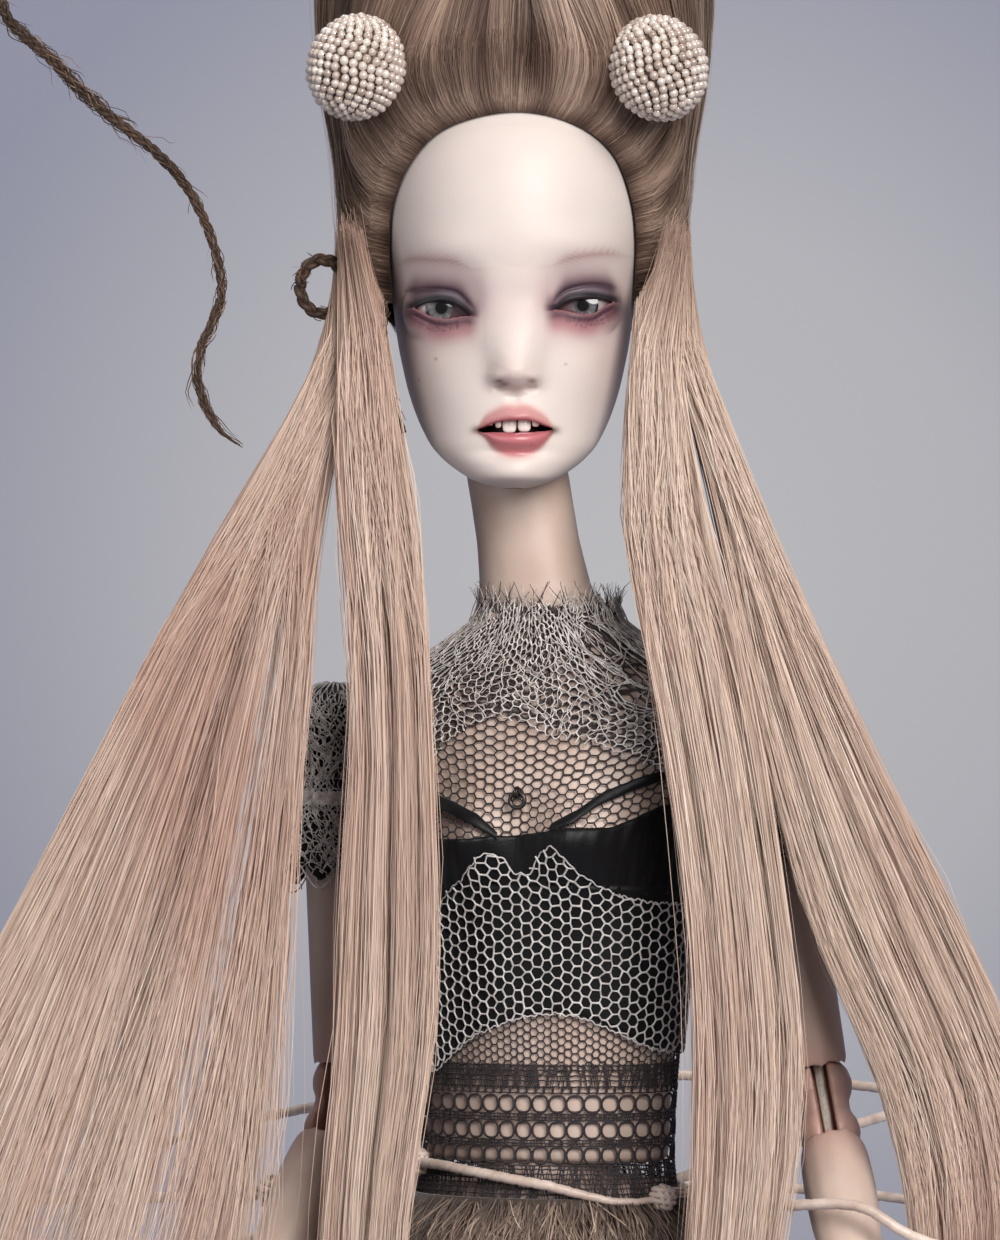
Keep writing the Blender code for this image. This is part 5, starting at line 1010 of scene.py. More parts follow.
def build_bead_balls(sizes, colours):
    """Balls sewn over with rows of small oblate beads, each threaded along its row."""
    material = pearl_material(colours.pearl)
    theta, phi = np.meshgrid(np.linspace(0.25, pi - 0.25, 7), 2 * pi * np.arange(10) / 10, indexing="ij")
    unit = np.stack([np.sin(theta) * np.cos(phi), np.sin(theta) * np.sin(phi), np.cos(theta)], -1)
    for (centre, level), word in zip(BALLS, ("left", "right")):
        rng = np.random.default_rng(40 + (centre > 0))
        parts, tones = [], []
        wide, tall = 0.00655, 0.00720
        rows = int(pi * tall / sizes.bead_row_gap)
        for k in range(rows + 1):
            latitude = -pi / 2 + pi * (k + 0.5) / (rows + 1)
            ring = wide * cos(latitude)
            number = max(1, int(2 * pi * ring / 0.00132))
            for j in range(number):
                turn = 2 * pi * (j + 0.5 * (k % 2) + rng.normal(0, 0.07)) / number + 0.30
                spot = np.array([ring * cos(turn), ring * sin(turn), tall * sin(latitude)])
                if spot[1] < -0.0035:
                    continue
                out = spot / np.array([wide, wide, tall]) ** 2
                out /= np.linalg.norm(out)
                along = np.array([-sin(turn), cos(turn), 0.0]) + 0.16 * rng.normal(size=3)
                along -= out * (along @ out)
                along /= np.linalg.norm(along)
                third = np.cross(out, along)
                size = sizes.bead_radius * rng.uniform(0.90, 1.08)
                bead = (unit[..., :1] * out * size + unit[..., 1:2] * third * size * 0.94
                        + unit[..., 2:] * along * size * 0.84) + spot
                lean = 0.35 if centre > 0 else -0.30
                bead = np.stack([bead[..., 0] * cos(lean) - bead[..., 2] * sin(lean), bead[..., 1],
                                 bead[..., 0] * sin(lean) + bead[..., 2] * cos(lean)], -1)
                bead = bead + np.array([centre, BALL_DEPTH, level])
                parts.append((head_to_world(bead).reshape(-1, 3), grid_faces(7, 10, True)))
                tones.append(np.full(70, np.clip(rng.normal(0.55, 0.2), 0, 1)))
        points, faces = gather(parts)
        beads = make_object(f"{word}_beads", points, faces, material, "head", None, np.concatenate(tones))
        theta2, phi2 = np.meshgrid(np.linspace(0, pi, 24), 2 * pi * np.arange(32) / 32, indexing="ij")
        core = np.stack([centre + wide * 0.93 * np.sin(theta2) * np.cos(phi2),
                         BALL_DEPTH + wide * 0.93 * np.sin(theta2) * np.sin(phi2),
                         level + tall * 0.93 * np.cos(theta2)], -1)
        ball = make_object(f"{word}_ball_core", head_to_world(core), grid_faces(24, 32, True), pearl_core(),
                           "head")
        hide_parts(f"{word}_bead_ball")


def pearl_core():
    """The ball's core under the beads, coloured dark brown: painted shade where it shows between the beads.
    """
    material, tree, shader = nodes_of("bead_core_shade")
    fuzz = noise(tree, 1500, 2)
    colour = ramp_node(tree, fuzz.outputs["Fac"], ((0.3, "#6e5a4e"), (0.7, "#8d776a")))
    link(colour, "Color", shader, "Base Color")
    settle(shader, {"Roughness": 0.9})
    return material


LOCK_LENGTH, LOCK_THICKNESS, LOCK_FORWARD, LOCK_ROOT_FORWARD = 0.1500, 0.0034, 0.0200, 0.0040
TEMPLE_RISE = 0.0218
LOCK_SHARES = {
    "left_inner_lock": ((0.0022, 0.118, 0.150, 0.30), (0.20, 0.106, 0.185, 0.62), (0.39, 0.143, 0.225, 1.00),
                        (0.59, 0.172, 0.255, 1.14), (0.75, 0.180, 0.270, 1.24), (0.92, 0.172, 0.250, 1.29),
                        (1.00, 0.165, 0.235, 1.30)),
    "left_outer_lock": ((0.0022, 0.142, 0.165, 0.10), (0.20, 0.190, 0.240, 0.50), (0.42, 0.240, 0.335, 0.94),
                        (0.60, 0.290, 0.425, 1.12), (0.79, 0.370, 0.500, 1.22), (1.00, 0.390, 0.500, 1.26)),
    "right_inner_lock": ((0.0022, 0.131, 0.165, 0.30), (0.08, 0.118, 0.172, 0.36), (0.15, 0.101, 0.176, 0.42),
                         (0.25, 0.092, 0.168, 0.48), (0.38, 0.086, 0.152, 0.54),
                         (0.56, 0.080, 0.160, 0.60), (0.70, 0.082, 0.165, 0.63), (0.88, 0.107, 0.180, 0.66),
                         (1.00, 0.115, 0.185, 0.66)),
    "right_outer_lock": ((0.0022, 0.142, 0.165, 0.10), (0.12, 0.165, 0.222, 0.20), (0.25, 0.180, 0.296, 0.32),
                         (0.40, 0.190, 0.371, 0.42), (0.66, 0.205, 0.500, 0.58), (0.84, 0.220, 0.590, 0.82),
                         (1.00, 0.250, 0.660, 1.02)),
}


def lock_points(rows, side, fall, across, depth):
    """A place in a lock: fall down its length, across it from 0 at the face to 1 outside, depth in
    front of it."""
    place = curve(rows, np.clip(fall, rows[0][0], 1.02).ravel()).reshape(fall.shape + (3,))
    low, high, forward = place[..., 0], place[..., 1], place[..., 2]
    u = side * (low + (high - low) * across) * LOCK_LENGTH
    spin = np.clip(across * 2 - 1, -1, 1)
    fold = LOCK_THICKNESS * 0.35 * np.cos(3 * pi * spin) * np.minimum(1, fall * 3)
    v = LOCK_FORWARD * forward + LOCK_ROOT_FORWARD + depth - fold
    above = np.clip(rows[0][0] - fall, 0, None)
    u = u - side * above * 0.020
    return np.stack([u, v + above * 0.01, TEMPLE_RISE - fall * LOCK_LENGTH], -1)


# Where the hair of each lock gathers: the middle of a band across it, the band's half width, and its share.
LOCK_BANDS = {
    "right_outer_lock": ((0.90, 0.080, 0.44), (0.64, 0.030, 0.09), (0.44, 0.055, 0.22), (0.16, 0.055, 0.21),
                         (0.50, 0.45, 0.04)),
    "right_inner_lock": ((0.22, 0.17, 0.30), (0.54, 0.20, 0.44), (0.86, 0.09, 0.20), (0.50, 0.45, 0.06)),
    "left_inner_lock": ((0.20, 0.17, 0.34), (0.60, 0.24, 0.60), (0.50, 0.45, 0.06)),
    "left_outer_lock": ((0.10, 0.07, 0.20), (0.32, 0.09, 0.26), (0.58, 0.11, 0.27), (0.86, 0.08, 0.22),
                        (0.50, 0.45, 0.05)),
}


# Degrees round the head, from the face, between which the inner and the outer locks leave the dressed hair.
ROOT_ANGLES = ((60, 80), (72, 104))


def lock_paths(rows, side, outer, fall, across, depth):
    """Lock places that start up on the dressed hair, hugging it, and leave it a little below the temple."""
    hanging = lock_points(rows, side, np.maximum(fall, rows[0][0]), across, depth)
    w = TEMPLE_RISE - fall * LOCK_LENGTH
    first, last = ROOT_ANGLES[outer]
    angle = np.radians(first + (last - first) * np.clip(across, 0, 1))
    u, v = updo_surface(angle * side, np.clip(w, 0.004, 0.08), ramp(w, 0.0180, 0.0300))
    proud = 0.00045 + 0.25 * np.abs(depth)
    hugging = np.stack([u + proud * np.sin(angle) * side, v + proud * np.cos(angle), w], -1)
    leave = ramp(fall, -0.06, 0.045)[..., None]
    return hugging * (1 - leave) + hanging * leave


def build_locks(sizes, colours):
    """Four hanging locks of fine hair: bands that part and thin towards the ends, with loose hairs
    between them."""
    material = hair_material("blond_hair", toned(BLOND, colours.blond_hair), 0.55, 0.35, 0.60)
    for number, (name, rows) in enumerate(LOCK_SHARES.items()):
        side = 1 if name.startswith("left") else -1
        for part, count, steps, fine in (("hair", sizes.lock_hairs, 9, 1.0),
                                         ("loose_hair", sizes.lock_hairs * 9 // 55, 13, 3.0)):
            rng = np.random.default_rng(60 + number + (100 if part == "loose_hair" else 0))
            bands = LOCK_BANDS[name]
            which = rng.choice(len(bands), count, p=np.array([share for *_, share in bands]))
            middle, half, _ = np.array(bands)[which].T[:, :, None]
            s = np.linspace(0, 1, steps)
            clump = rng.integers(0, 9, count) + 9 * which
            own = rng.normal(size=(9 * len(bands), 4))[clump]
            start = rng.uniform(-0.060, 0.0, (count, 1)) + 0.012 * rng.normal(size=(count, 1))
            stop = np.clip(rng.normal(0.96, 0.05, (count, 1)) - 0.25 * (rng.random((count, 1)) < 0.15), 0.5,
                           1.02)
            fall = start + (stop - start) * s
            place = np.where(half > 0.3, rng.uniform(-1, 1, (count, 1)),
                             0.75 * own[:, :1] + 0.45 * rng.normal(size=(count, 1)))
            cross = 0.075 * rng.normal(size=(count, 1)) * (s - 0.35)
            sway = 0.022 * own[:, 1:2] * np.sin(2.2 * s * pi + own[:, 2:3]) * s
            frizz = 0.0085 * fine * rng.normal(size=(count, 1)) * np.sin(5 * s * pi
                                                                         + rng.uniform(0, 6, (count, 1))) * s
            together = ramp(fall, 0.0, 0.35)
            even = rng.uniform(0, 1, (count, 1))
            across = even * (1 - together) + (middle + half * place) * together + sway + frizz + cross
            across = np.clip(across, -0.05, 1.05)
            bulk = 0.0022 * (0.55 + 0.45 * fine ** 0.3)
            depth = bulk * (0.45 * own[:, 3:4] + 0.60 * rng.normal(size=(count, 1)))
            depth = np.clip(depth, -0.0046, 0.0046)
            depth = depth + 0.0004 * fine * np.sin(6 * s * pi + rng.uniform(0, 6, (count, 1)))
            paths = lock_paths(rows, side, "outer" in name, fall, across, depth)
            fuzz = np.cumsum(rng.normal(0, 0.00009 * fine, paths.shape), 1)
            paths = paths + fuzz * np.clip(s[:, None] * 2, 0, 1)
            tone = 0.56 + 0.045 * own[:, 2:3] + 0.11 * rng.normal(size=(count, 1))
            # Hairs set further forward in the lock are painted lighter and those behind darker: painted shade
            # through the lock's depth.
            tone = tone + 9.0 * depth + 0.05 * np.sin(9 * s + 6 * own[:, 1:2])
            if side < 0:
                tone = tone - 0.40 * (1 - ramp(fall, -0.05, 0.06))
            else:
                tone = tone - 0.40 * (1 - ramp(fall, -0.06, 0.02))
            made = lay_fibres(f"{name}_{part}", paths, sizes.hair_width * (1.0 if part == "hair" else 0.77),
                              tone, material, "head",
                              seed=70 + number, spread=0.22)
            if part == "hair":
                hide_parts(name)


LONG_PLAIT_SHARES = (
    (-0.385, 0.00, -0.024), (-0.66, 0.03, 0.16), (-0.98, 0.06, 0.10), (-1.20, 0.08, -0.12),
    (-1.25, 0.10, -0.37),
    (-1.12, 0.10, -0.52), (-1.01, 0.10, -0.63), (-0.84, 0.10, -0.77), (-0.75, 0.10, -0.91),
    (-0.71, 0.10, -1.08),
    (-0.76, 0.10, -1.22), (-0.765, 0.10, -1.31), (-0.72, 0.10, -1.41), (-0.665, 0.10, -1.455),
)
PLAIT_REACH, PLAIT_RADIUS = 0.0600, 0.0008


def smooth_path(points, many):
    """Evenly spaced points on a Catmull-Rom curve through the given ones."""
    points = np.asarray(points, float)
    place = np.arange(len(points))
    fine = curve(np.concatenate([place[:, None], points], 1), np.linspace(0, len(points) - 1, many * 4))
    length = np.concatenate([[0], np.cumsum(np.linalg.norm(np.diff(fine, axis=0), axis=1))])
    even = np.linspace(0, length[-1], many)
    return np.stack([np.interp(even, length, fine[:, k]) for k in range(3)], -1), length[-1]


def braid(path, length, radius, period, closed=False):
    """Three strands that cross: offsets r sin q across and r / 2 sin 2q through, each a third of a
    turn on."""
    tangent = across_of(path[None])[0]
    n = np.cross(tangent, np.array([0.2, 1.0, 0.1]))
    n /= np.linalg.norm(n, axis=1, keepdims=True)
    b = np.cross(tangent, n)
    s = np.linspace(0, 1, len(path))
    turns = max(1, round(length / period))
    radius = np.broadcast_to(radius, s.shape)
    strands = []
    for k in range(3):
        q = 2 * pi * (turns * s + k / 3)
        strands.append(path + (0.62 * radius * np.sin(q))[:, None] * n
                       + (0.34 * radius * np.sin(2 * q))[:, None] * b)
    return np.array(strands), radius


def build_plaits(sizes, colours):
    """The long wired plait and the two short ones at the temple: three crossing strands each, with
    stray hairs."""
    crown = UPDO_BASE + UPDO_HEIGHT
    long_route = [(PLAIT_REACH * across, PLAIT_REACH * forward, crown + PLAIT_REACH * above)
                  for across, forward, above in LONG_PLAIT_SHARES]
    loop = [(-0.0279 + 0.0033 * cos(q), 0.0030, 0.0240 + 1.2 * 0.0033 * sin(q))
            for q in np.linspace(0, 2 * pi, 13)]
    side_route = [(-0.0190, 0.0110, 0.0214), (-0.0190, 0.0122, 0.0119), (-0.0163, 0.0124, 0.0024)]
    material = hair_material("plait_hair", toned(PLAIT, colours.plait_hair))
    for name, node, route, many, radius in (("long_plait_hair", "long_plait", long_route, 420, 0.00086),
                                            ("plait_loop_hair", "plait_loop", loop, 120, 0.00080),
                                            ("side_plait_hair", "side_plait", side_route, 90, 0.00070)):
        path, length = smooth_path(route, many)
        s = np.linspace(0, 1, many)
        shrink = radius * (1.12 - (0.45 if node == "long_plait" else 0.12) * s)
        if node == "long_plait":
            shrink = shrink * (1 - 0.35 * hill(s - 0.90, 0.02)) * (1 - 0.8 * ramp(s, 0.955, 1.0))
        strands, wide = braid(path, length, shrink, 0.0052)
        rng = np.random.default_rng(len(name))
        body, faces = tubes(head_to_world(strands), np.array([wide * 0.52] * 3), 8)
        tone = np.repeat(0.30 + 0.10 * np.sin(np.linspace(0, 60, many)), 8)
        core = make_object(name, body, faces, material, "head", None, np.tile(tone, 3))
        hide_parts(node)
        hairs, steps = 420 if node == "long_plait" else 90, 14
        first = rng.uniform(0, 0.93, (hairs, 1))
        place = np.clip(first + rng.uniform(0.03, 0.12, (hairs, 1)) * np.linspace(0, 1, steps), 0, 1)
        which = rng.integers(0, 3, hairs)
        at = place * (many - 1)
        low = np.clip(at.astype(int), 0, many - 2)
        part = (at - low)[..., None]
        lines = strands[which[:, None], low] * (1 - part) + strands[which[:, None], low + 1] * part
        drift = rng.normal(0, 1, (hairs, 1, 3)) * radius * (0.42 + 1.1 * (rng.random((hairs, 1, 1)) < 0.22)
                                                            * np.linspace(0, 1, steps)[:, None] ** 2)
        lay_fibres(name + "s", lines + drift, 0.00013,
                   0.42 + 0.16 * rng.normal(size=(hairs, 1)) + 0 * place, material,
                   "head", seed=81, spread=0.6)


# Body

def smooth_node(node, size, softness, material, blush=()):
    """A CAD solid with its facets smoothed away: remeshed at size, then relaxed over softness metres."""
    work = bpy.data.objects.new("work", bpy.data.objects[node].data.copy())
    bpy.context.scene.collection.objects.link(work)
    remesh = work.modifiers.new("remesh", "REMESH")
    remesh.mode = "VOXEL"
    remesh.voxel_size = size
    relax = work.modifiers.new("relax", "SMOOTH")
    relax.factor = 0.5
    relax.iterations = max(2, int(softness ** 2 / (0.25 * size ** 2)))
    shape = work.evaluated_get(bpy.context.evaluated_depsgraph_get()).to_mesh()
    count, quads = len(shape.vertices), len(shape.polygons)
    points = np.empty(count * 3)
    shape.vertices.foreach_get("co", points)
    corners = np.empty(quads * 4, np.int32)
    shape.loops.foreach_get("vertex_index", corners)
    points = points.reshape(-1, 3)
    warm = np.zeros(count)
    for place, spread, amount in blush:
        warm = np.maximum(warm, amount * hill(np.linalg.norm(points - np.array(place), axis=1), spread))
    make_object(node + "_skin", points, corners.reshape(-1, 4), material, node, None, warm, node)
    bpy.data.objects.remove(work)


def body_material(colours):
    """Warm pale resin, blushed pink where its tone attribute is high, in the painted joints and
    finger tips."""
    material, tree, shader = nodes_of("blushed_resin")
    mottle = noise(tree, 120, 4)
    base = ramp_node(tree, mottle.outputs["Fac"], toned(RESIN, colours.body))
    tone = add(tree, "ShaderNodeAttribute", attribute_name="tone")
    blend = add(tree, "ShaderNodeMix", data_type="RGBA")
    link(tone, "Fac", blend, "Factor")
    link(base, "Color", blend, "A")
    blend.inputs["B"].default_value = (*colours.blush, 1)
    link(blend, "Result", shader, "Base Color")
    settle(shader, {"Roughness": 0.44})
    soft_resin(tree, shader, (0.0020, 0.0009, 0.0006))
    return material


JOINTS = {joint["name"]: joint for joint in frame["joints"]}


def joint_place(name):
    return JOINTS[name]["pos_m"]


def across_joint(joint, low, high, reach=0.0060):
    """What a cloth over a joint rides: low below it, high above it, and a share of both between."""
    place = np.array(joint_place(joint))
    return low, high, tuple(place - (0, 0, reach)), tuple(place + (0, 0, reach))


def build_body(sizes, colours):
    """The resin body: torso, limbs, loose balls and links, each blushed round its joints."""
    skin = body_material(colours)
    smooth_node("pelvis", 0.00095, 0.0017, skin)
    smooth_node("midriff", 0.00078, 0.0017, skin)
    smooth_node("chest", 0.00080, 0.0019, skin, (((0.012, -0.010, 0.338), 0.010, 0.10),))
    for side in ("left", "right"):
        shoulder, upper, lower, wrist, hip, knee_high, knee_low, ankle = (joint_place(f"{side}_{name}")
                                                                          for name in (
            "shoulder_swing", "upper_elbow", "lower_elbow", "wrist_twist", "hip_swing", "upper_knee",
                                                                              "lower_knee",
            "ankle"))
        elbow = ((upper, 0.0075, 0.62), (lower, 0.0075, 0.62))
        knees = ((knee_high, 0.010, 0.45), (knee_low, 0.010, 0.45))
        foot = (ankle, 0.008, 0.35)
        for name, size, softness, blush in (
                ("shoulder_ball", 0.00048, 0.0008, ((shoulder, 0.006, 0.3),)),
                ("upper_arm", 0.00050, 0.0011, elbow + ((shoulder, 0.008, 0.3),)),
                ("elbow_link", 0.00034, 0.00055, elbow),
                ("forearm", 0.00048, 0.0010, elbow + ((wrist, 0.006, 0.4),)),
                ("wrist_ball", 0.00034, 0.00055, ((wrist, 0.005, 0.4),)),
                ("hand", 0.00033, 0.00048, ((np.array(wrist) + (0, -0.006, -0.016), 0.010, 0.45),)),
                ("hip_ball", 0.00066, 0.0011, ((hip, 0.008, 0.25),)),
                ("thigh", 0.00095, 0.0019, knees),
                ("knee_link", 0.00046, 0.0008, knees),
                ("shin", 0.00076, 0.0015, knees + (foot,)),
                ("foot", 0.00057, 0.0008, (foot, ((ankle[0], -0.036, 0.002), 0.010, 0.45)))):
            smooth_node(f"{side}_{name}", size, softness, skin, blush)


HIP_Z, TORSO_SPAN = 0.2220, 0.1410
CHEST_HALF_WIDTH, CHEST_DEPTH = 0.0245, 0.0135
BUST_PROUD, BUST_SPREAD, BUST_SIZE, BUST_SHARE = 0.0048, 0.0088, 0.0062, 0.600
TORSO_SHARES = (
    (-0.030, 0.80, 0.84, 0.98), (0.015, 0.97, 0.93, 1.08), (0.060, 1.00, 0.97, 1.06),
    (0.113, 0.94, 0.98, 0.94),
    (0.170, 0.85, 0.95, 0.88), (0.227, 0.78, 0.88, 0.86), (0.270, 0.75, 0.87, 0.86),
    (0.326, 0.76, 0.89, 0.88),
    (0.383, 0.79, 0.90, 0.90), (0.440, 0.82, 0.94, 0.95), (0.496, 0.85, 0.97, 0.97),
    (0.553, 0.87, 1.00, 1.00),
    (0.603, 0.89, 1.00, 1.02), (0.652, 0.97, 0.95, 1.04), (0.695, 1.12, 0.85, 1.00),
    (0.735, 1.12, 0.72, 0.92),
    (0.766, 0.95, 0.62, 0.80), (0.794, 0.66, 0.55, 0.69), (0.823, 0.42, 0.52, 0.61),
    (0.858, 0.345, 0.51, 0.56),
    (0.908, 0.315, 0.51, 0.53), (0.957, 0.310, 0.53, 0.54),
)


def torso(angle, z, proud=0.0):
    """A point of the body under the clothes; angle is 0 at the front and pi / 2 at the doll's left."""
    angle, z, proud = np.broadcast_arrays(angle, z, proud)
    share = (z - HIP_Z) / TORSO_SPAN
    table = np.array(TORSO_SHARES)
    half, front, back = (np.interp(share, table[:, 0], table[:, k]) for k in (1, 2, 3))
    ahead = np.cos(angle) > 0
    x = (CHEST_HALF_WIDTH * half + proud) * np.sin(angle)
    y = -(CHEST_DEPTH * np.where(ahead, front, back) + proud) * np.cos(angle)
    rise = (share - BUST_SHARE) * TORSO_SPAN / BUST_SIZE
    spread = (np.abs(x) - BUST_SPREAD) / BUST_SIZE
    y = y - np.where(ahead, BUST_PROUD * np.exp(-rise ** 2 - spread ** 2), 0)
    return np.stack([x, y, z], -1)


# Costume

TURNS = np.linspace(-pi, pi, 721)
AROUND = np.concatenate([[0], np.cumsum(np.linalg.norm(np.diff(torso(TURNS, 0.290), axis=0), axis=1))])
GIRTH = AROUND[-1]


def turn_at(share):
    """The angle a share of the way round the body, by length, from the middle of the back."""
    return np.interp(np.mod(share, 1.0) * GIRTH, AROUND, TURNS)


def on_body(pixels):
    """Rows (angle, height) on the front of the body from places in the picture."""
    rows = []
    grid = np.linspace(-1.45, 1.45, 200)
    for px, py in pixels:
        z = 0.420 - (py - 60) * 0.1465 * MM
        line = torso(grid, z)
        u = line[:, 0] * cos(CAMERA_TURN) + line[:, 1] * sin(CAMERA_TURN)
        rows.append((float(np.interp((px - 548) * 0.1465 * MM, u, grid)), z))
    return np.array(sorted(rows))


def edge_of(pixels, behind):
    """A height for every angle: the picture's edge in front, and the height behind from there
    round the back."""
    rows = on_body(pixels)
    first, last = rows[0, 0], rows[-1, 0]
    table = np.concatenate([[(-pi, behind), (first - 0.8, behind)], rows,
                            [(last + 0.8, behind), (pi, behind)]])
    table = table[np.argsort(table[:, 0])]
    return lambda angle: np.interp(angle, table[:, 0], table[:, 1])


def thread_material(name, stops, rough=0.5, sheen=0.3):
    """Twisted thread: two tones along it, with a slight lustre."""
    material, tree, shader = nodes_of(name)
    twist = noise(tree, 900, 2)
    colour = ramp_node(tree, twist.outputs["Fac"], stops)
    link(colour, "Color", shader, "Base Color")
    settle(shader, {"Roughness": rough, "Sheen Weight": sheen})
    return material


def satin_material(name, colour, rough=0.32):
    """Black satin: a fine weave in bump, a soft highlight, and a little sheen at the edges."""
    material, tree, shader = nodes_of(name)
    settle(shader, {"Base Color": (*colour, 1), "Roughness": rough, "Sheen Weight": 0.10,
                    "Specular IOR Level": 0.20})
    weave = noise(tree, 1600, 2, stretch=(1, 1, 3))
    crease = noise(tree, 160, 3)
    both = add(tree, "ShaderNodeMath", operation="MULTIPLY_ADD")
    both.inputs[1].default_value = 0.2
    link(weave, "Fac", both, 0)
    link(crease, "Fac", both, 2)
    bump_from(tree, shader, both.outputs["Value"], 0.35, 0.0004)
    return material


def honeycomb(cell, tall, low, high, keep, warp, seed, drop=0.0):
    """Edges of a six-sided net round the body: pairs of (share round, height) points, where keep says.

    The threads zigzag upwards: vertex (i, j) is at column i + a third if i + j is odd, and at height
    j / 2 of a cell;
    a short link joins each odd vertex to its neighbour in the next column.
    """
    rng = np.random.default_rng(seed)
    columns = 2 * int(round(GIRTH / cell / 2))
    rows = int((high - low) / (tall / 2)) + 1
    i, j = np.meshgrid(np.arange(columns), np.arange(rows), indexing="ij")
    odd = (i + j) % 2
    x = (i + odd / 3) / columns
    z = low + j * tall / 2
    x, z = warp(x, z, rng)
    after = (i + 1) % columns
    ups = [(x[:, :-1], z[:, :-1], x[:, 1:], z[:, 1:])]
    xa = x[after, j]
    xa = np.where(xa < x - 0.5, xa + 1, xa)
    link = odd == 1
    ups.append((x[link], z[link], xa[link], z[after, j][link]))
    starts = np.concatenate([np.stack([e[0].ravel(), e[1].ravel()], -1) for e in ups])
    ends = np.concatenate([np.stack([e[2].ravel(), e[3].ravel()], -1) for e in ups])
    middle = (starts + ends) / 2
    chosen = keep(turn_at(middle[:, 0]), middle[:, 1]) & (rng.random(len(middle)) >= drop)
    return starts[chosen], ends[chosen]


def net(name, starts, ends, radius, proud, material, body, steps=3, sides=5, wobble=0.0, seed=0):
    """Threads between the ends of a net's edges, laid on the body and standing off it by proud."""
    rng = np.random.default_rng(seed)
    s = np.linspace(0, 1, steps)[:, None]
    flat = starts[:, None] * (1 - s) + ends[:, None] * s
    bow = np.sin(pi * s[:, 0])
    paths = torso(turn_at(flat[..., 0]), flat[..., 1],
                  proud + wobble * rng.normal(size=(len(starts), 1)) * bow)
    size = radius * rng.uniform(0.85, 1.2, (len(starts), 1)) * (1.12 - 0.2 * bow)
    points, faces = tubes(paths, size, sides)
    return make_object(name, points, faces, material, body)


def band(name, low, high, proud, thickness, material, body, columns=240, rows=16, ruffle=None):
    """A worn sheet of cloth between two edges, each a height for every angle; closed, with its
    real thickness."""
    angle = np.linspace(-pi, pi, columns, endpoint=False)
    t = np.linspace(0, 1, rows)[:, None]
    z = low(angle) + (high(angle) - low(angle)) * t
    lift = ruffle(angle, z) if ruffle else 0.0
    outer = torso(angle, z, proud + thickness + lift)
    inner = torso(angle, z, proud + lift)
    faces = grid_faces(2 * rows, columns, True, True)
    return make_object(name, np.concatenate([outer, inner[::-1]]), faces, material, body)


def level(height):
    return lambda angle: np.full(np.shape(angle), height)


YOKE_LOW = ((415, 790), (430, 772), (450, 745), (470, 726), (490, 717), (505, 714), (530, 722), (555, 736),
            (600, 742), (625, 755), (650, 766), (690, 772))
BRA_TOP = ((420, 834), (450, 834), (477, 833), (495, 830), (510, 831), (545, 826), (563, 822), (580, 822),
           (608, 822), (635, 811), (657, 801), (690, 795))
NET_TOP = ((420, 925), (437, 914), (446, 901), (455, 886), (467, 874), (481, 853), (493, 847), (508, 855),
           (516, 868), (531, 869), (541, 847), (551, 840), (561, 850), (575, 866), (592, 878), (614, 890),
           (645, 897), (690, 900))
NET_LOW = ((420, 1080), (430, 1074), (446, 1064), (460, 1048), (480, 1029), (499, 1020), (510, 1015),
           (529, 1009),
           (556, 1006), (579, 1010), (597, 1018), (616, 1027), (632, 1036), (652, 1044), (664, 1046),
           (682, 1036),
           (700, 1036))


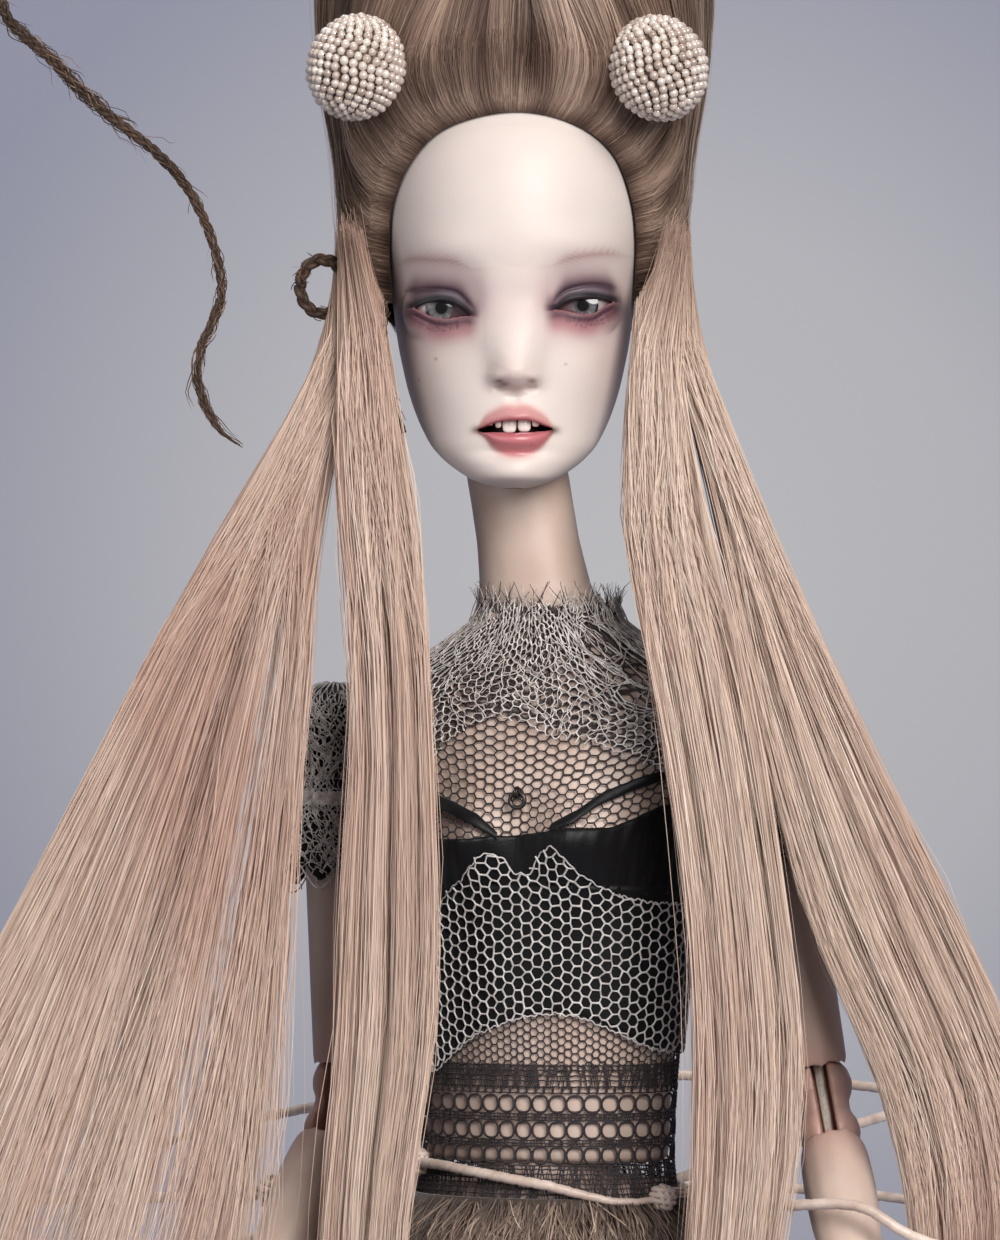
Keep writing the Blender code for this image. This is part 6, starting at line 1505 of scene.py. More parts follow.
def build_bodice(sizes, colours):
    """Black satin bra and corset ground with silver net over it, and black tulle on the chest above."""
    satin = satin_material("black_satin", colours.satin, 0.45)
    silver = thread_material("silver_thread", toned(SILVER, colours.silver), 0.45)
    black = thread_material("black_tulle_thread", toned(LACE, colours.lace), 0.6, 0.1)
    bra_top, net_top, net_low = edge_of(BRA_TOP, 0.3085), edge_of(NET_TOP, 0.3000), edge_of(NET_LOW, 0.2740)

    def crease(angle, z):
        return 0.00012 * np.cos(26 * angle + 300 * z) + 0.0001 * np.cos(61 * angle - 500 * z)

    bra = band("bra_satin", level(0.2985), bra_top, 0.0004, sizes.satin_thickness, satin, "chest",
               ruffle=crease)
    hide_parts("bra")
    ground = band("corset_ground", lambda angle: net_low(angle) + 0.0003, level(0.3000), 0.0005,
                  sizes.satin_thickness,
                  satin, across_joint("rib_bend", "midriff", "chest"), rows=24)

    def lean(x, z, rng):
        slant = x + 0.10 * (0.300 - z)
        return slant + 0.0010 * rng.normal(size=x.shape), z + 0.00009 * rng.normal(size=z.shape)

    starts, ends = honeycomb(sizes.corset_cell, 0.00176, 0.268, 0.309, lambda a,
                             z: (z < net_top(a)) & (z > net_low(a)), lean, 3)
    corset = net("corset_net", starts, ends, sizes.corset_thread, 0.00112, silver,
                 across_joint("rib_bend", "midriff", "chest"),
                 sides=4, wobble=0.00005)
    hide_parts("net_corset")
    rim = np.linspace(-pi, pi, 900)
    edges = []
    for edge in (net_top, net_low):
        z = edge(rim) + 0.00022 * np.sin(rim * 84) * np.sin(rim * 31 + 1)
        edges.append(torso(rim, z, 0.00112))
    points, faces = tubes(np.array(edges), 0.00012, 4)
    rims = make_object("corset_rims", points, faces, silver, across_joint("rib_bend", "midriff", "chest"))

    def ease(x, z, rng):
        return x + 0.0006 * rng.normal(size=x.shape), z + 0.00005 * rng.normal(size=z.shape)

    starts, ends = honeycomb(sizes.tulle_cell, 0.00138, 0.3035, 0.3380, lambda a, z: z > bra_top(a) - 0.001,
                             ease, 4)
    tulle = net("chest_tulle", starts, ends, 0.000112, 0.00042, black, "chest", steps=2, sides=4)
    straps = []
    for route in (((550, 822), (573, 811), (599, 793), (630, 780), (655, 772), (676, 765)),
                  ((500, 831), (480, 815), (459, 804), (440, 796), (420, 786))):
        rows = on_body(route)
        rows = rows if route[0][0] < route[-1][0] else rows[::-1]
        s = np.linspace(0, len(rows) - 1, 60)
        angle = np.interp(s, np.arange(len(rows)), rows[:, 0])
        z = np.interp(s, np.arange(len(rows)), rows[:, 1])
        across = np.linspace(-1, 1, 9)[:, None]
        wide = 0.0008 * np.clip(s * 0.5 + 0.7, 0, 1.15)
        sheet = torso(angle, z + across * wide, 0.0010 + 0.0002 * (1 - across ** 2))
        under = torso(angle, z + across * wide, 0.0008 + 0 * across)
        straps.append((np.concatenate([sheet, under[::-1]]).reshape(-1, 3), grid_faces(18, 60, False, True)))
    points, faces = gather(straps)
    strap = make_object("bra_straps", points, faces, satin, "chest")


HOLES = ((598, 640, 0.0026), (618, 655, 0.0020), (607, 668, 0.0018), (632, 690, 0.0017), (600, 620, 0.0016))


def build_yoke(sizes, colours):
    """The torn net over the shoulders: pulled cells, ladders and holes, a frayed upper edge and
    loose threads."""
    taupe = thread_material("taupe_thread", toned(TORN_NET, colours.torn_net))
    dark = thread_material("dark_fray", FRAY, 0.7, 0.1)
    low = edge_of(YOKE_LOW, 0.3150)
    holes = [(*on_body(((px, py),))[0], size) for px, py, size in HOLES]
    shoulders = [np.array(joint_place(f"{side}_shoulder_swing")) for side in ("left", "right")]

    def clear(angle, z):
        place = torso(angle, z, 0.001)
        free = np.ones(len(place), bool)
        for centre in shoulders:
            free &= np.linalg.norm(place - centre, axis=1) > 0.0073
        return free

    def pull(x, z, rng):
        a = turn_at(x)
        shift = 0.16 * np.sin(9 * a + 80 * z) + 0.10 * np.sin(23 * a - 220 * z + 1)
        z2 = z + 0.0006 * np.sin(7 * a + 150 * z) + 0.0003 * np.sin(17 * a + 300
                                                                    * z) + 0.00008 * rng.normal(size=z.shape)
        x2 = x + 0.0018 * np.sin(11 * a + 200 * z) + 0.0006 * rng.normal(size=x.shape) + 0.002 * shift
        for ha, hz, size in holes:
            dx, dz = (a - ha) * 0.020, z - hz
            far = np.hypot(dx, dz) + 1e-6
            push = size * np.exp(-(far / (1.5 * size)) ** 2)
            x2 = x2 + dx / far * push / GIRTH
            z2 = z2 + dz / far * push
        return x2, z2

    top = 0.3402
    starts, ends = honeycomb(sizes.yoke_cell, 0.00122, 0.309, 0.3425,
                             lambda a, z: (z > low(a)) & (z < top + 0.0015 * np.sin(13 * a)) & clear(a, z),
                             pull, 5, 0.02)
    yoke = net("yoke_net", starts, ends, sizes.yoke_thread, 0.0011, taupe, "chest", sides=3, wobble=0.00012)
    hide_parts("net_yoke")
    starts, ends = honeycomb(0.00116, 0.00130, 0.3090, 0.3415,
                             lambda a, z: (z > low(a) + 0.0008) & (z < top) & clear(a, z), pull, 6, 0.10)
    second = net("yoke_under_net", starts, ends, 0.00017, 0.0005, dark, "chest", steps=2, sides=4)
    rng = np.random.default_rng(7)
    count, steps = 460, 9
    a = rng.uniform(-pi, pi, count)
    z = rng.uniform(0.0, 1.0, count) * (top - low(a)) + low(a)
    heading = rng.normal(1.4, 0.6, count)
    s = np.linspace(0, 1, steps)
    length = rng.uniform(0.002, 0.0075, count)
    paths_a = a[:, None] + (np.cos(heading) * length)[:, None] * s / 0.02
    paths_a = paths_a + 0.02 * np.cumsum(rng.normal(0, 1, (count, steps)), 1) * 0.5
    paths_z = z[:, None] + (np.sin(heading)
                            * length)[:, None] * s + 0.00012 * np.cumsum(rng.normal(0, 1, (count, steps)), 1)
    inside = (paths_z.max(1) < 0.3425) & (paths_z.min(1) > low(paths_a).min(1)) & clear(paths_a.mean(1),
                                                                                        paths_z.mean(1))
    lines = torso(paths_a, paths_z, 0.0014 + 0.0003 * np.sin(pi * s))[inside]
    points, faces = tubes(lines, 0.00007, 4)
    loose = make_object("yoke_loose_threads", points, faces, taupe, "chest")
    count = 260
    a = rng.uniform(-pi, pi, count)[:, None]
    rise = rng.uniform(0.001, 0.0045, count)[:, None]
    lean = rng.normal(0, 0.5, count)[:, None]
    z = top - 0.0006 + rise * s
    out = 0.0010 + rise * (0.25 * s + rng.normal(0, 0.25, count)[:, None] * s ** 2)
    fray_lines = torso(a + lean * rise * s / 0.012, np.minimum(z, 0.3440), out)
    half = count // 2
    for name, lines, material in (("yoke_fray", fray_lines[:half], taupe),
                                  ("yoke_dark_fray", fray_lines[half:], dark)):
        points, faces = tubes(lines, 0.00008 * (1.1 - 0.6 * s)[None] * np.ones((len(lines), 1)), 4)
        make_object(name, points, faces, material, "chest")


def build_lace(sizes, colours):
    """The stocking lace of the waist: six-sided net, dense bands, three rows of ovals and knotted
    borders."""
    black = thread_material("black_lace_thread", toned(LACE, colours.lace), 0.65, 0.1)
    net_low = edge_of(NET_LOW, 0.2740)

    def ease(x, z, rng):
        return x + 0.0005 * rng.normal(size=x.shape), z + 0.00005 * rng.normal(size=z.shape)

    starts, ends = honeycomb(0.00104, 0.00122, 0.2725, 0.2835, lambda a, z: z < net_low(a) + 0.0015, ease, 8)
    mesh = net("belly_tulle", starts, ends, 0.00010, 0.00045, black, "midriff", steps=2, sides=4)
    ring = np.linspace(0, 1, 220)
    pitch = sizes.oval_pitch
    number = int(GIRTH * 0.9 / pitch)
    rng = np.random.default_rng(9)
    ovals, cords = [], []
    for height in (0.26820, 0.26440, 0.26075):
        for k in range(number):
            turn = 2 * pi * np.linspace(0, 1, 17)
            wide = 0.47 * rng.uniform(0.95, 1.04) / number
            x = (k + 0.5) / number + wide * np.sign(np.cos(turn)) * np.abs(np.cos(turn)) ** 0.75
            z = height + 0.00122 * np.sin(turn)
            ovals.append(torso(turn_at(x), z, 0.00050))
    for height in (0.2738, 0.2731, 0.2723, 0.2716, 0.2707, 0.2698, 0.26675, 0.2663, 0.26585, 0.26295, 0.2625,
                   0.2621, 0.25925, 0.2587, 0.2580, 0.2573, 0.2566, 0.2559, 0.2551, 0.2544):
        z = height + 0.00006 * np.sin(2 * pi * ring * 61 + height * 9000)
        cords.append(torso(turn_at(ring), z, 0.00052 + 0.00006 * np.sin(2 * pi * ring * 180)))
    fine = []
    for low, high in ((0.2704, 0.2740), (0.26575, 0.26685), (0.2620, 0.2630), (0.2542, 0.2593)):
        count = 480
        x = np.sort(rng.uniform(0, 1, count))
        s = np.linspace(0, 1, 2)
        slant = rng.choice([-1, 1], count) * 0.004 * (high - low) / 0.002
        fine.append(torso(turn_at(x[:, None] + slant[:, None] * s), low + (high - low) * s + 0 * x[:, None],
                          0.00048))
    for k in range(number * 2):
        x = (k + 0.5 * rng.uniform(0.9, 1.1)) / (number * 2)
        posts = torso(turn_at(np.full(5, x)), np.linspace(0.2697, 0.2708, 5), 0.0005)
        ovals.append(np.repeat(posts, 4, 0)[:17])
    parts = [tubes(np.array(ovals), 0.00019, 4), tubes(np.array(cords), 0.00011, 4),
             tubes(np.concatenate(fine), 0.00008, 4)]
    points, faces = gather(parts)
    lace = make_object("waist_lace", points, faces, black, across_joint("waist_tilt", "pelvis", "midriff"))
    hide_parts("lace_midriff")


def sleeve_frame(side):
    """Centre line of the upper arm: its top, its direction down the arm, and two directions across it."""
    top, bottom = (np.array(joint_place(f"{side}_{name}")) for name in ("shoulder_swing", "upper_elbow"))
    down = (bottom - top) / np.linalg.norm(bottom - top)
    ahead = np.cross(down, np.array([1.0, 0, 0]))
    ahead /= np.linalg.norm(ahead)
    return top, down, np.cross(ahead, down), ahead


def build_sleeves(sizes, colours):
    """Cap sleeves of gathered net over a dark lining, with a drawn-in band and torn points at the hem."""
    taupe = thread_material("sleeve_thread", toned(TORN_NET, colours.torn_net))
    dark = satin_material("sleeve_lining", linear("#141012"), 0.6)
    for number, side in enumerate(("left", "right")):
        top, down, across, ahead = sleeve_frame(side)
        rng = np.random.default_rng(90 + number)
        outward = 1 if side == "left" else -1

        def arm(turn, along, radius):
            turn, along, radius = np.broadcast_arrays(turn, along, radius)
            return (top + along[..., None] * down + (radius * np.cos(turn))[..., None] * across
                    + (radius * np.sin(turn))[..., None] * ahead)

        def size(turn, along):
            over = np.sqrt(np.clip(0.0084 ** 2 - np.minimum(along, 0.0) ** 2, 1e-8, None))
            if np.any(along < 0.004):
                body = size_below(turn, np.maximum(along, 0.004))
                cap = over - 0.0001 * np.cos(17 * turn)
                return cap + (body - cap) * ramp(along, 0.0, 0.004)
            return size_below(turn, along)

        def size_below(turn, along):
            gather = hill(along - 0.0085, 0.0016)
            puff = 0.0009 * hill(along - 0.0135, 0.0045) + 0.0006 * hill(along - 0.0055, 0.003)
            out = np.clip(outward * (across[0] * np.cos(turn) + ahead[0] * np.sin(turn)), 0, 1)
            flare = out * (0.0010 * ramp(along, 0.002, 0.006) + 0.0026 * ramp(along, 0.0105, 0.0185))
            return 0.00610 + flare + puff - 0.00025 * gather + 0.00022 * np.cos(17 * turn
                                                                                + 2) * (0.4 + gather)

        def hem(turn):
            return 0.0195 + 0.0022 * np.cos(3 * turn + 1.0 + number) + 0.0014 * np.cos(7 * turn)

        turn = np.linspace(0, 2 * pi, 96, endpoint=False)
        t = np.linspace(0, 1, 24)[:, None]
        along = -0.0080 + (hem(turn) - 0.0012 + 0.0080) * t
        outer = arm(turn, along, size(turn, along) - 0.00035)
        inner = arm(turn, along, size(turn, along) - 0.00055)
        limit = outward * top[0] - 0.0040
        quads = grid_faces(48, 96, True, True)
        cloth = np.concatenate([outer, inner[::-1]]).reshape(-1, 3)
        free = (outward * cloth[:, 0] > limit)[quads].all(1) | (cloth[:, 2] < top[2] - 0.0070)[quads].all(1)
        hold = (f"{side}_shoulder_ball", f"{side}_upper_arm", tuple(top - 0.0040 * down),
                tuple(top + 0.0080 * down))
        lining = make_object(f"{side}_sleeve_lining", cloth, quads[free], dark, hold)
        count, steps = 900, 7
        a = rng.uniform(0, 2 * pi, count)[:, None]
        first_along = rng.uniform(-0.0080, 0.0185, count)[:, None]
        s = np.linspace(0, 1, steps)
        slant = rng.choice([-1, 1], count)[:, None] * rng.uniform(0.2, 0.9, count)[:, None]
        run = rng.uniform(0.002, 0.0055, count)[:, None]
        lines_along = first_along + run * s
        lines_turn = a + slant * run * s / 0.0062 + 0.04 * np.sin(5 * s * pi)
        keep = lines_along.max(1) < hem(a[:, 0]) + 0.0015
        web = arm(lines_turn, lines_along,
                  size(lines_turn, lines_along) + 0.00015 + 0.0002 * rng.random((count, 1)))[keep]
        bands = []
        for k in range(9):
            at = 0.0080 + 0.00022 * k
            turn_line = np.linspace(0, 2 * pi, 97)
            bands.append(arm(turn_line, at + 0.0001 * np.sin(40 * turn_line + k),
                             size(turn_line, at + 0 * turn_line) + 0.0002))
        edge_turn = np.linspace(0, 2 * pi, 97)
        bands.append(arm(edge_turn, hem(edge_turn), size(edge_turn, hem(edge_turn)) + 0.0001))

        def clear(lines):
            place = lines.mean(1)
            return lines[(outward * place[:, 0] > limit) | (place[:, 2] < top[2] - 0.0070)]

        parts = [tubes(clear(web), 0.00012, 3), tubes(np.array(bands), 0.00014, 4)]
        cells = []
        for k in range(34):
            for j in range(17):
                centre_turn = 2 * pi * (k + 0.5 * (j % 2)) / 34 + rng.normal(0, 0.02)
                centre_along = -0.0072 + 0.00155 * j + rng.normal(0, 0.0001)
                if centre_along > hem(centre_turn) - 0.0006:
                    continue
                loop = 2 * pi * np.linspace(0, 1, 7)
                lt = centre_turn + 0.092 * np.cos(loop)
                la = centre_along + 0.00092 * np.sin(loop)
                cells.append(arm(lt, la, size(lt, la) + 0.0001))
        parts.append(tubes(clear(np.array(cells)), 0.00012, 3))
        points, faces = gather(parts)
        made = make_object(f"{side}_sleeve_net", points, faces, taupe, hold)
        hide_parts(f"{side}_sleeve")


BELT_ROUTE = ((400, 1165), (425, 1156), (455, 1160), (492, 1166), (547, 1176), (579, 1185), (607, 1192),
              (630, 1193), (660, 1189))


def wound(path, radius, turns, sides=12, groove=0.13, closed=False):
    """A cord wrapped with narrow satin ribbon: the radius dips along a spiral where one wrap meets
    the next."""
    count = len(path)
    points, faces = tubes(np.asarray(path)[None], 1.0, sides, closed)
    points = points.reshape(count, sides, 3)
    axis = np.asarray(path)[:, None]
    spin = 2 * pi * np.arange(sides) / sides
    s = np.linspace(0, 1, count, endpoint=not closed)[:, None]
    phase = np.mod(s * turns + spin[None] / (2 * pi), 1.0)
    dip = 1 - groove * np.exp(-(np.minimum(phase, 1 - phase) / 0.10) ** 2)
    wide = np.broadcast_to(np.asarray(radius, float).reshape(-1, 1), (count, 1))
    return (axis + (points - axis) * wide[..., None] * dip[..., None]).reshape(-1, 3), faces


def cord_material(colour):
    """Old rose satin ribbon and cord, slightly lustrous."""
    material, tree, shader = nodes_of("rose_satin_cord")
    worn = noise(tree, 260, 4)
    ramped = ramp_node(tree, worn.outputs["Fac"], toned(CORD, colour))
    link(ramped, "Color", shader, "Base Color")
    settle(shader, {"Roughness": 0.40, "Sheen Weight": 0.35})
    thread = noise(tree, 2200, 2)
    bump_from(tree, shader, thread.outputs["Fac"], 0.2, 0.0002)
    return material


SKIRT_TOP, SKIRT_LENGTH, SKIRT_THICKNESS = 0.2527, 0.0500, 0.0016
SKIRT_SHARES = ((0.0, 0.0), (0.20, 0.20), (0.42, 0.40), (0.68, 0.68), (1.0, 1.0))


def skirt_point(angle, fall, proud):
    """A place on the flared skirt, fall down it from 0 at the waist to 1 at the hem."""
    angle, fall, proud = np.broadcast_arrays(angle, fall, proud)
    flare = np.interp(fall, *np.array(SKIRT_SHARES).T)
    z = SKIRT_TOP - fall * SKIRT_LENGTH
    spread = 0.0006 + 0.0077 * flare + 0.0029 * np.clip(3 * fall, 0, 1)
    place = torso(angle, np.maximum(z, HIP_Z - 0.030 * TORSO_SPAN), spread + proud)
    return np.stack([place[..., 0], place[..., 1] * (1 + 0.3 * flare), z], -1)


def fur_material(colour):
    """Short brown-grey fur, each hair light at its tip."""
    material, tree, shader = nodes_of("brown_fur")
    tone = add(tree, "ShaderNodeAttribute", attribute_name="tone")
    ramped = ramp_node(tree, tone.outputs["Fac"], toned(FUR, colour))
    link(ramped, "Color", shader, "Base Color")
    settle(shader, {"Roughness": 0.6, "Sheen Weight": 0.3})
    return material


def build_skirt(sizes, colours):
    """The fur skirt: a closed flared ground with the pile laid down and outwards over it."""
    fur = fur_material(colours.fur)
    columns, rows = 160, 30
    angle = np.linspace(-pi, pi, columns, endpoint=False)
    fall = np.linspace(-0.035, 1, rows)[:, None]
    fold = 0.0003 * np.cos(9 * angle) * fall
    outer = skirt_point(angle, fall, SKIRT_THICKNESS - 0.0008 + fold)
    inner = skirt_point(angle, fall, 0.0001 + fold)
    quads = grid_faces(2 * rows, columns, True, True)
    ground = make_object("skirt_ground", np.concatenate([outer, inner[::-1]]), quads, fur, "pelvis", None,
                         np.full(2 * rows * columns, 0.02))
    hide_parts("fur_skirt")
    rng = np.random.default_rng(101)
    count, steps = sizes.pile_hairs, 4
    s = np.linspace(0, 1, steps)
    a = rng.uniform(-pi, pi, (count, 1))
    f = np.where(rng.random((count, 1)) < 0.34, rng.uniform(0, 0.10, (count, 1)),
                 rng.uniform(0, 1, (count, 1)) ** 0.9) - 0.035
    tufts = np.stack([np.sin(31 * a[:, 0] + 17 * f[:, 0] * 3), np.cos(23 * a[:, 0] - 29 * f[:, 0])], -1)
    lean = (0.35 * tufts[:, :1] + 0.30 * rng.normal(size=(count, 1)))
    length = rng.uniform(0.47 * sizes.pile_length, sizes.pile_length, (count, 1))
    down = length * s * rng.uniform(0.75, 1.0, (count, 1)) / SKIRT_LENGTH
    out = 0.0004 + 0.0026 * np.sin(pi * s * 0.75) * rng.uniform(0.3, 1.0, (count, 1)) ** 1.5
    lines = skirt_point(a + lean * length * s / 0.03, np.minimum(f + down, 1.09),
                        SKIRT_THICKNESS - 0.0008 + out)
    lines[..., 2] = np.maximum(lines[..., 2], SKIRT_TOP - SKIRT_LENGTH - 0.0030)
    tone = 0.38 + 0.14 * rng.normal(size=(count, 1)) + 0.12 * tufts[:, 1:2] + 0.34 * (s - 0.55)
    flat = torso(a[:, 0], 0.24, 0.01) * np.array([1, 1, 0]) + 0.01 * rng.normal(size=(count, 3))
    widths = 0.00015 * rng.uniform(0.6, 1.4, (count, 1)) * np.clip((1 - s) * 3 + 0.12, 0, 1)
    points, faces = ribbons(lines, widths, flat)
    pile = make_object("skirt_pile", points, faces, fur, "pelvis", None, np.repeat(tone[:, :, None], 2, 2))


UPPER_HOOP, LOWER_HOOP = (0.0870, 0.2480, radians(12)), (0.1040, 0.2200, radians(15))
TIE_ROUTES = (
    (-12.0, ((0.44, 0.200, -0.005), (0.60, 0.247, 0.000), (0.71, 0.235, -0.055))),
    (172.0, ((-0.55, -0.060, -0.030),)),
    (62.0, ()),
    (118.0, ()),
)

# Knots of ribbon on the belt: share of the way round from the middle of the back, and the knot's radius.
KNOTS = ((0.305, 0.0013), (0.700, 0.0012))


def hoop_place(hoop, spin):
    radius, height, tilt = hoop
    spin = np.asarray(spin, float)
    return np.stack([radius * np.cos(spin), radius * np.sin(spin),
                     height + np.tan(tilt) * radius * np.sin(spin)], -1)


def wrap_ring(centre, along, radius, turns, wire, size=1.0):
    """A few turns of thin cord round another cord at centre, running along the given direction."""
    along = np.asarray(along, float) / np.linalg.norm(along)
    n = np.cross(along, np.array([0.31, 0.22, 0.93]))
    n /= np.linalg.norm(n)
    b = np.cross(along, n)
    q = np.linspace(0, 2 * pi * turns, int(turns * 16))
    bulge = radius * (1 + 0.45 * size * np.sin(pi * q / q[-1]))
    path = (np.asarray(centre) + np.outer(wire * 2.0 * (q / (2 * pi) - turns / 2), along)
            + (bulge * np.cos(q))[:, None] * n + (bulge * np.sin(q))[:, None] * b)
    return tubes(path[None], wire, 6)


def build_cage(sizes, colours):
    """The two hoops, their ties and the belt: wire wound with satin ribbon, knotted where they meet."""
    material = cord_material(colours.cord)
    belt_parts, upper_parts, lower_parts = [], [], []
    height = edge_of(BELT_ROUTE, 0.2558)
    ring = np.linspace(0, 1, 700, endpoint=False)
    angle = turn_at(ring)
    belt = torso(angle, np.clip(height(angle), 0.2536, 0.2590), 0.0016)
    thick = 0.00076 - 0.00022 * ramp(np.sin(angle), 0.1, 0.8)
    belt_parts.append(wound(belt, thick, 46, closed=True))
    spin = np.linspace(0, 2 * pi, 900, endpoint=False)
    upper_parts.append(wound(hoop_place(UPPER_HOOP, spin), sizes.cord_radius, 210, 10, closed=True))
    lower_parts.append(wound(hoop_place(LOWER_HOOP, spin), sizes.cord_radius, 250, 10, closed=True))
    belt_level = 0.2552
    for degrees, via in TIE_ROUTES:
        spin = radians(degrees)
        heading = np.array([cos(spin), sin(spin), 0.0])
        around = torso(TURNS, belt_level, 0.0016)
        start = around[np.argmax(around @ heading)] + 0.0016 * heading
        middle = [np.array([across * UPPER_HOOP[0], -forward * UPPER_HOOP[0],
                            belt_level + rise * UPPER_HOOP[0]])
                  for across, forward, rise in via]
        end = hoop_place(UPPER_HOOP, spin)
        path, length = smooth_path([start] + middle + [end], 160)
        upper_parts.append(wound(path, sizes.cord_radius, int(length / 0.0026), 10))
        belt_parts.append(wrap_ring(start - 0.0012 * heading, (0, 0, 1), 0.0010, 3, 0.00028))
        upper_parts.append(wrap_ring(end, np.cross(heading, (0, 0, 1)), 0.0010, 4, 0.00032))
        foot = hoop_place(LOWER_HOOP, spin)
        drop, length = smooth_path([end - np.array([0, 0, 0.0017]),
                                    (end + foot) / 2 - np.array([0, 0, 0.001]), foot], 90)
        lower_parts.append(wound(drop, sizes.cord_radius, int(length / 0.0026), 10))
        lower_parts.append(wrap_ring(foot, np.cross(heading, (0, 0, 1)), 0.0010, 4, 0.00032))
    for share, radius in KNOTS:
        at = belt[int(share * len(belt))]
        belt_parts.append(wrap_ring(at, (0.2, 0.1, 1.0), radius, 4, 0.00042))
        belt_parts.append(wrap_ring(at, (1.0, 0.6, 0.2), radius, 3, 0.00042))
    knob = np.array([-0.48 * UPPER_HOOP[0], 0.0047, belt_level - 0.0024])
    for shift in (-0.0016, 0.0, 0.0016):
        upper_parts.append(wrap_ring(knob + np.array([shift, 0, 0]), (0.4, 0.2, 1.0), 0.0022, 4, 0.00052))
    for name, node, parts in (("belt_cord", "waist_cord", belt_parts),
                              ("upper_hoop_cord", "upper_hoop", upper_parts),
                              ("lower_hoop_cord", "lower_hoop", lower_parts)):
        points, faces = gather(parts)
        made = make_object(name, points, faces, material, "pelvis")
        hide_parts(node)


def build_pendant(sizes, colours):
    """The dark metal ring sewn to the bra, with the thread loop that holds it."""
    material, tree, shader = nodes_of("dark_metal")
    settle(shader, {"Base Color": (*linear("#4a4644"), 1), "Metallic": 0.9})
    wear = noise(tree, 700, 2)
    rough = ramp_node(tree, wear.outputs["Fac"], [(0.3, (0.25, 0.25, 0.25)), (0.7, (0.45, 0.45, 0.45))])
    link(rough, "Color", shader, "Roughness")
    low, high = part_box("pendant_ring")
    low, high = np.array(low), np.array(high)
    centre, spin = (low + high) / 2, np.linspace(0, 2 * pi, 49)
    radius = (high[0] - low[0]) / 2 - 0.00035
    ring = centre + radius * np.stack([np.cos(spin), 0 * spin, np.sin(spin)], -1)
    parts = [tubes(ring[None], 0.00033, 10),
             wrap_ring(centre + np.array([0, 0, radius]), (1, 0, 0), 0.0006, 3, 0.00013)]
    points, faces = gather(parts)
    made = make_object("pendant_metal", points, faces, material, "chest")
    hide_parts("pendant_ring")


def build_fittings(sizes, colours):
    """Materials for the fittings whose solids are shown as they are: steel hook and bars, elastic,
    and the cap."""
    steel, tree, shader = nodes_of("brushed_steel")
    settle(shader, {"Base Color": (*linear("#b6b6ba"), 1), "Metallic": 1.0})
    brushed = noise(tree, 500, 3, stretch=(1, 1, 8))
    rough = ramp_node(tree, brushed.outputs["Fac"], [(0.3, (0.22, 0.22, 0.22)), (0.7, (0.42, 0.42, 0.42))])
    link(rough, "Color", shader, "Roughness")
    rubber, tree, shader = nodes_of("woven_elastic")
    weave = noise(tree, 1800, 2)
    colour = ramp_node(tree, weave.outputs["Fac"], ((0.3, "#d2cbbf"), (0.7, "#ece7dd")))
    link(colour, "Color", shader, "Base Color")
    settle(shader, {"Roughness": 0.8})
    bump_from(tree, shader, weave.outputs["Fac"], 0.4, 0.0002)
    for node in ("head_hook", "left_hand_bar", "right_hand_bar", "left_foot_bar", "right_foot_bar"):
        bpy.data.objects[node].data.materials.clear()
        bpy.data.objects[node].data.materials.append(steel)
    for node in ("left_body_elastic", "right_body_elastic", "arm_elastic"):
        bpy.data.objects[node].data.materials.clear()
        bpy.data.objects[node].data.materials.append(rubber)
    cap = bpy.data.objects["skull_cap"]
    cap.data.materials.clear()
    cap.data.materials.append(bpy.data.materials["blushed_resin"])


# Values, operators and panel

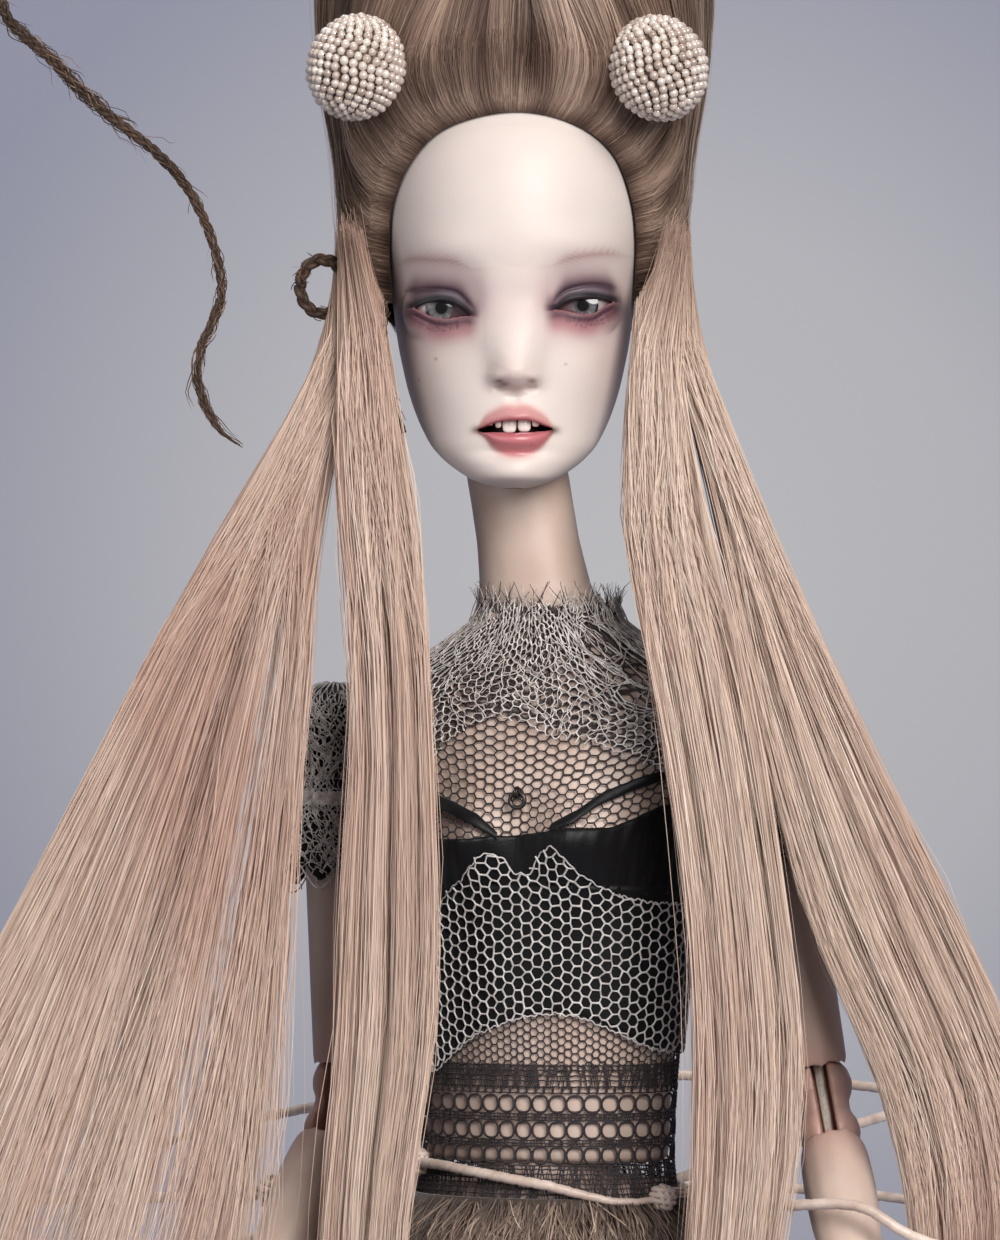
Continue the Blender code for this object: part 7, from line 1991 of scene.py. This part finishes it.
class DollSizes(bpy.types.PropertyGroup):
    """Sizes, counts and lamp powers of the doll's finish."""
    lock_hairs: bpy.props.IntProperty(
        name="Lock hairs", description="Fine hairs in each of the four hanging locks", default=4250, min=100)
    hair_width: bpy.props.FloatProperty(
        name="Hair width", description="Width of one drawn strand of the locks, drawn wide enough to show",
        default=0.000098, unit="LENGTH", precision=6)
    updo_hairs: bpy.props.IntProperty(
        name="Updo hairs", description="Fine hairs swept up from the hairline", default=6200, min=100)
    updo_hair_width: bpy.props.FloatProperty(
        name="Updo hair width", description="Width of one drawn strand of the dressed hair", default=0.000108,
        unit="LENGTH", precision=6)
    iris_radius: bpy.props.FloatProperty(
        name="Iris radius", description="Radius of the painted iris of each glass eye", default=0.00225,
        unit="LENGTH", precision=5)
    bead_radius: bpy.props.FloatProperty(
        name="Bead radius", description="Radius of one sewn bead of the hair balls", default=0.00074,
        unit="LENGTH", precision=5)
    bead_row_gap: bpy.props.FloatProperty(
        name="Bead row gap", description="Distance between two rows of beads", default=0.00124,
        unit="LENGTH", precision=5)
    satin_thickness: bpy.props.FloatProperty(
        name="Satin thickness", description="Thickness of the satin of the bra and the corset ground",
        default=0.0004, unit="LENGTH", precision=5)
    corset_cell: bpy.props.FloatProperty(
        name="Corset cell", description="Width of one cell of the silver net over the corset",
        default=0.00138,
        unit="LENGTH", precision=5)
    corset_thread: bpy.props.FloatProperty(
        name="Corset thread", description="Radius of the silver net's thread", default=0.000145,
        unit="LENGTH", precision=6)
    tulle_cell: bpy.props.FloatProperty(
        name="Tulle cell", description="Width of one cell of the black tulle on the chest", default=0.00118,
        unit="LENGTH", precision=5)
    yoke_cell: bpy.props.FloatProperty(
        name="Yoke cell", description="Width of one cell of the torn net on the shoulders", default=0.00098,
        unit="LENGTH", precision=5)
    yoke_thread: bpy.props.FloatProperty(
        name="Yoke thread", description="Radius of the torn net's thread", default=0.000135,
        unit="LENGTH", precision=6)
    oval_pitch: bpy.props.FloatProperty(
        name="Lace pitch", description="Distance between two ovals of the waist lace", default=0.00242,
        unit="LENGTH", precision=5)
    pile_hairs: bpy.props.IntProperty(
        name="Fur hairs", description="Hairs in the pile of the skirt", default=13000, min=100)
    pile_length: bpy.props.FloatProperty(
        name="Fur length", description="Longest hair of the skirt's pile", default=0.0085,
        unit="LENGTH", precision=5)
    cord_radius: bpy.props.FloatProperty(
        name="Cord radius", description="Radius of the ribbon-wound wire of the cage", default=0.0008,
        unit="LENGTH", precision=5)
    key_power: bpy.props.FloatProperty(
        name="Key light", description="Power of the large soft light", default=17.0, unit="POWER")
    fill_power: bpy.props.FloatProperty(
        name="Fill light", description="Power of the weak light on the other side", default=4.2, unit="POWER")


class DollColours(bpy.types.PropertyGroup):
    """Middle colours of the doll's finishes, in linear light."""
    face: bpy.props.FloatVectorProperty(
        name="Face", description="Resin of the painted face", subtype="COLOR", default=linear("#dbcec7"))
    body: bpy.props.FloatVectorProperty(
        name="Body", description="Resin of the body", subtype="COLOR", default=linear(RESIN[-1][1]))
    blush: bpy.props.FloatVectorProperty(
        name="Blush", description="Paint round the joints", subtype="COLOR", default=linear("#c07f72"))
    lip: bpy.props.FloatVectorProperty(
        name="Lips", description="Paint of the lower lip", subtype="COLOR", default=linear("#bf636b"))
    shadow: bpy.props.FloatVectorProperty(
        name="Eye shadow", description="Paint of the upper lids", subtype="COLOR", default=linear("#3a2834"))
    iris: bpy.props.FloatVectorProperty(
        name="Iris", description="Lit ring of the iris", subtype="COLOR", default=linear("#918d8e"))
    brown_hair: bpy.props.FloatVectorProperty(
        name="Brown hair", description="Middle tone of the dressed hair", subtype="COLOR",
        default=linear(BROWN[len(BROWN) // 2][1]))
    blond_hair: bpy.props.FloatVectorProperty(
        name="Blond hair", description="Middle tone of the hanging locks", subtype="COLOR",
        default=linear(BLOND[len(BLOND) // 2][1]))
    plait_hair: bpy.props.FloatVectorProperty(
        name="Plait hair", description="Middle tone of the plaits", subtype="COLOR",
        default=linear(PLAIT[1][1]))
    pearl: bpy.props.FloatVectorProperty(
        name="Beads", description="Middle tone of the sewn beads", subtype="COLOR",
        default=linear(PEARL[1][1]))
    satin: bpy.props.FloatVectorProperty(
        name="Satin", description="Satin of the bra and the corset", subtype="COLOR",
        default=linear("#0b090b"))
    silver: bpy.props.FloatVectorProperty(
        name="Silver net", description="Lit thread of the corset net", subtype="COLOR",
        default=linear(SILVER[1][1]))
    torn_net: bpy.props.FloatVectorProperty(
        name="Torn net", description="Lit thread of the yoke and the sleeves", subtype="COLOR",
        default=linear(TORN_NET[1][1]))
    lace: bpy.props.FloatVectorProperty(
        name="Black lace", description="Lit thread of the lace and the tulle", subtype="COLOR",
        default=linear(LACE[1][1]))
    fur: bpy.props.FloatVectorProperty(
        name="Fur", description="Middle tone of the skirt's pile", subtype="COLOR", default=linear(FUR[2][1]))
    cord: bpy.props.FloatVectorProperty(
        name="Cord", description="Lit ribbon of the cage", subtype="COLOR", default=linear(CORD[1][1]))
    # The backdrop's colour is the middle of a ramp whose light centre is a painted pool of light.
    paper: bpy.props.FloatVectorProperty(
        name="Backdrop", description="Middle tone of the backdrop paper", subtype="COLOR",
        default=linear(PAPER_AND_LIGHT_POOL[2][1]))


def run(build, context):
    """Build a piece with the scene's sizes and colours; an error in it stops the script."""
    build(context.scene.doll_sizes, context.scene.doll_colours)
    return {"FINISHED"}


class DOLL_OT_stage(bpy.types.Operator):
    """Set up the camera, the lamps, the room's light and the backdrop"""
    bl_idname = "doll.stage"
    bl_label = "Camera, lights and backdrop"

    def execute(self, context):
        return run(build_stage, context)


class DOLL_OT_face(bpy.types.Operator):
    """Lay the painted face and the cap over the head's solids"""
    bl_idname = "doll.face"
    bl_label = "Face and cap"

    def execute(self, context):
        return run(build_face, context)


class DOLL_OT_eyes(bpy.types.Operator):
    """Set the glass eyes and their irises"""
    bl_idname = "doll.eyes"
    bl_label = "Eyes"

    def execute(self, context):
        return run(build_eyes, context)


class DOLL_OT_teeth(bpy.types.Operator):
    """Set the upper teeth behind the lips"""
    bl_idname = "doll.teeth"
    bl_label = "Teeth"

    def execute(self, context):
        return run(build_teeth, context)


class DOLL_OT_updo(bpy.types.Operator):
    """Sweep the hair up from the hairline and wind the two rolls"""
    bl_idname = "doll.updo"
    bl_label = "Dressed hair"

    def execute(self, context):
        return run(build_updo, context)


class DOLL_OT_bead_balls(bpy.types.Operator):
    """Sew the two bead balls"""
    bl_idname = "doll.bead_balls"
    bl_label = "Bead balls"

    def execute(self, context):
        return run(build_bead_balls, context)


class DOLL_OT_locks(bpy.types.Operator):
    """Comb out the four hanging locks"""
    bl_idname = "doll.locks"
    bl_label = "Hanging locks"

    def execute(self, context):
        return run(build_locks, context)


class DOLL_OT_plaits(bpy.types.Operator):
    """Plait the long strand and the two short ones"""
    bl_idname = "doll.plaits"
    bl_label = "Plaits"

    def execute(self, context):
        return run(build_plaits, context)


class DOLL_OT_body(bpy.types.Operator):
    """Smooth and blush the resin body, its loose balls and its links"""
    bl_idname = "doll.body"
    bl_label = "Body"

    def execute(self, context):
        return run(build_body, context)


class DOLL_OT_bodice(bpy.types.Operator):
    """Put on the bra, its straps, the chest tulle and the netted corset"""
    bl_idname = "doll.bodice"
    bl_label = "Bra and corset"

    def execute(self, context):
        return run(build_bodice, context)


class DOLL_OT_yoke(bpy.types.Operator):
    """Lay the torn net over the shoulders"""
    bl_idname = "doll.yoke"
    bl_label = "Torn yoke"

    def execute(self, context):
        return run(build_yoke, context)


class DOLL_OT_lace(bpy.types.Operator):
    """Knot the lace and the tulle of the waist"""
    bl_idname = "doll.lace"
    bl_label = "Waist lace"

    def execute(self, context):
        return run(build_lace, context)


class DOLL_OT_sleeves(bpy.types.Operator):
    """Gather the two cap sleeves"""
    bl_idname = "doll.sleeves"
    bl_label = "Sleeves"

    def execute(self, context):
        return run(build_sleeves, context)


class DOLL_OT_skirt(bpy.types.Operator):
    """Put on the fur skirt"""
    bl_idname = "doll.skirt"
    bl_label = "Fur skirt"

    def execute(self, context):
        return run(build_skirt, context)


class DOLL_OT_cage(bpy.types.Operator):
    """Wind the belt, the two hoops and their ties"""
    bl_idname = "doll.cage"
    bl_label = "Hoop cage"

    def execute(self, context):
        return run(build_cage, context)


class DOLL_OT_pendant(bpy.types.Operator):
    """Sew the metal ring to the bra"""
    bl_idname = "doll.pendant"
    bl_label = "Pendant"

    def execute(self, context):
        return run(build_pendant, context)


class DOLL_OT_fittings(bpy.types.Operator):
    """Finish the steel and elastic fittings and the cap under the hair"""
    bl_idname = "doll.fittings"
    bl_label = "Fittings"

    def execute(self, context):
        return run(build_fittings, context)


OPERATORS = (
    DOLL_OT_stage, DOLL_OT_face, DOLL_OT_eyes, DOLL_OT_teeth, DOLL_OT_updo, DOLL_OT_bead_balls,
    DOLL_OT_locks, DOLL_OT_plaits, DOLL_OT_body, DOLL_OT_bodice, DOLL_OT_yoke, DOLL_OT_lace,
    DOLL_OT_sleeves, DOLL_OT_skirt, DOLL_OT_cage, DOLL_OT_pendant, DOLL_OT_fittings,
)


class DOLL_PT_pieces(bpy.types.Panel):
    """Lists the steps that build the doll, and the values that they read"""
    bl_idname = "DOLL_PT_pieces"
    bl_label = "Ball-jointed doll"
    bl_space_type = "VIEW_3D"
    bl_region_type = "UI"
    bl_category = "Doll"

    def draw(self, context):
        for operator in OPERATORS:
            self.layout.operator(operator.bl_idname)
        for group in (context.scene.doll_sizes, context.scene.doll_colours):
            for key in group.__annotations__:
                self.layout.prop(group, key)


CLASSES = (DollSizes, DollColours) + OPERATORS + (DOLL_PT_pieces,)


def register():
    for each in CLASSES:
        bpy.utils.register_class(each)
    bpy.types.Scene.doll_sizes = bpy.props.PointerProperty(type=DollSizes)
    bpy.types.Scene.doll_colours = bpy.props.PointerProperty(type=DollColours)


def unregister():
    del bpy.types.Scene.doll_colours
    del bpy.types.Scene.doll_sizes
    for each in reversed(CLASSES):
        bpy.utils.unregister_class(each)


def main():
    register()
    for operator in OPERATORS:
        getattr(bpy.ops.doll, operator.bl_idname.split(".")[1])()


if __name__ == "__main__":
    main()
